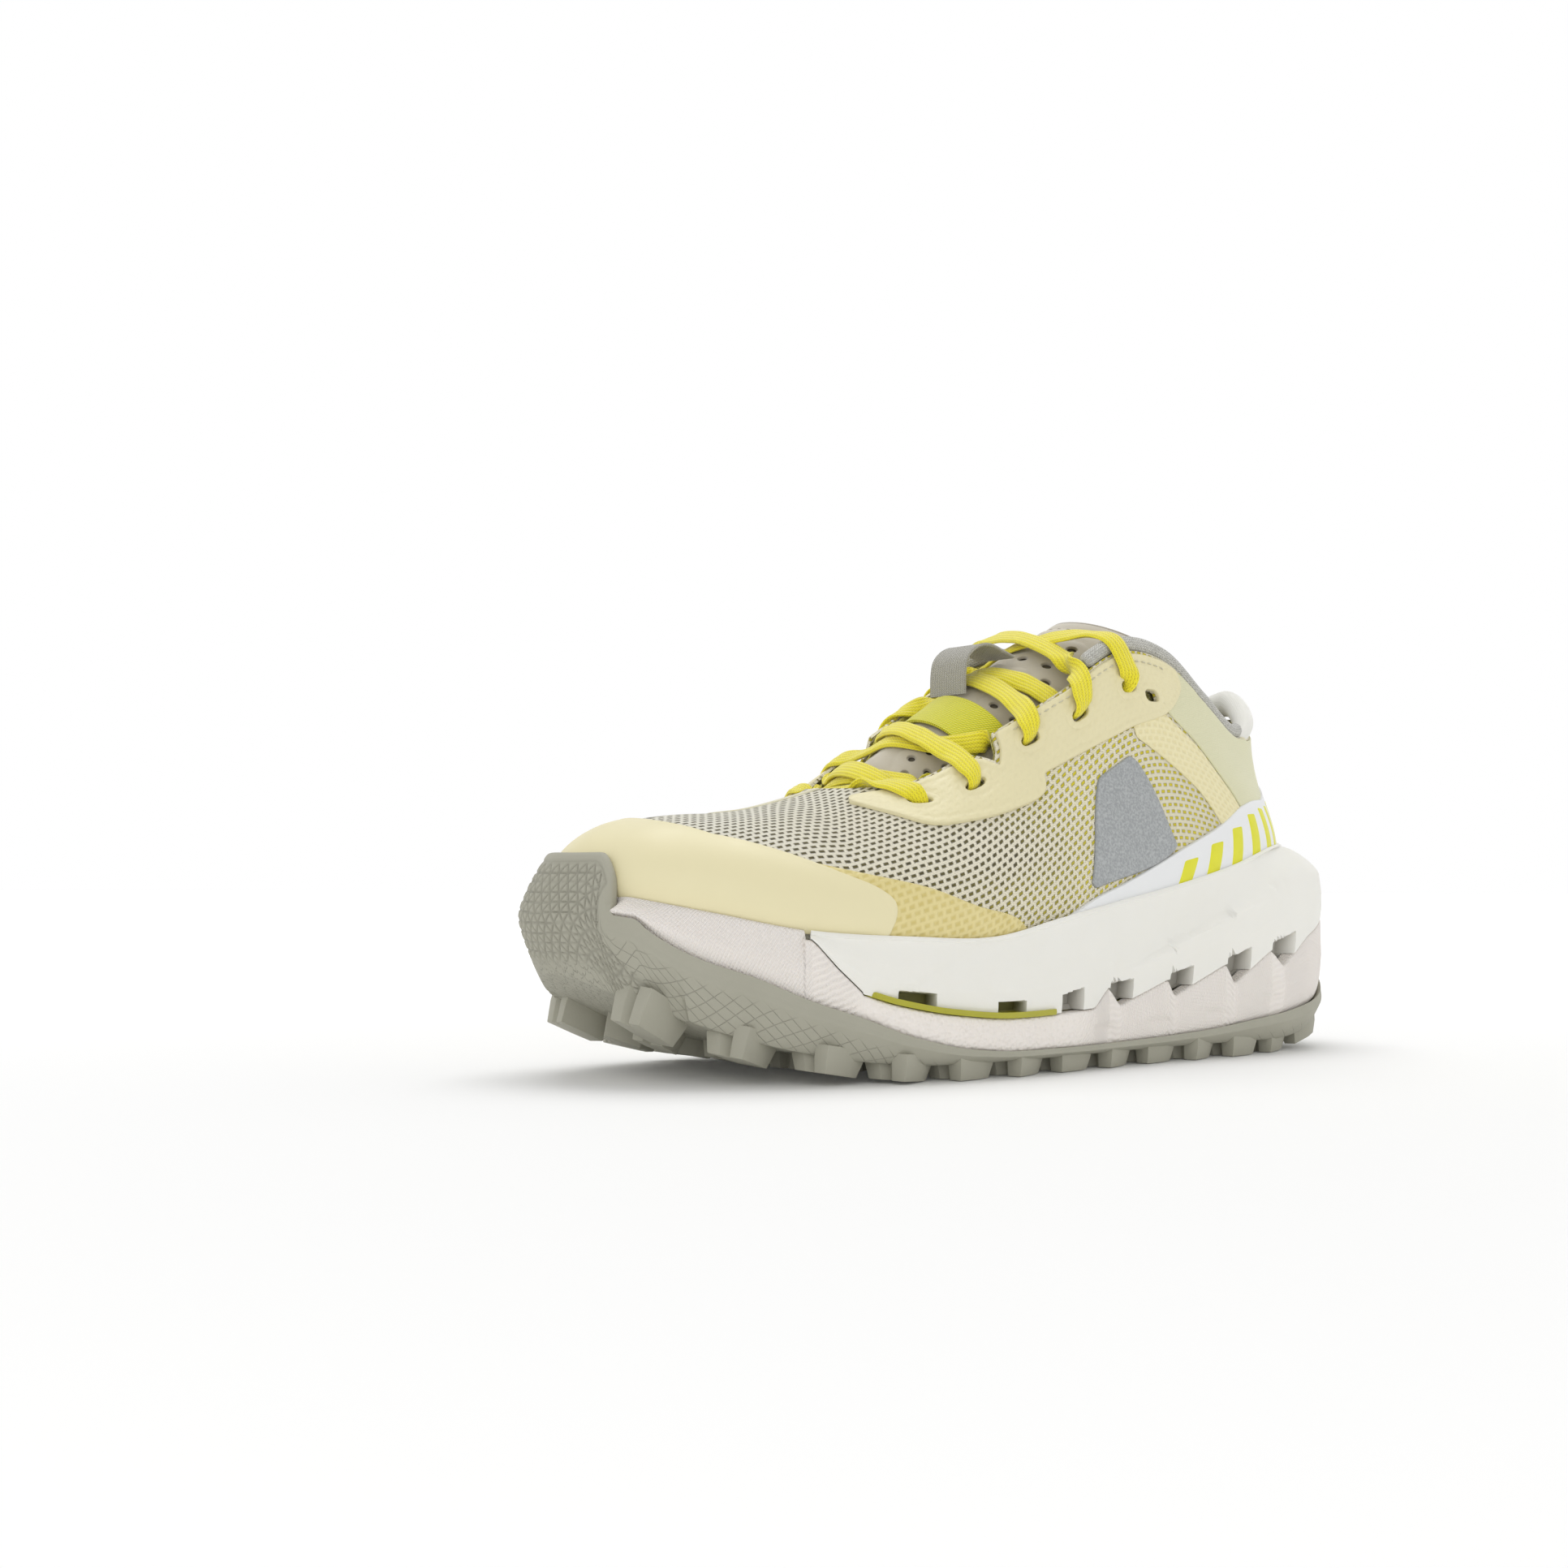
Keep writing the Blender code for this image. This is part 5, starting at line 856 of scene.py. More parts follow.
def skin(s, t):
    """Points and normals of the upper: t 0 at the biteline, 1 at the free edge, below 0 the lasting margin."""
    s, t = np.asarray(s, float), np.asarray(t, float)
    up = np.clip(t, 0, 1)
    P, N = upper(s, up), upper_normal(s, up)
    m = np.minimum(s % FULL, FULL - s % FULL)
    w = smoothstep(up, 0.86, 1.0) * smoothstep(5.4 - m, 0.0, 0.7)
    top = unit(upper_normal(m, np.full_like(m, 0.985)) + upper_normal(FULL - m, np.full_like(m, 0.985)))
    top = np.where((m < 3.2)[:, None], np.array([-0.02, 0.0, 1.0]), top)
    N = unit(N * (1 - w[:, None]) + top * w[:, None])
    low = t < 0
    if low.any():
        q = np.clip(-t[low], 0, 1)[:, None]
        b, (_, n) = catmull(BITE, s[low]), outline(s[low])
        f = np.concatenate([b[:, :2] - 3.0 * n, (footbed_z(b[:, 0]) + 2.0)[:, None]], 1)
        P[low] = b + (f - b) * q
        k = smoothstep(q)
        N[low] = unit(N[low] * (1 - k) + np.concatenate([n, 0 * n[:, :1]], 1) * k)
    return P, N


FINE_T = np.linspace(0, 1, 41)
FINE_S = np.linspace(-6, FULL + 6, 681)
_grid_s, _grid_t = np.meshgrid(FINE_S, FINE_T, indexing="ij")
_P = upper(_grid_s, _grid_t)
_d = np.diff(_P, axis=1)
GIRTH = np.concatenate([np.zeros((len(FINE_S), 1)), np.cumsum(np.hypot(_d[..., 1], _d[..., 2]), 1)], 1)
GIRTH = GIRTH[:, -1:] - GIRTH                                    # from the free edge down
RISE = np.concatenate([np.zeros((len(FINE_S), 1)), np.cumsum(np.linalg.norm(_d, axis=2), 1)], 1)
_low = upper(FINE_S, np.full_like(FINE_S, 0.3))
RUN = np.concatenate([[0], np.cumsum(np.linalg.norm(np.diff(_low, axis=0), axis=1))])
_edge = free_edge(FINE_S)
_m = np.minimum(FINE_S % FULL, FULL - FINE_S % FULL)
OPENING = np.where(_m > 3, np.abs(_edge[:, 1] - 6.0), 0.0) * smoothstep(_m, 3.0, 4.2)


def table_at(table, s, t):
    a = (np.asarray(s, float) - FINE_S[0]) / (FINE_S[1] - FINE_S[0])
    b = np.clip(np.asarray(t, float), 0, 1) * (len(FINE_T) - 1)
    i, j = np.clip(a.astype(int), 0, len(FINE_S) - 2), np.clip(b.astype(int), 0, len(FINE_T) - 2)
    f, g = a - i, b - j
    return ((1 - f) * (1 - g) * table[i, j] + f * (1 - g) * table[i + 1, j] + (1 - f) * g * table[i, j + 1] + f * g * table[i + 1, j + 1])


def girth_uv(s, t):
    """Length along the shoe, and distance round it from the instep's middle."""
    P = upper(s, np.clip(t, 0, 1))
    side = np.where((np.asarray(s) % FULL) < HALF, -1.0, 1.0)
    v = table_at(GIRTH, s, t) + np.interp(s, FINE_S, OPENING)
    return np.stack([P[:, 0] + 200, side * v + 150 + np.minimum(t, 0) * 10], 1)


def wall_uv(s, t):
    """Length round the shoe and height up its wall."""
    return np.stack([np.interp(s, FINE_S, RUN), table_at(RISE, s, t) + np.minimum(t, 0) * 10], 1)


SHOE = (24.0, 85.0)      # millimetres per station and per unit of t, for drawing outlines
SLOTS = [(5.80, .785), (6.47, .785), (7.35, .860), (8.15, .850), (9.05, .845), (9.46, .800)]
_a = np.linspace(0, 2 * math.pi, 15)[:-1]
SLOT_LOOP = np.stack([np.sign(np.cos(_a)) * np.abs(np.cos(_a)) ** 0.6 * 0.125, np.sign(np.sin(_a)) * np.abs(np.sin(_a)) ** 0.8 * 0.024], 1)
LAT_HOLES = [SLOT_LOOP + np.array(p) for p in SLOTS]
MED_HOLES = [twin([tuple(q) for q in h]) for h in LAT_HOLES]

# two small windows in the lateral eyestay near the vamp
NOTCH = [(6.50, 1.0), (6.64, 0.95), (6.83, 0.85), (6.90, 0.90), (6.93, 1.0)]
HEEL_DIP = [(12.25, 1.0), (12.55, 0.92), (12.95, 0.86), (14.0, 0.84)]
HEEL_DIP = HEEL_DIP + twin(HEEL_DIP)[1:]
TOE_CAP = [(4.74, HEM), (4.86, 0.15), (4.72, 0.21), (4.36, 0.29), (3.89, 0.39), (3.24, 0.50), (2.6, 0.58), (1.98, 0.62),
           (1.0, 0.66), (0.2, 0.67), (-0.9, 0.66), (-1.8, 0.62), (-2.8, 0.54), (-3.6, 0.43), (-4.3, 0.30), (-4.72, 0.20), (-4.84, 0.13), (-4.72, HEM)]
MUDGUARD = [(3.0, HEM), (6.6, HEM), (6.34, 0.08), (5.8, 0.16), (5.37, 0.22), (4.88, 0.26), (4.05, 0.36), (3.5, 0.44), (3.0, 0.47)]
EYESTAY = [(4.95, 0.75), (5.37, 0.67), (5.66, 0.605), (6.11, 0.60), (6.69, 0.575), (7.14, 0.58), (7.28, 0.60), (7.37, 0.68),
           (8.07, 0.69), (8.80, 0.68), (9.61, 0.72), (10.03, 0.81), (10.25, 0.92), (10.2, 0.985),
           (8.15, 0.985), (6.96, 0.985), (6.94, 0.89), (6.84, 0.81), (6.62, 0.92), (6.33, 0.965), (5.91, 0.96), (5.5, 0.90), (5.1, 0.82)]
STRAP = [(10.1, 0.13), (10.68, 0.13), (10.64, 0.31), (10.57, 0.40), (10.43, 0.49), (10.20, 0.60), (9.87, 0.68), (9.62, 0.74),
         (8.97, 0.70), (8.97, 0.64), (9.25, 0.57), (9.55, 0.49), (9.82, 0.40), (9.97, 0.31), (10.06, 0.23)]
HEEL_FRONT = [(9.95, 0.985), (9.68, 0.76), (9.91, 0.70), (10.24, 0.615), (10.48, 0.50), (10.61, 0.41), (10.69, 0.31), (10.73, 0.13)]
FOX_TOP = [(14.0, 0.49), (13.3, 0.485), (12.6, 0.465), (11.5, 0.39), (10.64, 0.315), (10.06, 0.24), (9.24, 0.17), (8.09, 0.085), (7.65, 0.06), (6.85, HEM + 0.001)]
EMBLEM_LATERAL = [(7.66, 0.10), (9.08, 0.165), (9.16, 0.19), (8.84, 0.555), (8.76, 0.585), (8.16, 0.565), (8.08, 0.53), (7.60, 0.13)]
EMBLEM_MEDIAL = [(19.35, 0.33), (19.75, 0.33), (19.78, 0.35), (19.88, 0.47), (19.86, 0.49), (19.48, 0.49), (19.45, 0.47), (19.33, 0.35)]


def collar_swell(s, t):
    m = np.minimum(s % FULL, FULL - s % FULL)
    return smoothstep(m, 9.2, 10.8) * smoothstep(t, 0.50, 0.70) * np.clip((1.03 - t) / 0.12, 0.25, 1)


def lining_out(s, t):
    return -2.0 - COLLAR_FOAM * collar_swell(s, t)


def quarter_zone(s, t):
    """1 where bright underlay shows through the mesh, 0 over the vamp, where the holes get painted shade."""
    m = np.minimum(s % FULL, FULL - s % FULL)
    low = smoothstep(m, 5.0, 7.0) * smoothstep(0.36 - t, 0.0, 0.22)
    return np.clip(smoothstep(m - 1.6 * (0.5 - t), 6.2, 8.0) + 0.55 * low, 0, 1)


def pale_zone(s, t):
    m = np.minimum(s % FULL, FULL - s % FULL)
    return np.clip(0.85 * smoothstep(5.2 - m, 0.0, 2.6) + 0.5 * smoothstep(t, 0.62, 0.9) * smoothstep(6.2 - m, 0.0, 1.2), 0, 1)


def shell(name, d_in, d_out, mat, t_low, stands, slot, uv, attrs=None, spacing=3.0):
    """The whole upper as one closed sheet, open at the throat and round the slots."""
    top = [(28 - s, t) for s, t in NOTCH[1:]] + HEEL_DIP[::-1] + NOTCH[::-1]
    rim = []
    for s in np.arange(0.0, 28.001, 0.125):
        rim.append((s, t_low))
    seam = [(28.0, t) for t in np.linspace(t_low, 1.0, 41)[1:]]
    loop = list(rim) + seam
    path = [(28.0, 1.0), (21.5, 1.0)] + top + [(0.0, 1.0)]
    fine = []
    for (s0, t0), (s1, t1) in zip(path, path[1:]):
        n = max(1, int(round(np.hypot((s1 - s0) * SHOE[0], (t1 - t0) * SHOE[1]) / 1.5)))
        if t0 == 1.0 and t1 == 1.0:
            n = max(1, int(round(abs(s1 - s0) / 0.0625)))
        fine += [(s0 + (s1 - s0) * k / n, t0 + (t1 - t0) * k / n) for k in range(n)]
    fine = fine[1:] + [(0.0, 1.0)]
    loop += fine
    loop += [(0.0, t) for t in np.linspace(1.0, t_low, 41)[1:-1]]
    return draw_panel(name, loop, mat, d_in, d_out, skin, SHOE, LAT_HOLES + MED_HOLES, spacing=spacing, rings=(), uv=uv, fair=False,
                      shoulder=1.0, attrs=attrs, weld=0.02, stands=stands, slot=slot, smooth=50)


shell("upper_mesh", -0.9, 0.0, M["mesh"], -0.35, ["mesh_upper"], "mesh_fabric", girth_uv, {"zone": quarter_zone, "pale": pale_zone}, 2.6)
shell("upper_lining", lambda s, t: lining_out(s, t) - 0.7, lining_out, M["lining"], -1.0, ["inner_lining"], "lining_fabric", girth_uv, None, 3.4)


def overlay(name, poly, mat, node, slot, d_in, d_out, holes=(), **kw):
    kw.setdefault("uv", girth_uv)
    return draw_panel(name, poly, M[mat], d_in, d_out, skin, SHOE, holes, stands=[node] if node else (), slot=slot, **kw)


def groove(at, width, depth):
    return lambda s, t, d: -depth * np.exp(-((d - at) / width) ** 2)


def toe_form(s, t, d):
    """Slight swell of the toe cap over its box, and a pressed line inside its edge."""
    return 0.25 * smoothstep(d, 1.0, 7.0) - 0.12 * np.exp(-((d - 1.6) / 0.5) ** 2)


overlay("toe_cap_panel", TOE_CAP, "cap", "toe_cap_overlay", "overlay_tpu", 0.1, 1.15, extra=toe_form, rings=(0.3, 0.7, 1.6, 2.6), spacing=2.2, edge=0.8)
for side, flip in (("lateral", lambda p: p), ("medial", mirror_s)):
    overlay(f"mudguard_{side}", flip(MUDGUARD), "amber", f"mudguard_film_{side}", "mudguard_film", 0.08, 0.6, spacing=2.0)
for side, flip, holes in (("lateral", lambda p: p, LAT_HOLES), ("medial", twin, MED_HOLES)):
    overlay(f"eyestay_panel_{side}", flip(EYESTAY), "stay", f"eyestay_{side}", "overlay_tpu", 0.1, 1.25, holes,
            extra=groove(2.6, 0.45, 0.22), rings=(0.3, 0.7, 2.1, 2.6, 3.1), spacing=1.9, edge=0.8)
    overlay(f"quarter_strap_panel_{side}", flip(STRAP), "strap", f"quarter_strap_{side}", "mudguard_film", 0.10, 0.75,
            extra=groove(1.6, 0.4, 0.12), rings=(0.3, 0.7, 1.6), spacing=2.0, edge=0.7)
dip_panel = [(12.20, 0.985), (12.50, 0.91), (12.92, 0.85), (14.0, 0.83)]
dip_panel = dip_panel + twin(dip_panel)[1:]
overlay("heel_panel_fabric", HEEL_FRONT + twin(HEEL_FRONT) + dip_panel[::-1], "heel", "heel_quarter_panel", "heel_panel", 0.06, 0.6,
        uv=wall_uv, spacing=2.8, corner=60)
fox_poly = [(6.85, HEM), (21.15, HEM)] + [(28 - s, t) for s, t in FOX_TOP[::-1]][:-1] + FOX_TOP[:-1]
overlay("foxing_panel", fox_poly, "foxing", "foxing_band", "foxing_film", 0.08, 1.15, uv=wall_uv, spacing=2.4, corner=60, edge=0.7)
overlay("side_patch_lateral", EMBLEM_LATERAL, "patch", "side_emblem_lateral", "reflective_patch", 0.05, 0.72, spacing=1.6, edge=0.4)
overlay("side_patch_medial", EMBLEM_MEDIAL, "patch", "side_emblem_medial", "reflective_patch", 0.05, 0.72, spacing=1.4, edge=0.4)
draw_panel("heel_counter_board", [(11.2, 0.02), (16.8, 0.02), (16.9, 0.3), (16.2, 0.46), (14, 0.49), (11.8, 0.46), (11.1, 0.3)], M["counter"], -1.9, -1.1,
           skin, SHOE, spacing=4.0, rings=(), stands=["heel_counter"], slot="counter_board", uv=wall_uv)
COLLAR = [(9.85, 0.66), (11, 0.53), (13.4, 0.53), (13.85, 0.60), (13.85, 0.80), (12.85, 0.82), (12.4, 0.90), (12.1, 0.965), (9.9, 0.965), (9.75, 0.82)]
for side, flip in (("lateral", lambda p: p), ("medial", twin)):
    ob = draw_panel(f"collar_pad_{side}", flip(COLLAR), M["pad"], lambda s, t: lining_out(s, t) + 0.25, lambda s, t: np.maximum(lining_out(s, t) + 0.5, -1.2), skin, SHOE,
                    spacing=4.0, rings=(), stands=[f"collar_foam_{side}"], slot="pad_foam", uv=wall_uv)

# slanted print bars along the foxing band
for n in range(9):
    for side in ("lateral", "medial"):
        s0 = 9.05 + 0.50 * n
        if s0 > 13.2:
            continue
        top_s = np.array([p[0] for p in FOX_TOP[::-1]])
        top_t = np.array([p[1] for p in FOX_TOP[::-1]])
        width, lean = 0.24, 0.16
        t0 = HEM + 0.035
        t1 = float(np.interp(s0 + lean, top_s, top_t)) - 0.055
        if t1 - t0 < 0.03:
            continue
        bar = [(s0, t0), (s0 + width, t0), (s0 + width + lean, t1), (s0 + lean, t1)]
        if side == "medial":
            bar = twin(bar)
        draw_panel(f"foxing_bar_{side}_{n}", bar, M["ink"], 1.1, 1.24, skin, SHOE, spacing=2.0, rings=(0.3,), uv=wall_uv, slot="foxing_film", edge=0.2, rounds=1)


# ---------------------------------------------------------------- collar binding and heel pillow
def edge_frame(s):
    p = free_edge(s)
    up = unit(upper(s, np.full_like(s, 1.0)) - upper(s, np.full_like(s, 0.96)))
    return p, up, upper_normal(s, np.full_like(s, 0.99))


RING = np.linspace(0, 2 * math.pi, 21)[:-1]
for side in ("lateral", "medial"):
    s = np.linspace(8.45, 12.28, 150)
    q = s if side == "lateral" else FULL - s
    p, up, n = edge_frame(q)
    path = resample(p + up * 2.6 - n * 1.9, 0.7)
    k = len(path)
    # the front end rolls over and dives behind the eyestay
    along = np.linspace(0, 1, k)
    a_side, a_up = frames(path, np.tile([0.0, 0.0, 1.0], (k, 1)))
    tip = np.minimum(np.arange(k), np.arange(k)[::-1]) * 0.7
    taper = np.sqrt(1 - (1 - np.clip(tip / 2.0, 0.08, 1)) ** 2)
    ridge = 1 + 0.03 * np.sin(2 * math.pi * np.arange(k) * 0.7 / 1.4)
    sweep(f"collar_piping_{side}", path, a_side, a_up, np.stack([np.cos(RING) * 2.35, np.sin(RING) * 2.5], 1), M["binding"],
          taper=np.stack([taper * ridge, taper * ridge], 1), stands=[f"collar_binding_{side}"], slot="collar_knit")

rows, cols = 66, 36
s = np.linspace(12.05, FULL - 12.05, rows)
w = np.clip(np.sin(math.pi * np.linspace(0, 1, rows)), 0, 1) ** 0.42
w[0] = w[-1] = 0.12
dip = np.interp(np.minimum(s, FULL - s), [12.05, 12.6, 13.2, 14.0], [0.985, 0.965, 0.945, 0.945])
N = upper_normal(s, dip)
up = unit(upper(s, np.minimum(dip + 0.035, 1)) - upper(s, dip - 0.045))
c = upper(s, dip) - 2.3 * N
a = np.linspace(0, 2 * math.pi, cols + 1)[:-1]
P = c[:, None] + up[:, None] * (np.sin(a) * 4.6)[None, :, None] * w[:, None, None] + N[:, None] * (np.cos(a) * 4.1)[None, :, None] * w[:, None, None]
f, g = lattice(rows, cols, True)
uv = np.stack(np.broadcast_arrays(np.linspace(0, 90, rows)[:, None], np.linspace(0, 27, cols + 1)[None, :]), -1).reshape(-1, 2)
verts = np.vstack([P.reshape(-1, 3), c[0], c[-1]])
k = np.arange(cols)
cap0 = np.stack([np.full(cols, rows * cols), k, (k + 1) % cols], 1)
cap1 = np.stack([np.full(cols, rows * cols + 1), (rows - 1) * cols + (k + 1) % cols, (rows - 1) * cols + k], 1)
uv = np.vstack([uv, [[0, 0], [90, 0]]])
u0 = rows * (cols + 1)
ucap0 = np.stack([np.full(cols, u0), k, k + 1], 1)
ucap1 = np.stack([np.full(cols, u0 + 1), (rows - 1) * (cols + 1) + k + 1, (rows - 1) * (cols + 1) + k], 1)
pillow = build("heel_pillow_pad", verts, [f, cap0, cap1], M["pillow"], uv=uv, uv_faces=[g, ucap0, ucap1], stands=["heel_pillow"], slot="heel_pillow_fabric", smooth=60)

# ---------------------------------------------------------------- sole stack
def station_of_x(x):
    fine = np.linspace(0.3, 13.7, 2000)
    return float(np.interp(x, catmull(OUT, fine)[:, 0], fine))


def split_line(x):
    """The split with its tooth tips rounded."""
    x = np.asarray(x, float)
    k = np.linspace(-1.5, 1.5, 9)
    w = np.cos(k / 1.5 * math.pi / 2)
    w /= w.sum()
    return sum(wi * split_z(np.minimum(x, 139.0) + ki) for ki, wi in zip(k, w))


def lay(xy, z):
    z = z(xy[:, 0]) if callable(z) else z + 0 * xy[:, 0]
    return np.concatenate([xy, z[:, None]], 1)


def blendw(a, b, w):
    w = np.asarray(w, float)[:, None]
    return a * (1 - w) + b * w


def plus(fn, dz):
    return lambda x: fn(x) + dz


def toe_share(m):
    """1 where the outsole turns up into the toe bumper, 0 along the sides."""
    return 1 - smoothstep(m, 1.46, 1.82)


class Section:
    """Sole section at a list of stations."""

    def __init__(self, stations):
        self.s = np.array(stations)
        self.m = np.minimum(self.s, FULL - self.s)
        self.o = catmull(OUT, self.s)
        self.b = catmull(BITE, self.s)
        self.c = catmull(SPINE, self.s)
        self.n = unit(self.o - self.b[:, :2])
        self.x = catmull(OUT, self.m)[:, 0]
        self.zb = self.b[:, 2]
        self.bumper = toe_share(self.m)
        zs = np.where(self.x < -88, np.interp(self.x, [-102.0, -95.0, -88.0], [40.0, 32.0, 25.2]), split_line(self.x))
        self.zs = np.where(self.x < -101.9, self.zb - 1.8, zs)
        self.zo = np.minimum(carrier_line_z(self.x), self.zb - 5)

    def out(self, d, z):
        return lay(self.o + (np.asarray(d, float) + 0 * self.x)[:, None] * self.n, z)

    def bite(self, d, z):
        return lay(self.b[:, :2] + (np.asarray(d, float) + 0 * self.x)[:, None] * self.n, z)

    def inner(self, row, share, z):
        return lay(self.c + (row[:, :2] - self.c) * share, z)


def stations(step, exact_x=(), dense=()):
    s = set(np.round(np.arange(0, FULL, step), 4))
    for x in exact_x:
        k = round(station_of_x(x), 4)
        s |= {k, round(FULL - k, 4)}
    for lo, hi, st in dense:
        for k in np.arange(lo, hi + 1e-6, st):
            s |= {round(float(k), 4), round((FULL - float(k)) % FULL, 4)}
    out = sorted(s)
    keep = [out[0]]
    marks = {round(station_of_x(x), 4) for x in exact_x} | {round(FULL - station_of_x(x), 4) for x in exact_x}
    for k in out[1:]:
        if k - keep[-1] < 0.006:
            if k in marks:
                keep[-1] = k
            continue
        keep.append(k)
    # symmetric about the heel, so that rows close across the sole
    keep = sorted({round(k, 4) for k in keep} | {round((FULL - k) % FULL, 4) for k in keep})
    return keep


def runs(rows, plan):
    """Rows drawn out between key rows: plan gives (count, kind) for each interval, kind 'line' or 'curve'."""
    out = []
    R = len(rows)
    for i in range(R - 1):
        n, kind = plan[i]
        p0, p1, p2, p3 = rows[max(i - 1, 0)], rows[i], rows[i + 1], rows[min(i + 2, R - 1)]
        for k in range(n):
            f = k / n
            if kind == "curve":
                m1, m2 = 0.5 * (p2 - p0), 0.5 * (p3 - p1)
                l = np.linalg.norm(p2 - p1, axis=1, keepdims=True)
                m1 = m1 * np.minimum(1, 1.2 * l / np.maximum(np.linalg.norm(m1, axis=1, keepdims=True), 1e-6))
                m2 = m2 * np.minimum(1, 1.2 * l / np.maximum(np.linalg.norm(m2, axis=1, keepdims=True), 1e-6))
                q = ((2 * f ** 3 - 3 * f ** 2 + 1) * p1 + (f ** 3 - 2 * f ** 2 + f) * m1 + (3 * f ** 2 - 2 * f ** 3) * p2 + (f ** 3 - f ** 2) * m2)
            else:
                q = p1 * (1 - f) + p2 * f
            out.append(q)
    out.append(rows[-1])
    return out


def soften(rows, marks, r):
    """Rounds the corners at the marked rows."""
    out = []
    for i, row in enumerate(rows):
        if i in marks and 0 < i < len(rows) - 1:
            for other, first in ((rows[i - 1], True), (rows[i + 1], False)):
                d = other - row
                l = np.linalg.norm(d, axis=1, keepdims=True)
                q = row + d * np.minimum(r / np.maximum(l, 1e-6), 0.4)
                if first:
                    a = q
                else:
                    b = q
            out += [a, 0.25 * a + 0.5 * row + 0.25 * b, b]
        else:
            out.append(row)
    return out


def ring_piece(name, rows, mat, attrs=None, tilt_x=None, **kw):
    """Closed body from rings, with quads across the first and the last one."""
    m, R = len(rows[0]), len(rows)
    P = np.stack(rows)
    f, g = lattice(R, m, True)
    ref = P[R // 2]
    run = np.concatenate([[0], np.cumsum(np.linalg.norm(np.diff(np.vstack([ref, ref[:1]]), axis=0), axis=1))])
    down = np.concatenate([np.zeros((1, m)), np.cumsum(np.linalg.norm(np.diff(P, axis=0), axis=2), 0)])
    down = np.concatenate([down, down[:, :1]], 1)
    uv = np.stack([np.broadcast_to(run, (R, m + 1)), down], -1).reshape(-1, 2)
    caps, ucaps = [], []
    for r, flip in ((0, False), (R - 1, True)):
        k = np.arange(m // 2)
        q = np.stack([k, k + 1, (m - k - 1) % m, (m - k) % m], 1)
        for row in q:
            row = list(dict.fromkeys(row.tolist()))
            if len(row) > 2:
                caps.append([r * m + c for c in (row[::-1] if flip else row)])
                ucaps.append([r * (m + 1) + c for c in (row[::-1] if flip else row)])
    faces, ufaces = [f], [g]
    for size in (3, 4):
        a = [c for c in caps if len(c) == size]
        if a:
            faces.append(np.array(a))
            ufaces.append(np.array([c for c in ucaps if len(c) == size]))
    values = {k: fn(P).ravel() for k, fn in (attrs or {}).items()}
    return build(name, P.reshape(-1, 3), faces, mat, uv=uv, uv_faces=ufaces, attrs=values, **kw)


PLATE_GAP, PLATE_T = 0.5, 1.0
ROOM = PLATE_T + 2 * PLATE_GAP
# notches cut into the upper foam's lower edge: from x to x, and how high
POCKETS = [(-78.0, -66.0, 25.6, 24.6), (-44.5, -33.5, 21.6, 21.6), (-18.5, -8.5, 22.6, 24.6), (4.5, 15.0, 25.4, 26.4), (32.8, 44.0, 27.4, 29.6),
           (60.8, 72.5, 31.6, 34.6), (83.8, 97.0, 36.0, 39.6)]
edges_x = []
for a, b, _, _ in POCKETS:
    edges_x += [a, a + 0.35, b - 0.35, b]
TOOTH_X = [x for x, _ in TEETH if x < 130]


def side_of(A):
    return np.where(A.s < HALF, -1.0, 1.0)


def pocket_share(x):
    w = np.zeros_like(x)
    for a, b, *_ in POCKETS:
        w = np.maximum(w, np.clip(np.minimum((x - a) / 0.35, (b - x) / 0.35), 0, 1))
    return w


A = Section(stations(0.07, (-102.0, -102.6, -103.2, -95.0, -88.0) + tuple(edges_x) + tuple(TOOTH_X)))
front = (A.x < -102.9).astype(float)
draw = ((A.x < -102.3) & (A.x > -102.9)).astype(float)
close = ((A.x < -98.0) & (A.x > -104.0)).astype(float)
f_row = A.bite(-3.0, footbed_z)
slab = A.bite(-1.2, plus(footbed_z, -0.2))
slab_low = A.bite(-1.4, plus(plate_z, ROOM + 0.6))
wall = np.maximum(A.zb - A.zs, 1.0)
pock = pocket_share(A.x)
roof = np.zeros_like(A.x)
for a, b, h0, h1 in POCKETS:
    roof = np.where((A.x >= a - 0.01) & (A.x <= b + 0.01), np.interp(A.x, [a, b], [h0, h1]), roof)


def blend_row(normal, drawn, flat):
    return blendw(blendw(normal, drawn, draw), flat, front)


def white_wall(share):
    """Side wall point: share 0 at the lower edge, 1 at the rim; hollow above, full below."""
    d = np.interp(share, [0, 0.12, 0.34, 0.62, 0.85, 1.0], [-0.4, -0.05, 0.0, -0.9, -2.4, -3.6])
    lo, hi = A.out(d, A.zs + GAP + share * (wall - 0.6)), A.bite(3.0, A.zb - 0.3)
    k = smoothstep(share, 0.62, 1.0)
    return lo * (1 - k) + hi * k


def into(row, depth):
    return np.concatenate([row[:, :2] + (depth + 0 * A.x)[:, None] * A.n, row[:, 2:]], 1)


def raised(row, z):
    out = row.copy()
    out[:, 2] = z
    return out


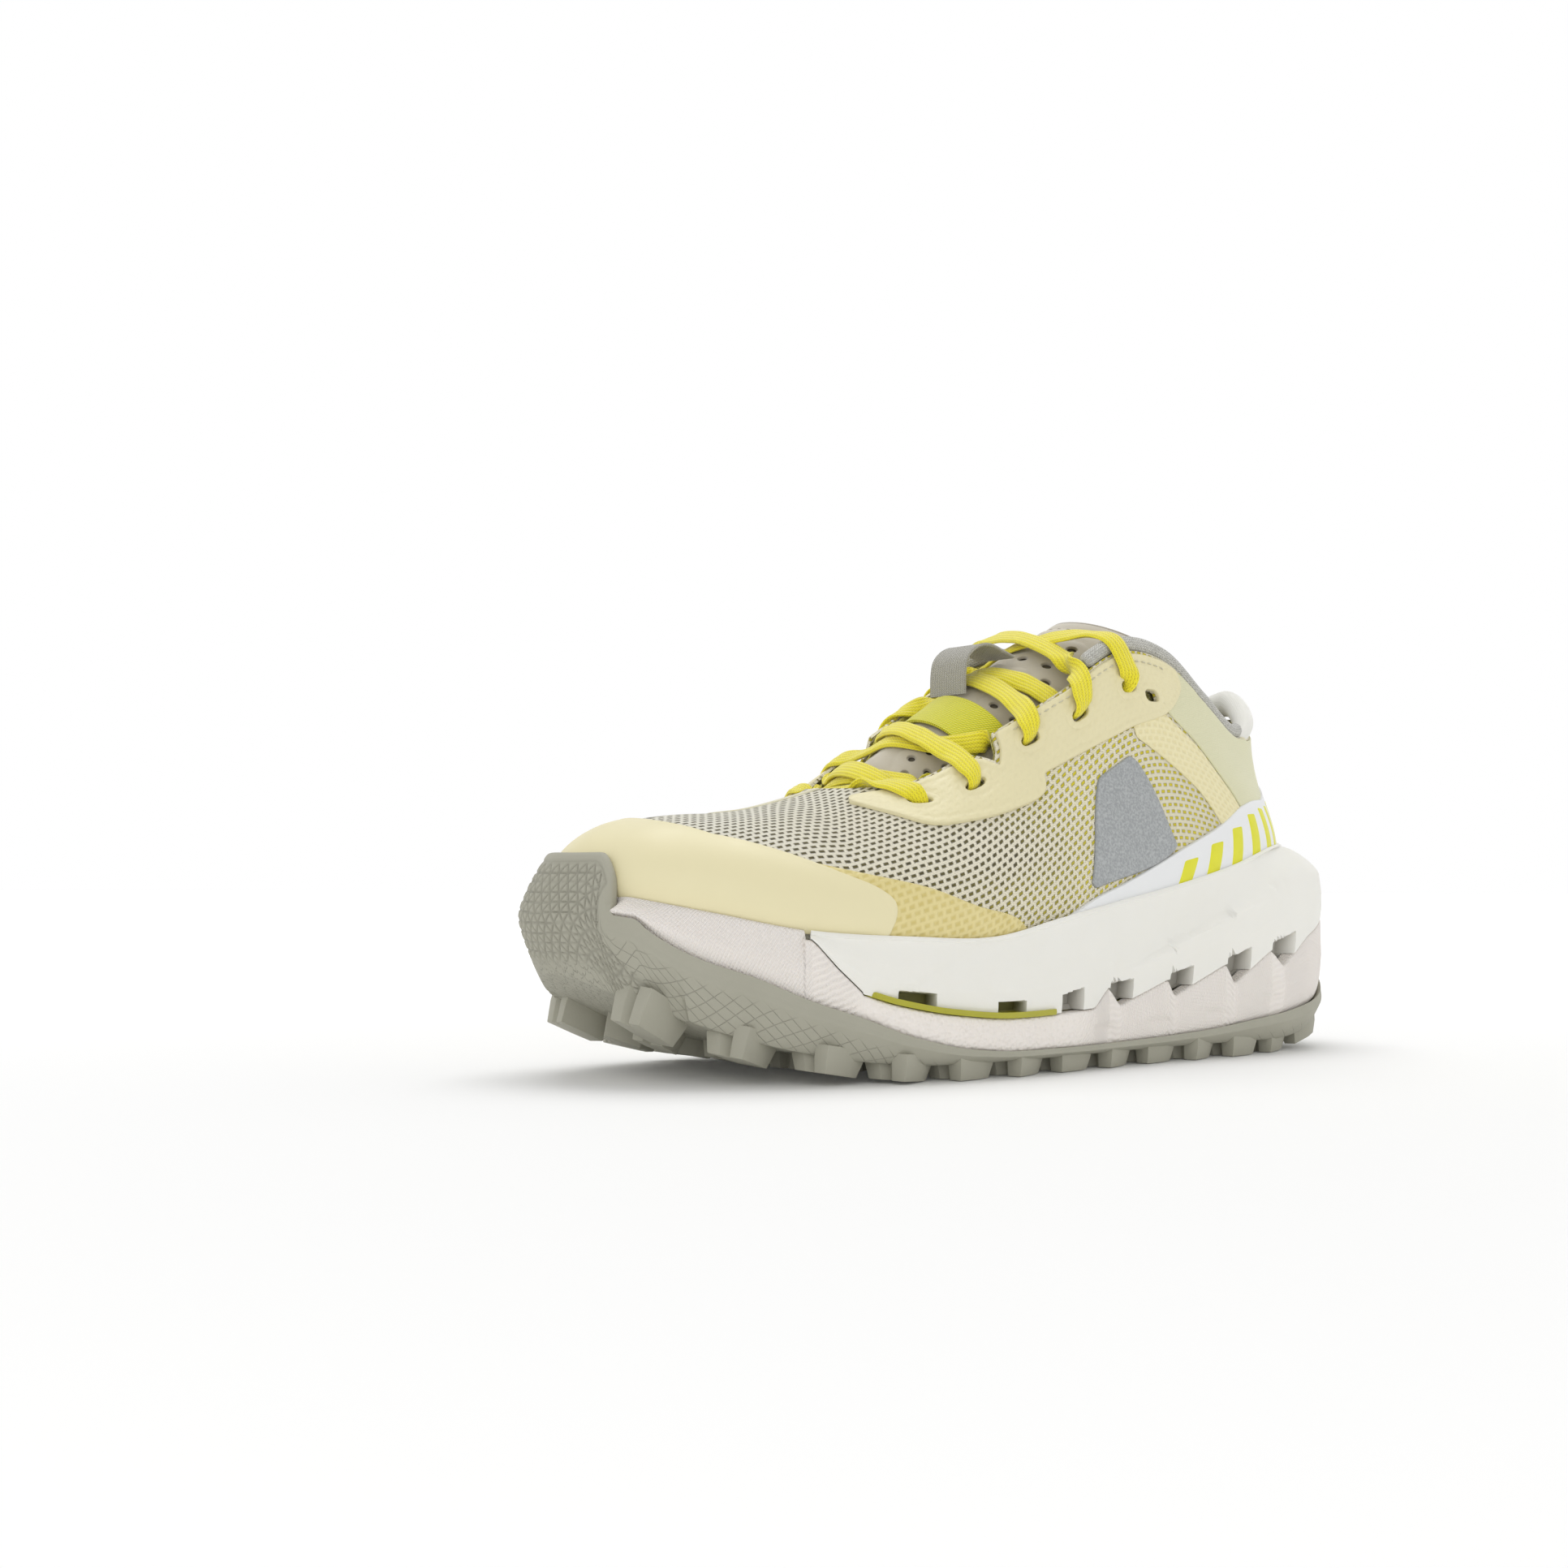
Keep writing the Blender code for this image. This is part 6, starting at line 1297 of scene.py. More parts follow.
keys = [A.inner(f_row, 0.3, plus(footbed_z, -0.5)), A.inner(f_row, 0.65, plus(footbed_z, -0.3)), f_row,
        blend_row(A.bite(-2.0, plus(footbed_z, 3)), A.bite(-2.0, plus(footbed_z, 3)), slab),
        blend_row(A.bite(0.4, A.zb - 0.5), A.bite(0.3, A.zb - 0.5), slab),
        blend_row(A.bite(1.0, A.zb + 0.7), A.bite(0.4, A.zb - 0.4), slab),
        blend_row(A.bite(1.9, A.zb + 0.9), A.bite(0.5, A.zb - 0.3), slab),
        blend_row(A.bite(2.6, A.zb + 0.45), A.bite(0.55, A.zb - 0.4), slab)]
wall_rows = []
for share in np.concatenate([np.linspace(1.0, 0.45, 14)[:-1], np.linspace(0.45, 0.0, 34)]):
    p = white_wall(float(share))
    wall_rows.append((share, p))
tz = []
for share, p in wall_rows:
    tz.append(p)
body_rows = [blend_row(p, A.bite(0.6, A.zb - 0.5 - 0.9 * (1 - share)), slab) for share, p in wall_rows if share * 1.0 >= 0]
# moulded relief of the side wall: a long rising step towards the heel, and a shallow facet behind the front panel
STEP_LINE = np.array([(2.0, 28.0), (18.5, 31.0), (36.4, 37.0), (55.9, 43.8), (74.0, 50.7), (93.7, 59.2), (112.0, 65.0)])


def relief(row, x):
    z = row[:, 2]
    line = np.interp(x, STEP_LINE[:, 0], STEP_LINE[:, 1])
    below = line - z
    on = smoothstep(x, 4.0, 30.0) * smoothstep(118.0 - x, 0.0, 12.0)
    bulge = on * 1.9 * smoothstep(below, -0.8, 0.9) * np.exp(-np.clip(below, 0, None) / 11.0)
    face = np.interp(x, [-84, -80, -57, -50], [0, 25, 36, 40])
    hollow = -0.7 * smoothstep(face - z, -0.6, 1.2) * smoothstep(x, -84, -78) * smoothstep(-20 - x, 0, 30)
    scoop = -1.3 * np.exp(-((z - (line + 6)) / 5.0) ** 2) * on
    return bulge + hollow + scoop


body_rows = [into(r, relief(r, A.x) * (1 - front) * (1 - draw) * (1 - close * 0.5)) for r in body_rows]
# the notches: rows just above and below their roof line
lower = []
for r in body_rows:
    inside = pock * smoothstep(roof - r[:, 2], -0.2, 0.3) * (1 - front)
    lower.append(into(r, -6.6 * inside))
rows = keys + lower
rows += [blend_row(into(A.out(-5.0 + 0.9 * close, A.zs + GAP), -0.4 * pock), A.bite(0.4, A.zb - 1.5), slab_low),
         blendw(A.out(-6.2, plus(plate_z, ROOM)), A.bite(-2.2, plus(plate_z, ROOM)), np.clip(front + close, 0, 1))]
last = rows[-1]
rows += [A.inner(last, k, plus(plate_z, ROOM)) for k in (0.65, 0.3)]
# how far inside a notch a point lies; it masks the painted shade there
def pocket_depth(Q):
    z, x = Q[..., 2], np.broadcast_to(A.x, Q.shape[:2])
    inside = np.broadcast_to(pock, Q.shape[:2]) * smoothstep(np.broadcast_to(roof, Q.shape[:2]) - z, -0.1, 0.5)
    k = np.arange(Q.shape[0])[:, None] >= len(keys) + 4
    return inside * k


# the notches carry painted shade through two attributes
ring_piece("midsole_upper_foam", rows, M["white"], attrs={"pocket_shade": pocket_depth, "olive_pocket_shade": lambda Q: pocket_depth(Q) * (Q[..., 0] < -30)}, stands=["midsole_upper"], slot="white_foam", smooth=38)

# lower midsole foam
B = Section(stations(0.07, (-103.6, -104.3, -102.0, -95.0, -88.0) + tuple(TOOTH_X), ((1.30, 1.95, 0.035),)))
rim = (B.x < -104.0).astype(float)
near = ((B.x < -98.0) & (B.x > -104.0)).astype(float)
toe = B.bumper
side_mid = np.where(rim > 0, B.zo + 0.5 * (B.zb - B.zo), B.zo + 0.5 * (B.zs - B.zo))
side_mid = toe * 46.0 + (1 - toe) * side_mid
low_seat = blendw(B.out(-5.8, plate_z), B.bite(-0.8, plate_z), np.clip(rim + near, 0, 1))
base = B.out(-8.0, plus(underside_z, OUTSOLE_T + GAP))
corner_d = -1.8 - 3.2 * B.bumper
corner_z = toe * 39.5 + (1 - toe) * np.minimum(B.zo + GAP, side_mid - 0.6)
keys = [
    B.inner(low_seat, 0.3, plate_z), B.inner(low_seat, 0.65, plate_z), low_seat,
    blendw(B.out(-4.6 + 1.2 * near, B.zs), B.bite(-0.7, plus(footbed_z, -0.1)), rim),
    blendw(B.out(-2.6, B.zs), B.bite(0.3, B.zb - 0.5), rim),
    blendw(B.out(-1.2, B.zs - 0.05), B.bite(1.4 - 0.6 * B.bumper, B.zb + 0.7 - 0.8 * B.bumper), rim),
    blendw(B.out(-0.35, B.zs - 0.7), B.bite(2.6 - 1.7 * B.bumper, B.zb - 0.2 - 0.9 * B.bumper), rim),
    B.out(-4.9 * B.bumper * rim - 0.2 * toe, side_mid),
    B.out(corner_d, corner_z),
    base, B.inner(base, 0.6, plus(underside_z, OUTSOLE_T + GAP)), B.inner(base, 0.25, plus(underside_z, OUTSOLE_T + GAP))]
plan = [(1, "line"), (1, "line"), (1, "line"), (2, "line"), (2, "line"), (3, "curve"), (10, "line"), (10, "curve"), (3, "line"), (1, "line"), (1, "line")]
rows = runs(keys, plan)


def facets(row, x):
    """Small pressed triangles low on the heel wall, one under each tooth."""
    out = np.zeros(len(x))
    for x0, z0 in ((-4.0, 10.5), (24.0, 11.5), (51.0, 13.0), (79.0, 16.5)):
        u, w = x - x0, row[:, 2] - z0
        inside = np.minimum.reduce([u, (11.0 - u) * 0.75 - np.abs(w - (u - 5.5) * 0.25) * 0.2, 3.2 - np.abs(w)])
        out -= 0.7 * smoothstep(inside, 0.0, 0.8) * smoothstep(w, -3.2, 3.0) * (u > 0)
    return out


rows = [np.concatenate([r[:, :2] + (facets(r, B.x) * (1 - rim))[:, None] * B.n, r[:, 2:]], 1) for r in rows]


def rib_zone(P):
    x = P[..., 0]
    low = 1 - smoothstep(x, -92.0, -86.0)
    heel = smoothstep(x, -16.0, -4.0) * 0.8
    return np.clip(low + heel, 0, 1)


def pebble_zone(P):
    x = P[..., 0]
    return smoothstep(x, -92.0, -84.0) * (1 - smoothstep(x, -14.0, -2.0))


ring_piece("midsole_lower_foam", rows, M["carrier"], attrs={"ribs": rib_zone, "pebble": pebble_zone}, stands=["midsole_lower"], slot="carrier_foam", smooth=38)

# flex plate: its lip shows along the waist
C = Section(stations(0.1, (-88.0, -19.0)))
lip = np.interp(C.x, [-90, -86, -21, -17], [-6.8, 0.55, 0.55, -6.8])
edge = blendw(C.out(lip, plus(plate_z, PLATE_GAP - 0.42)), C.bite(-3.2, plus(plate_z, PLATE_GAP)), (C.x < -100).astype(float))
top = edge + np.stack([0 * C.x, 0 * C.x, PLATE_T - 0.1 + 0.75 * (lip > -1)], 1)
mid = 0.5 * (edge + top)
mid[:, :2] += 0.25 * C.n
ring_piece("flex_plate_blade", [C.inner(top, 0.3, plus(plate_z, PLATE_GAP + PLATE_T - 0.1)), C.inner(top, 0.65, plus(plate_z, PLATE_GAP + PLATE_T - 0.1)), top, mid, edge,
                                C.inner(edge, 0.65, plus(plate_z, PLATE_GAP)), C.inner(edge, 0.3, plus(plate_z, PLATE_GAP))], M["plate"],
           stands=["flex_plate"], slot="plate_nylon")

# strobel board and sockliner
F = Section(stations(0.2))
board = F.bite(-3.4, plus(footbed_z, 0.5))
ring_piece("strobel_felt_board", [F.inner(board, 0.3, plus(footbed_z, 1.3)), F.inner(board, 0.65, plus(footbed_z, 1.4)), board + [0, 0, 1.1], board,
                                  F.inner(board, 0.65, plus(footbed_z, 0.3)), F.inner(board, 0.3, plus(footbed_z, 0.2))], M["board"],
           stands=["strobel_board"], slot="strobel_fabric")
sock = F.bite(-8.0, plus(footbed_z, 2.3))
keys = [F.inner(sock, 0.12, plus(footbed_z, 5.1)), F.inner(sock, 0.4, plus(footbed_z, 5.15)), F.inner(sock, 0.65, plus(footbed_z, 5.3)), F.inner(sock, 0.84, plus(footbed_z, 5.8)),
        F.bite(-9.9, plus(footbed_z, 7.9)), F.bite(-9.0, plus(footbed_z, 8.7)), F.bite(-8.1, plus(footbed_z, 8.3)), sock,
        F.inner(sock, 0.65, plus(footbed_z, 1.9)), F.inner(sock, 0.3, plus(footbed_z, 1.8))]
rows = runs(keys, [(3, "curve"), (3, "curve"), (3, "curve"), (4, "curve"), (2, "curve"), (2, "curve"), (2, "line"), (1, "line"), (1, "line")])
ob = ring_piece("sockliner_pad", rows, M["sock"], body="insole", stands=["sockliner"], slot="sockliner_fabric", smooth=60)


# ---------------------------------------------------------------- rubber outsole
def wall_at(s, z, d):
    ts = np.linspace(0, 0.5, 61)
    S, T = np.meshgrid(s, ts, indexing="ij")
    Z = upper(S, T)[..., 2]
    t = np.array([np.interp(zz, row, ts) for zz, row in zip(z, Z)])
    return upper(s, t) + d * upper_normal(s, t)


D = Section(stations(0.07, (-103.6, -104.3), ((0.0, 1.96, 0.0165),)))
# the bumper's top edge is level over the toe, turns a round corner and sweeps down into the edge beside the foam
W = D.bumper
Wn = W[:, None]
has = D.m < 2.0
ztop = 61.0 - 9.5 * np.clip((D.m - 1.02) / 0.60, 0, 1) ** 2.4
rimd = D.x < -104.0
side_mid = np.where(rimd, D.zo + 0.5 * (D.zb - D.zo), D.zo + 0.5 * (D.zs - D.zo))
zline = np.minimum(D.zo + GAP, side_mid - 0.6)
c0 = np.stack([-1.8 - 3.2 * D.bumper, W * 39.5 + (1 - W) * np.minimum(D.zo + GAP, W * 46.0 + (1 - W) * side_mid - 0.6)], 1)
c1 = np.stack([0 * D.x - 8.0, underside_z(D.o[:, 0]) + OUTSOLE_T + GAP], 1)
line = c0 - c1
away = unit(np.stack([line[:, 1], -line[:, 0]], 1))
o0, o1 = c0 + 0.5 * away, c1 + 0.5 * away
low_in = D.out(o1[:, 0], plus(underside_z, OUTSOLE_T - 0.2))
foot_in = D.out(o0[:, 0], o0[:, 1])


def at_toe(fn):
    """Toe values where the bumper is, zeros elsewhere."""
    out = np.zeros((len(D.s), 3))
    out[has] = fn(D.s[has], has)
    return out


def toe_mix(toe_row, side_row):
    return np.where(has[:, None], Wn * toe_row + (1 - Wn) * side_row, side_row)


lip_side = D.out(np.minimum(o0[:, 0] + 0.2, -0.7), np.maximum(o0[:, 1] + 0.15, 0))
crest_side = D.out(-0.2, np.maximum(o0[:, 1], zline + 0.3) + 0.2)
belly = D.out(0.0, W * 43.5 + (1 - W) * (o0[:, 1] - 0.3 * (o0[:, 1] - underside_z(D.o[:, 0]))))
top_side = 0.7 * lip_side + 0.3 * crest_side + [0, 0, 0.08]
lip_in = toe_mix(D.out(-3.0, 45.0), lip_side)
top_in = toe_mix(at_toe(lambda s, k: wall_at(s, ztop[k], 1.4)), top_side)
crest = toe_mix(at_toe(lambda s, k: wall_at(s, ztop[k] - 0.3, 4.2)), crest_side)
cap = toe_mix(at_toe(lambda s, k: wall_at(s, ztop[k] + 0.9, 2.9)), 0.5 * (top_side + crest_side))
mid_in = toe_mix(at_toe(lambda s, k: wall_at(s, np.minimum(54.0, ztop[k] - 4), 1.6)), 0.9 * lip_side + 0.1 * top_side)
mid_out = toe_mix(0.5 * (at_toe(lambda s, k: wall_at(s, np.minimum(ztop[k] - 1, 53.0), 5.8)) + D.out(-0.5, 51.0)), 0.5 * (crest_side + belly))
under_d = np.where(D.m < 2.6, -7.0, -4.5)
under = D.out(under_d, underside_z)
shoulder = D.out(under_d * 0.35, lambda x: underside_z(x) + 1.6)
keys = [D.inner(low_in, 0.25, plus(underside_z, OUTSOLE_T)), D.inner(low_in, 0.6, plus(underside_z, OUTSOLE_T)), low_in, foot_in, lip_in, mid_in, top_in, cap, crest, mid_out, belly,
        under, D.inner(under, 0.8, underside_z), D.inner(under, 0.55, underside_z), D.inner(under, 0.25, underside_z)]
plan = [(1, "line"), (1, "line"), (1, "line"), (1, "line"), (1, "line"), (2, "line"), (2, "curve"), (3, "curve"), (20, "curve"), (20, "curve"), (36, "curve"),
        (8, "line"), (6, "line"), (6, "line")]
rows = runs(keys, plan)
P = np.stack(rows)
run = np.concatenate([[0], np.cumsum(np.linalg.norm(np.diff(belly, axis=0), axis=1))])
run = run - run[np.argmin(np.abs(D.s - 0.0))]
half = np.where(D.s > HALF, run - run[-1] - np.linalg.norm(belly[0] - belly[-1]), run)      # signed length from the toe's centre
down = np.concatenate([np.zeros((1, len(D.s))), np.cumsum(np.linalg.norm(np.diff(P, axis=0), axis=2), 0)])
start = plan and sum(n for n, _ in plan[:8])                                                # row index of the crest
down = down - down[start]
dx = np.gradient(P, axis=1)
dv = np.gradient(P, axis=0)
NN = unit(np.cross(dx, dv))
centre = P[:, :, :2].mean(axis=(0, 1))
out_sign = np.sign(np.sum(NN[start + 6, :, :2] * D.n, -1)).mean()
NN = NN * (1 if out_sign > 0 else -1)
U, V = np.broadcast_to(half, down.shape), down
g = np.zeros_like(down)
for a, b in ((0.0, 1.0), (0.866, 0.5), (-0.866, 0.5)):
    w = (U * a + (V - 2.6) * b) / 3.0
    g = np.maximum(g, np.exp(-(((w - np.round(w)) * 3.0) / 0.32) ** 2))
M_ALL = np.broadcast_to(D.m, down.shape)
border = np.minimum(V - 2.5, (1.44 - M_ALL) * 16.0 + 0.9 * np.clip(V - 6.0, 0, None))
border = np.minimum(border, (3.1 - M_ALL) * 16.0)
on_bumper = smoothstep(border, 0.0, 0.5) * smoothstep(34.0 - V, 0.0, 4.0) * (np.arange(len(rows))[:, None] >= start)
P = P - NN * (g * on_bumper * 0.50)[..., None]
rim_line = np.exp(-((border + 0.5) / 0.5) ** 2) * (np.arange(len(rows))[:, None] >= start) * (V < 20) * (M_ALL < 1.5)
P = P - NN * (rim_line * 0.35)[..., None]
bumper_on = on_bumper
# mask of painted shade for the bumper's grooves and rim line
cut_shade_mask = g * on_bumper + 0.6 * rim_line


def groove_zone(Q):
    z0 = Q[..., 2]
    k = (np.arange(len(rows))[:, None] >= start + 3) * np.ones_like(z0)
    return np.clip(k * (1 - bumper_on) * smoothstep(down, 5.0, 8.0), 0, 1)


shell_rows = [P[i] for i in range(len(rows))]
sole = ring_piece("outsole_sheet", shell_rows, M["rubber"], attrs={"groove": groove_zone, "cut": lambda Q: cut_shade_mask + 0 * Q[..., 2]}, stands=["outsole"], slot="outsole_rubber", smooth=40)


def lug_mesh(x, y, length, width, turn, bm, uvl, notch=True):
    """Tapered block with a v-shaped notch in its leading face, edges rounded."""
    slope = float((underside_z(np.array(x + 2.0)) - underside_z(np.array(x - 2.0))) / 4.0)
    z0 = float(underside_z(np.array(float(x))))
    c, s_ = math.cos(turn), math.sin(turn)
    ring = [(-1.0, -1.0), (0.25, -1.0), (1.0, -0.82), (1.0, 0.82), (0.25, 1.0), (-1.0, 1.0)]
    if notch:
        ring += [(-1.0, 0.30), (-0.62, 0.0), (-1.0, -0.30)]
    tall = LUG_H + 1.6 * float(smoothstep(-x, 98.0, 126.0))
    levels = ((3.2, 1.04), (-0.4, 1.0), (-tall, 0.86))
    loops = []
    for z, k in levels:
        loop = []
        for a, b in ring:
            u, v = a * length / 2 * k, b * width / 2 * k
            px, py = x + u * c - v * s_, y + u * s_ + v * c
            pz = z0 + z + slope * (px - x) if abs(slope) > 0.01 else z0 + z
            px2 = px - slope * z if abs(slope) > 0.01 else px
            loop.append(bm.verts.new(tuple((np.array((px2, py, max(0.0, pz))) + SHIFT) * 0.001)))
        loops.append(loop)
    n = len(ring)
    made = []
    for l0, l1 in zip(loops, loops[1:]):
        for k in range(n):
            made.append(bm.faces.new((l0[k], l0[(k + 1) % n], l1[(k + 1) % n], l1[k])))
    made.append(bm.faces.new(loops[0][::-1]))
    made.append(bm.faces.new(loops[-1]))
    return made


bm = bmesh.new()
half_s = np.linspace(0, HALF, 400)
lat_x, lat_y = catmull(OUT, half_s).T
med_x, med_y = catmull(OUT, FULL - half_s).T
for k in range(13):
    x = -133.2 + 20.6 * k
    yl, ym = float(np.interp(x, lat_x, lat_y)), float(np.interp(x, med_x, med_y))
    tilt = 0.35 if k % 2 else 0.15
    inset = 9.2 if 1 < k < 11 else 12.0
    lug_mesh(x, yl + inset, 15.5, 13.5, tilt, bm, None)
    lug_mesh(x + 5, ym - inset, 15.5, 13.5, -tilt, bm, None)
    if ym - yl > 68:
        mid = 0.5 * (yl + ym)
        lug_mesh(x + 12, mid - 9.0, 12.0, 11, 0.5, bm, None)
        lug_mesh(x + 12, mid + 9.5, 12.0, 11, -0.5, bm, None)
bmesh.ops.recalc_face_normals(bm, faces=bm.faces)
bmesh.ops.bevel(bm, geom=[e for e in bm.edges if e.calc_face_angle(0) > 0.35], offset=0.0003, segments=2, profile=0.6, affect="EDGES")
layer = bm.loops.layers.uv.new("UVMap")
for face in bm.faces:
    for loop in face.loops:
        loop[layer].uv = (loop.vert.co.x * 1000 + 300, (loop.vert.co.y + loop.vert.co.z) * 1000 + 100)
me = bpy.data.meshes.new("outsole_lugs")
bm.to_mesh(me)
bm.free()
me.shade_smooth()
me.set_sharp_from_angle(angle=math.radians(28))
for tag in ("groove", "cut"):
    a = me.attributes.new(tag, "FLOAT", "POINT")
    a.data.foreach_set("value", np.zeros(len(me.vertices), np.float32))
me.materials.append(M["rubber"])
lugs = bpy.data.objects.new("outsole_lugs", me)
bpy.context.scene.collection.objects.link(lugs)
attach(lugs, "shoe")

# ---------------------------------------------------------------- tongue
TONGUE_LINE = [(-79, 4, 71.6), (-63, 4, 78.4), (-45, 4, 91.8), (-27, 4, 104.5), (-8, 4, 116.5), (12, 4.5, 128.8), (36, 5, 141.5)]
TONGUE_LAT = [20, 20.5, 21.5, 23.5, 27.0, 28.5, 28.5]
TONGUE_MED = [21, 21, 21, 20.0, 19.0, 18.5, 18.5]
TONGUE_DROP = [5.5, 9.5, 16, 17, 17, 16, 13]
TONGUE_BACK = [5, 5, 5, 6, 8, 13, 21]


def tongue_row(table, p):
    a = np.array(table, float).reshape(len(table), -1)
    x = np.clip(np.asarray(p, float), 0, 1) * (len(a) - 1)
    k = np.clip(x.astype(int), 0, len(a) - 2)
    f = (x - k)[..., None]
    g = np.vstack([2 * a[0] - a[1], a, 2 * a[-1] - a[-2]])
    p0, p1, p2, p3 = g[k], g[k + 1], g[k + 2], g[k + 3]
    return 0.5 * (2 * p1 + (p2 - p0) * f + (2 * p0 - 5 * p1 + 4 * p2 - p3) * f ** 2 + (3 * p1 - p0 - 3 * p2 + p3) * f ** 3)


def tongue(p, q):
    p, q = np.broadcast_arrays(np.asarray(p, float), np.asarray(q, float))
    c = tongue_row(TONGUE_LINE, p)
    w = np.where(q < 0, tongue_row(TONGUE_LAT, p)[..., 0], tongue_row(TONGUE_MED, p)[..., 0])
    d, b = (tongue_row(t, p)[..., 0] for t in (TONGUE_DROP, TONGUE_BACK))
    return np.stack([c[..., 0] + b * q * q, c[..., 1] + w * np.sin(1.25 * q) / math.sin(1.25), c[..., 2] - d * np.abs(q) ** 1.9], -1)


def tongue_skin(p, q):
    p, q = np.asarray(p, float), np.asarray(q, float)
    a = tongue(np.minimum(p + 0.01, 1), q) - tongue(np.maximum(p - 0.01, 0), q)
    b = tongue(p, np.minimum(q + 0.02, 1)) - tongue(p, np.maximum(q - 0.02, -1))
    return tongue(p, q), unit(np.cross(a, b))


def tongue_at(p, q, h):
    P, N = tongue_skin(np.atleast_1d(p), np.atleast_1d(q))
    return (P + h * N)[0]


TONGUE = (137.0, 27.0)
dot = np.linspace(0, 2 * math.pi, 13)[:-1]
holes = []
for p, shares in ((0.30, (-0.62, 0.62)), (0.345, (-0.78, -0.5, 0.5, 0.78)), (0.39, (-0.66, -0.4, 0.4, 0.66)), (0.435, (-0.74, -0.48, 0.48, 0.74)), (0.475, (-0.6, -0.34, 0.34, 0.6)),
                  (0.645, (-0.74, -0.48, 0.48, 0.74)),
                  (0.69, (-0.86, -0.6, 0.6, 0.86)), (0.735, (-0.74, -0.47, 0.47, 0.74)), (0.78, (-0.86, -0.6, 0.6, 0.86)),
                  (0.825, (-0.74, -0.46, -0.2, 0.2, 0.46, 0.74)), (0.87, (-0.6, -0.33, 0.33, 0.6)), (0.90, (-0.46, -0.2, 0.2, 0.46))):
    for q in shares:
        holes.append([(p + 1.15 / TONGUE[0] * math.cos(a), q + 1.15 / TONGUE[1] * math.sin(a)) for a in dot])
face_outline = [(0.0, -1.0), (0.97, -1.0), (1.0, -0.88), (1.0, 0.88), (0.97, 1.0), (0.0, 1.0)]


def tongue_form(p, q, d):
    """Quilted swell between the seams: a pressed line under the top edge and along both sides."""
    return -0.35 * np.exp(-((d - 4.6) / 0.8) ** 2) + 0.5 * smoothstep(d, 4.8, 10.0)


draw_panel("tongue_face_panel", face_outline, M["tongue"], -0.9, 0.0, tongue_skin, TONGUE, holes, spacing=2.0, rings=(0.35, 0.9, 3.8, 4.6, 5.4), extra=tongue_form,
           edge=0.9, shoulder=0.3, body="tongue", stands=["tongue_face"], slot="tongue_microfibre", corner=40)
# the pad under the perforations carries painted shade in its colour
foam_piece = draw_panel("tongue_foam_pad", [(0.04, -0.95), (0.985, -0.95), (0.985, 0.95), (0.04, 0.95)], M["pad_painted_shade"], -3.3, -1.2, tongue_skin, TONGUE, spacing=4.0, rings=(0.8,),
                        edge=1.5, body="tongue", stands=["tongue_foam"], slot="pad_foam")
draw_panel("tongue_lining_panel", [(0.0, -0.99), (0.96, -0.99), (0.998, -0.9), (0.998, 0.9), (0.96, 0.99), (0.0, 0.99)], M["tongue_lining"], -4.4, -3.4, tongue_skin, TONGUE, spacing=3.0, rings=(0.5,),
           edge=0.9, shoulder=0.3, body="tongue", stands=["tongue_lining"], slot="lining_fabric", corner=40)
# rolled edge joining face and lining round the sides and tip
rim = fair_loop(face_outline, np.array(TONGUE), 1.0, 40)
P, N = tongue_skin(rim[:, 0], rim[:, 1])
keep = rim[:, 0] > 0.02
order = np.where(keep)[0]
jump = np.argmax(np.diff(order))
order = np.concatenate([order[jump + 1:], order[:jump + 1]]) if np.diff(order).max() > 1 else order
path = resample((P - 2.15 * N)[order], 1.0)
hint = np.stack([np.interp(np.linspace(0, 1, len(path)), np.linspace(0, 1, len(order)), N[order][:, k]) for k in range(3)], 1)
sd, up = frames(path, hint)
ang = np.linspace(0, 2 * math.pi, 15)[:-1]
sweep("tongue_edge_roll", path, sd, up, np.stack([np.cos(ang) * 1.25, np.sin(ang) * 2.15], 1), M["tongue"], body="tongue", slot="tongue_microfibre")


def stitches(name, surface, outline_pts, mat, body, length=2.4, gap=1.3, radius=0.22, lift=0.12):
    """Row of raised stitches along a line on a surface."""
    pts = np.asarray(outline_pts, float)
    P, N = surface(pts[:, 0], pts[:, 1])
    run = np.concatenate([[0], np.cumsum(np.linalg.norm(np.diff(P, axis=0), axis=1))])
    verts, faces, uvs = [], [], []
    at = 0.6
    sec = np.linspace(0, 2 * math.pi, 7)[:-1]
    while at + length < run[-1]:
        k = np.linspace(at, at + length, 6)
        c = np.stack([np.interp(k, run, P[:, j]) for j in range(3)], 1)
        n = unit(np.stack([np.interp(k, run, N[:, j]) for j in range(3)], 1))
        arch = np.sin(np.linspace(0, math.pi, 6))
        c = c + n * (lift * arch - 0.15 * (1 - arch))[:, None]
        t = unit(np.gradient(c, axis=0))
        w = np.cross(t, n)
        base = len(verts)
        r = radius * (0.55 + 0.45 * arch)
        for i in range(6):
            for a in sec:
                verts.append(c[i] + w[i] * math.cos(a) * r[i] * 1.2 + n[i] * math.sin(a) * r[i])
                uvs.append((k[i], a))
        f, _ = lattice(6, 6, True, base)
        faces.append(f)
        verts += [c[0] - t[0] * 0.1, c[-1] + t[-1] * 0.1]
        uvs += [(at, 0), (at + length, 0)]
        j = np.arange(6)
        faces.append(np.stack([np.full(6, base + 36), base + j, base + (j + 1) % 6], 1))
        faces.append(np.stack([np.full(6, base + 37), base + 30 + (j + 1) % 6, base + 30 + j], 1))
        at += length + gap
    quads = np.vstack([f for f in faces if f.shape[1] == 4])
    tris = np.vstack([f for f in faces if f.shape[1] == 3])
    return build(name, np.array(verts), [quads, tris], mat, body=body, uv=np.array(uvs), slot=None)


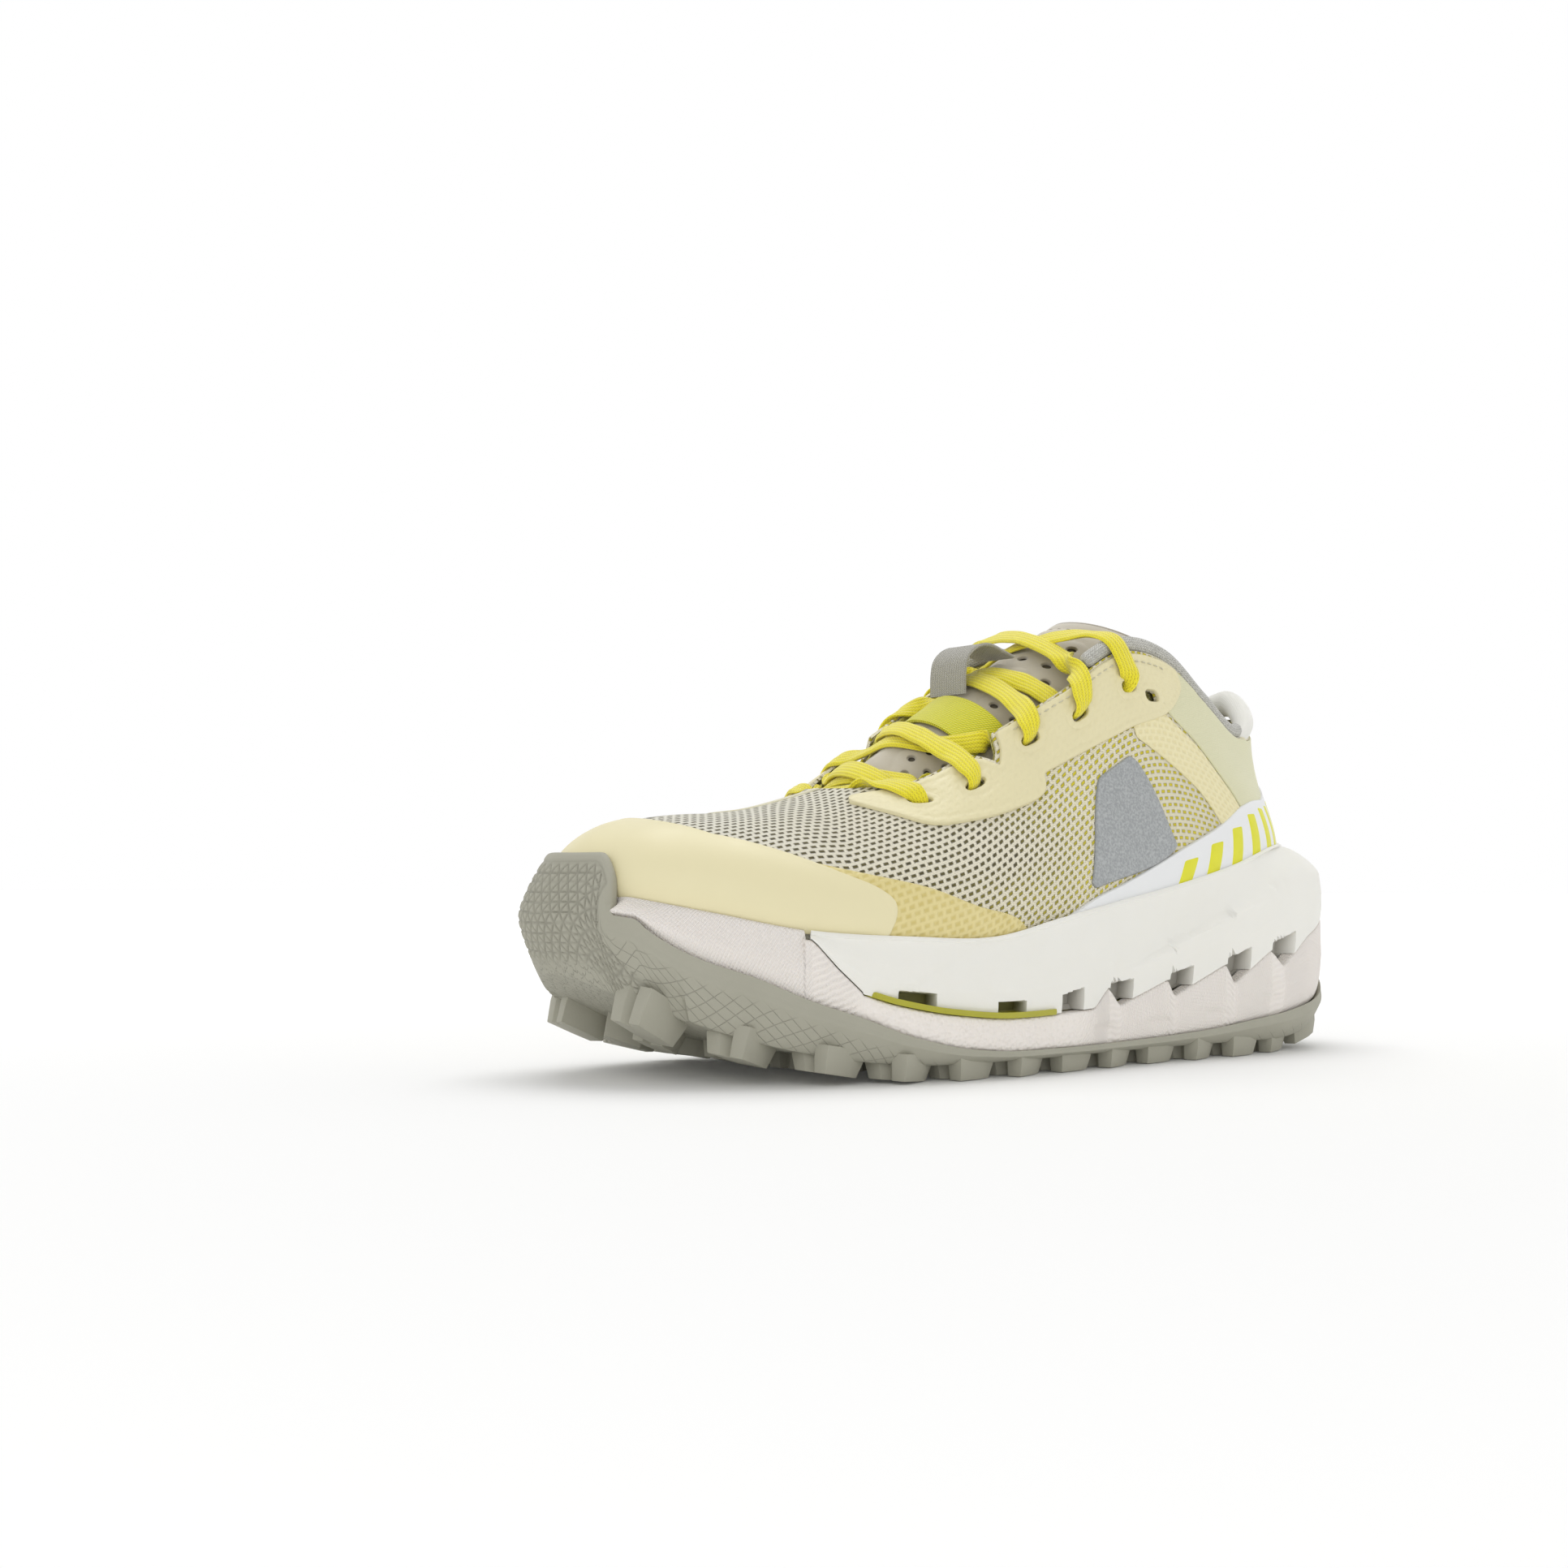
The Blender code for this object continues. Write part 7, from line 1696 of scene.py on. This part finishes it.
seam = [(0.30 + 0.66 * k / 40, -0.84) for k in range(41)] + [(0.968, -0.84 + 1.68 * k / 40) for k in range(1, 40)] + [(0.96 - 0.66 * k / 40, 0.84) for k in range(41)]
seam_pts = np.array(seam)
stitches("tongue_stitching", lambda a, b: (tongue_skin(a, b)[0] - 0.25 * tongue_skin(a, b)[1], tongue_skin(a, b)[1]), seam_pts, M["thread"], "tongue")

# seam along the throat's edge of each eyestay
for side, flip in (("lateral", lambda s: s), ("medial", lambda s: FULL - s)):
    line = np.array([(flip(s), t) for s, t in zip(np.linspace(7.15, 9.9, 60), np.interp(np.linspace(7.15, 9.9, 60), [7.15, 8.0, 9.0, 9.9], [0.945, 0.952, 0.95, 0.94]))])
    stitches(f"eyestay_stitching_{side}", lambda a, b: (skin(a, b)[0] + 1.28 * skin(a, b)[1], skin(a, b)[1]), line, M["thread_light"], "shoe", 2.0, 1.0, 0.2, 0.1)


def strap_piece(name, centre, side, up, half, thick, mat, **kw):
    """Webbing strap with rounded, slightly corded edges."""
    n = 9
    u = np.linspace(-1, 1, n)
    bead = 1 + 0.35 * np.exp(-((np.abs(u) - 0.93) / 0.06) ** 2)
    top = np.stack([u * half, 0.5 * thick * bead], 1)
    low = np.stack([u[::-1] * half, -0.5 * thick * bead], 1)
    section = np.vstack([top, [[half + 0.25, 0.0]], low, [[-half - 0.25, 0.0]]])
    return sweep(name, centre, side, up, section, mat, **kw)


# label loop: a webbing bridge over the crest
ps = np.linspace(0.622, 0.80, 40)
lift = np.interp(ps, np.linspace(0.622, 0.80, 9), [1.3, 6.4, 10.1, 11.2, 11.4, 10.8, 9.0, 4.9, 1.3])
for _ in range(6):
    lift[1:-1] = 0.5 * lift[1:-1] + 0.25 * (lift[:-2] + lift[2:])
P, N = tongue_skin(ps, np.zeros_like(ps))
c = P + lift[:, None] * N
side = np.tile([0.0, 1.0, 0.0], (len(ps), 1))
t = unit(np.gradient(c, axis=0))
strap_piece("label_loop_webbing", c, side, unit(np.cross(side, t)) * np.sign(np.sum(np.cross(side, t) * N, 1))[:, None], 8.1, 0.9, M["label"],
            body="tongue", stands=["tongue_label_loop"], slot="label_webbing")

# elastic band across the tongue, sewn at both wings
qs = np.linspace(-0.82, 0.86, 60)
P, N = tongue_skin(np.full_like(qs, 0.555), qs)
c = P + N * (0.95 + 0.5 * (1 - np.abs(qs)))[:, None]
side = unit(tongue(np.full_like(qs, 0.60), qs) - tongue(np.full_like(qs, 0.51), qs))
strap_piece("elastic_webbing", c, side, N, 7.6, 1.0, M["elastic"], body="tongue", stands=["elastic_band"], slot="elastic_knit")

# flat tape in the seam where the two halves of the mesh meet over the vamp
ss = np.linspace(3.02, 4.98, 60)
c = 0.5 * (free_edge(ss) + free_edge(FULL - ss))
side = np.tile([0.0, 1.0, 0.0], (len(ss), 1))
up = np.cross(side, unit(np.gradient(c, axis=0)))
up = unit(up * np.where(up[:, 2:] < 0, -1.0, 1.0))
strap_piece("vamp_seam_tape", c - 0.12 * up, side, up, 1.3, 0.7, M["thread_light"], slot="mesh_fabric")

# ---------------------------------------------------------------- lace
LACE_T, LACE_W = 1.8, 7.2
OUT_D, IN_D = 1.25 + 0.4 + LACE_T / 2, -(2.7 + 0.5 + LACE_T / 2)


def on_wing(side, s, t, d):
    P, N = skin(np.array([s if side < 0 else FULL - s]), np.array([t]))
    return (P + d * N)[0]


def slot_points(side, k, outward):
    s, t = SLOTS[k]
    pts = [(on_wing(side, s, t, IN_D), 1), (on_wing(side, s, t, -0.6), 1), (on_wing(side, s, t, 1.6), 1), (on_wing(side, s, t + 0.012, OUT_D + 0.5), 1)]
    return pts if outward else pts[::-1]


def edge_one(side, s):
    q = np.array([s if side < 0 else FULL - s])
    p, up, n = edge_frame(q)
    return p[0], up[0], n[0]


def crossing(side, far, s0, s1, p, height, dive=True):
    s_from, s_to = s0 + 0.05, s1 - 0.12
    pts = [(on_wing(side, s_from, 1.0, OUT_D + 0.8), 0)]
    for f in (-0.7, -0.45, -0.2, 0.0, 0.2, 0.45, 0.7):
        share = 1 - (abs(f) / 0.95) ** 2
        pts.append((tongue_at(p + 0.035 * f, f * far, 1.6 + (height - 1.6) * share), 0))
    if dive:
        pts.append((on_wing(far, s_to, 1.0, IN_D), 0))
    else:
        e, up, n = edge_one(far, s_to)
        pts = pts[:-2] + [(e + up * 9.5 - n * 5.5, 0), (e + up * 8.5, 0), (e + up * 3.6 + n * 4.0, 0)]
    return pts


def strand(side, plan):
    s0, t0 = SLOTS[0]
    pts = [(on_wing(side, s0 + 0.12, 0.90, IN_D), 0)]
    here, first = side, True
    for k in (1, 2, 3):
        h, p = plan[k - 1]
        far = -here
        way = crossing(here, far, SLOTS[k - 1][0] + (0.25 if first else 0), SLOTS[k][0], p, h)
        if first:
            way[0] = (on_wing(here, s0 + 0.3, 1.0, IN_D), 0)
        pts += way
        pts.append((on_wing(far, SLOTS[k][0] - 0.06, SLOTS[k][1] + 0.06, IN_D), 0))
        pts += slot_points(far, k, True)
        here, first = far, False
    return pts, here


def full_lace():
    lat, lat_here = strand(-1, [(6.6, 0.28), (3.0, 0.42), (5.0, 0.69)])
    med, med_here = strand(1, [(2.8, 0.27), (6.6, 0.45), (2.4, 0.725)])
    for pts, here, h, p in ((lat, lat_here, 3.0, 0.86), (med, med_here, 6.6, 0.86)):
        far = -here
        s5, t5 = SLOTS[4]
        pts += crossing(here, far, SLOTS[3][0], s5, p, h, dive=False)
        pts += slot_points(far, 4, False)
        pts += [(on_wing(far, s5 - 0.10, t5 - 0.12, IN_D - 1.3), 1), (on_wing(far, s5 - 0.16, t5 - 0.24, IN_D - 1.7), 1)]
    s1, t1 = SLOTS[0]
    a, b = on_wing(-1, s1, 1.0, OUT_D + 0.8), on_wing(1, s1, 1.0, OUT_D + 0.8)
    bar = [(a, 0)] + [(tongue_at(0.20, q, 3.2), 0) for q in (-0.5, 0.0, 0.5)] + [(b, 0)]
    return lat[::-1] + slot_points(-1, 0, True) + bar + slot_points(1, 0, False) + med


def spread(route, step):
    pts, held = [], []
    for (a, ha), (b, hb) in zip(route, route[1:]):
        n = max(1, int(round(np.linalg.norm(b - a) / step)))
        for k in range(n):
            pts.append(a + (b - a) * k / n)
            held.append(bool((ha and k == 0) or (ha and hb)))
    pts.append(route[-1][0])
    held.append(bool(route[-1][1]))
    return np.array(pts), np.array(held)


def tree_of(name):
    ob = bpy.data.objects[name]
    return BVHTree.FromPolygons([tuple(np.array(v.co) * 1000 - SHIFT) for v in ob.data.vertices], [tuple(f.vertices) for f in ob.data.polygons])


def settle(pts, held, trees, reach, between, rounds):
    free = np.where(~held)[0]
    apart = np.abs(np.subtract.outer(np.arange(len(pts)), np.arange(len(pts)))) > 7
    for r in range(rounds):
        if r < rounds - 10:
            mid = 0.5 * (np.roll(pts, 1, 0) + np.roll(pts, -1, 0))
            pts[free] += 0.35 * (mid - pts)[free]
        gap = pts[:, None, :] - pts[None, :, :]
        dist = np.linalg.norm(gap, axis=2)
        for i, j in zip(*np.where((dist < between) & apart & (dist > 1e-6))):
            if not held[i]:
                pts[i] += gap[i, j] / dist[i, j] * (between - dist[i, j]) * 0.5
        for i in free:
            p = Vector(pts[i])
            for tree in trees:
                co, normal, _, d = tree.find_nearest(p, reach + 1.5)
                if co is None:
                    continue
                v = pts[i] - np.array(co)
                if np.dot(v, normal) < 0:
                    pts[i] += np.array(normal) * (reach + d)
                elif 1e-6 < d < reach:
                    pts[i] += v / d * (reach - d)
                p = Vector(pts[i])
    return pts


TREES = [tree_of(n) for n in ("tongue_face_panel", "elastic_webbing", "label_loop_webbing", "upper_mesh", "upper_lining", "eyestay_panel_lateral", "eyestay_panel_medial",
                              "collar_piping_lateral", "collar_piping_medial")]
route, held = spread(full_lace(), 2.2)
route = settle(route, held, TREES, LACE_T / 2 + 0.25, LACE_T + 0.35, 90)
# even spacing, light smoothing, and the side each stretch faces
fine = resample(route, 1.1)
held_fine = np.array([bool(held[np.argmin(np.linalg.norm(route - p, axis=1))]) for p in fine])
for _ in range(12):
    mid = 0.5 * (np.roll(fine, 1, 0) + np.roll(fine, -1, 0))
    mid[0], mid[-1] = fine[0], fine[-1]
    fine = fine + 0.5 * (mid - fine)
hint = np.zeros_like(fine)
pull = np.zeros(len(fine))
slot_at = np.array([on_wing(side, s, t, 0.3) for s, t in SLOTS for side in (-1, 1)])
for i, p in enumerate(fine):
    best = None
    for tree in TREES:
        co, normal, _, d = tree.find_nearest(Vector(p), 9.0)
        if co is not None and (best is None or d < best[0]):
            best = (d, np.array(p) - np.array(co), np.array(normal))
    near_slot = np.linalg.norm(slot_at - p, axis=1).min()
    if best is not None:
        v = best[1] if best[0] > 0.4 else best[2]
        hint[i] = v / max(np.linalg.norm(v), 1e-6)
        pull[i] = 0.5 * float(smoothstep(near_slot, 3.0, 6.5)) * float(smoothstep(9.0 - best[0], 0, 5))
for _ in range(8):
    hint = unit(hint + 0.5 * (np.roll(hint, 1, 0) + np.roll(hint, -1, 0)))
lace_side, lace_up = frames(fine, hint, 120, pull)
ang = np.linspace(0, 2 * math.pi, 29)[:-1]
sec = np.stack([np.sign(np.cos(ang)) * np.abs(np.cos(ang)) ** 0.85 * LACE_W / 2, np.sign(np.sin(ang)) * np.abs(np.sin(ang)) ** 0.72 * LACE_T / 2], 1)
sec[:, 1] *= 1 + 0.10 * np.cos(2 * math.pi * sec[:, 0] / 1.28)
tight = np.array([smoothstep(np.linalg.norm(slot_at - p, axis=1).min(), 1.5, 6.0) for p in fine])
taper = np.stack([0.74 + 0.26 * tight, 1.0 + 0.12 * (1 - tight)], 1)
ends = np.minimum(np.arange(len(fine)), np.arange(len(fine))[::-1]) * 1.1
taper[:, 0] *= 0.45 + 0.55 * smoothstep(ends, 0.0, 8.0)
sweep("lace_flat", fine, lace_side, lace_up, sec, M["lace"], taper=taper, stands=["shoelace"], slot="lace_polyester", smooth=60)
LACE_LENGTH = float(np.linalg.norm(np.diff(fine, axis=0), axis=1).sum())
print("lace length between tips, mm:", round(LACE_LENGTH))
for label, a, b in (("lateral", fine[0], fine[1]), ("medial", fine[-1], fine[-2])):
    d = unit(a - b)
    t = np.array([0.0, 0.4, 0.8, 2.2, 2.5, 2.8, 12.5, 12.8, 13.2, 15.2, 15.8, 16.0])
    r = np.array([0.9, 1.28, 1.35, 1.35, 1.2, 1.32, 1.28, 1.15, 1.25, 1.15, 0.8, 0.3])
    path = a + d * (t[:, None] - 0.3)
    sd, up = frames(path, np.tile([0.0, 0.0, 1.0], (len(path), 1)))
    ring = np.linspace(0, 2 * math.pi, 25)[:-1]
    sweep(f"aglet_tip_{label}", path, sd, up, np.stack([np.cos(ring), np.sin(ring)], 1), M["aglet"], taper=np.stack([r, r], 1),
          stands=[f"aglet_{label}"], slot="aglet_plastic", smooth=60)

# ---------------------------------------------------------------- camera, floor and light
PSI, PITCH, ROLL = math.radians(36.3), math.radians(0.2), math.radians(0.17)
DISTANCE, FOCAL = 594.0, 2394.0
AIM = np.array((-64.0, 18.0, 53.0))
back = np.array((-math.sin(PSI) * math.cos(PITCH), -math.cos(PSI) * math.cos(PITCH), math.sin(PITCH)))
right = unit(np.cross(-back, (0, 0, 1)))
upward = np.cross(right, -back)
x_axis = math.cos(ROLL) * right + math.sin(ROLL) * upward
y_axis = -math.sin(ROLL) * right + math.cos(ROLL) * upward
spot = (AIM + DISTANCE * back + SHIFT) * 0.001
cam = bpy.data.cameras.new("camera")
cam.sensor_width = 36.0
cam.lens = FOCAL / 1932 * 36.0
cam.shift_x, cam.shift_y = -11 / 1932, 131 / 1932
cam.clip_start, cam.clip_end = 0.01, 50.0
cam_ob = bpy.data.objects.new("camera", cam)
bpy.context.scene.collection.objects.link(cam_ob)
cam_ob.matrix_world = Matrix([[x_axis[0], y_axis[0], back[0], spot[0]], [x_axis[1], y_axis[1], back[1], spot[1]],
                              [x_axis[2], y_axis[2], back[2], spot[2]], [0, 0, 0, 1]])
bpy.context.scene.camera = cam_ob

floor_mat = bpy.data.materials.new("studio_floor")
floor_mat.use_nodes = True
fb = floor_mat.node_tree.nodes["Principled BSDF"].inputs
fb["Base Color"].default_value = (0.93, 0.93, 0.925, 1)
fb["Roughness"].default_value = 0.9
fb["Specular IOR Level"].default_value = 0.1
fb["Emission Color"].default_value = (1.0, 1.0, 1.0, 1)
ft = floor_mat.node_tree
tc, ln, mr = ft.nodes.new("ShaderNodeTexCoord"), ft.nodes.new("ShaderNodeVectorMath"), ft.nodes.new("ShaderNodeMapRange")
ln.operation = "LENGTH"
mr.interpolation_type = "SMOOTHSTEP"
mr.inputs["From Min"].default_value, mr.inputs["From Max"].default_value = 0.2, 1.4
mr.inputs["To Min"].default_value, mr.inputs["To Max"].default_value = 0.02, 0.5
ft.links.new(tc.outputs["Object"], ln.inputs[0])
ft.links.new(ln.outputs["Value"], mr.inputs["Value"])
ft.links.new(mr.outputs["Result"], fb["Emission Strength"])
me = bpy.data.meshes.new("studio_floor")
R, S = 12.0, 64
me.from_pydata([(R * math.cos(2 * math.pi * k / S), R * math.sin(2 * math.pi * k / S), -0.0002) for k in range(S)], [], [tuple(range(S))])
me.materials.append(floor_mat)
floor = bpy.data.objects.new("studio_floor", me)
bpy.context.scene.collection.objects.link(floor)


def area(name, place, look, size, watts, color=(1, 1, 1)):
    l = bpy.data.lights.new(name, "AREA")
    l.shape = "RECTANGLE"
    l.size, l.size_y = size
    l.energy = watts
    l.color = color
    ob = bpy.data.objects.new(name, l)
    ob.location = place
    ob.rotation_mode = "QUATERNION"
    ob.rotation_quaternion = (Vector(look) - Vector(place)).to_track_quat("-Z", "Y")
    bpy.context.scene.collection.objects.link(ob)
    return ob


area("key_soft", (0.25, 0.35, 1.5), (0.0, 0.0, 0.05), (1.3, 1.1), 11.5)
area("fill_front", (-1.3, -1.2, 0.8), (-0.05, 0.0, 0.06), (1.2, 1.0), 3.4)
world = bpy.data.worlds.new("studio")
world.use_nodes = True
wt = world.node_tree
sky = wt.nodes["Background"]
sky.inputs["Color"].default_value = (1.0, 1.0, 1.0, 1)
# white at the horizon, dimmer overhead, so that the ground shadow keeps its shape
tc, sp, mr = wt.nodes.new("ShaderNodeTexCoord"), wt.nodes.new("ShaderNodeSeparateXYZ"), wt.nodes.new("ShaderNodeMapRange")
mr.interpolation_type = "SMOOTHSTEP"
mr.inputs["From Min"].default_value, mr.inputs["From Max"].default_value = 0.45, 0.75
mr.inputs["To Min"].default_value, mr.inputs["To Max"].default_value = 1.0, 0.45
wt.links.new(tc.outputs["Generated"], sp.inputs[0])
wt.links.new(sp.outputs["Z"], mr.inputs["Value"])
wt.links.new(mr.outputs["Result"], sky.inputs["Strength"])
bpy.context.scene.world = world
bpy.context.scene.view_settings.view_transform = "Standard"
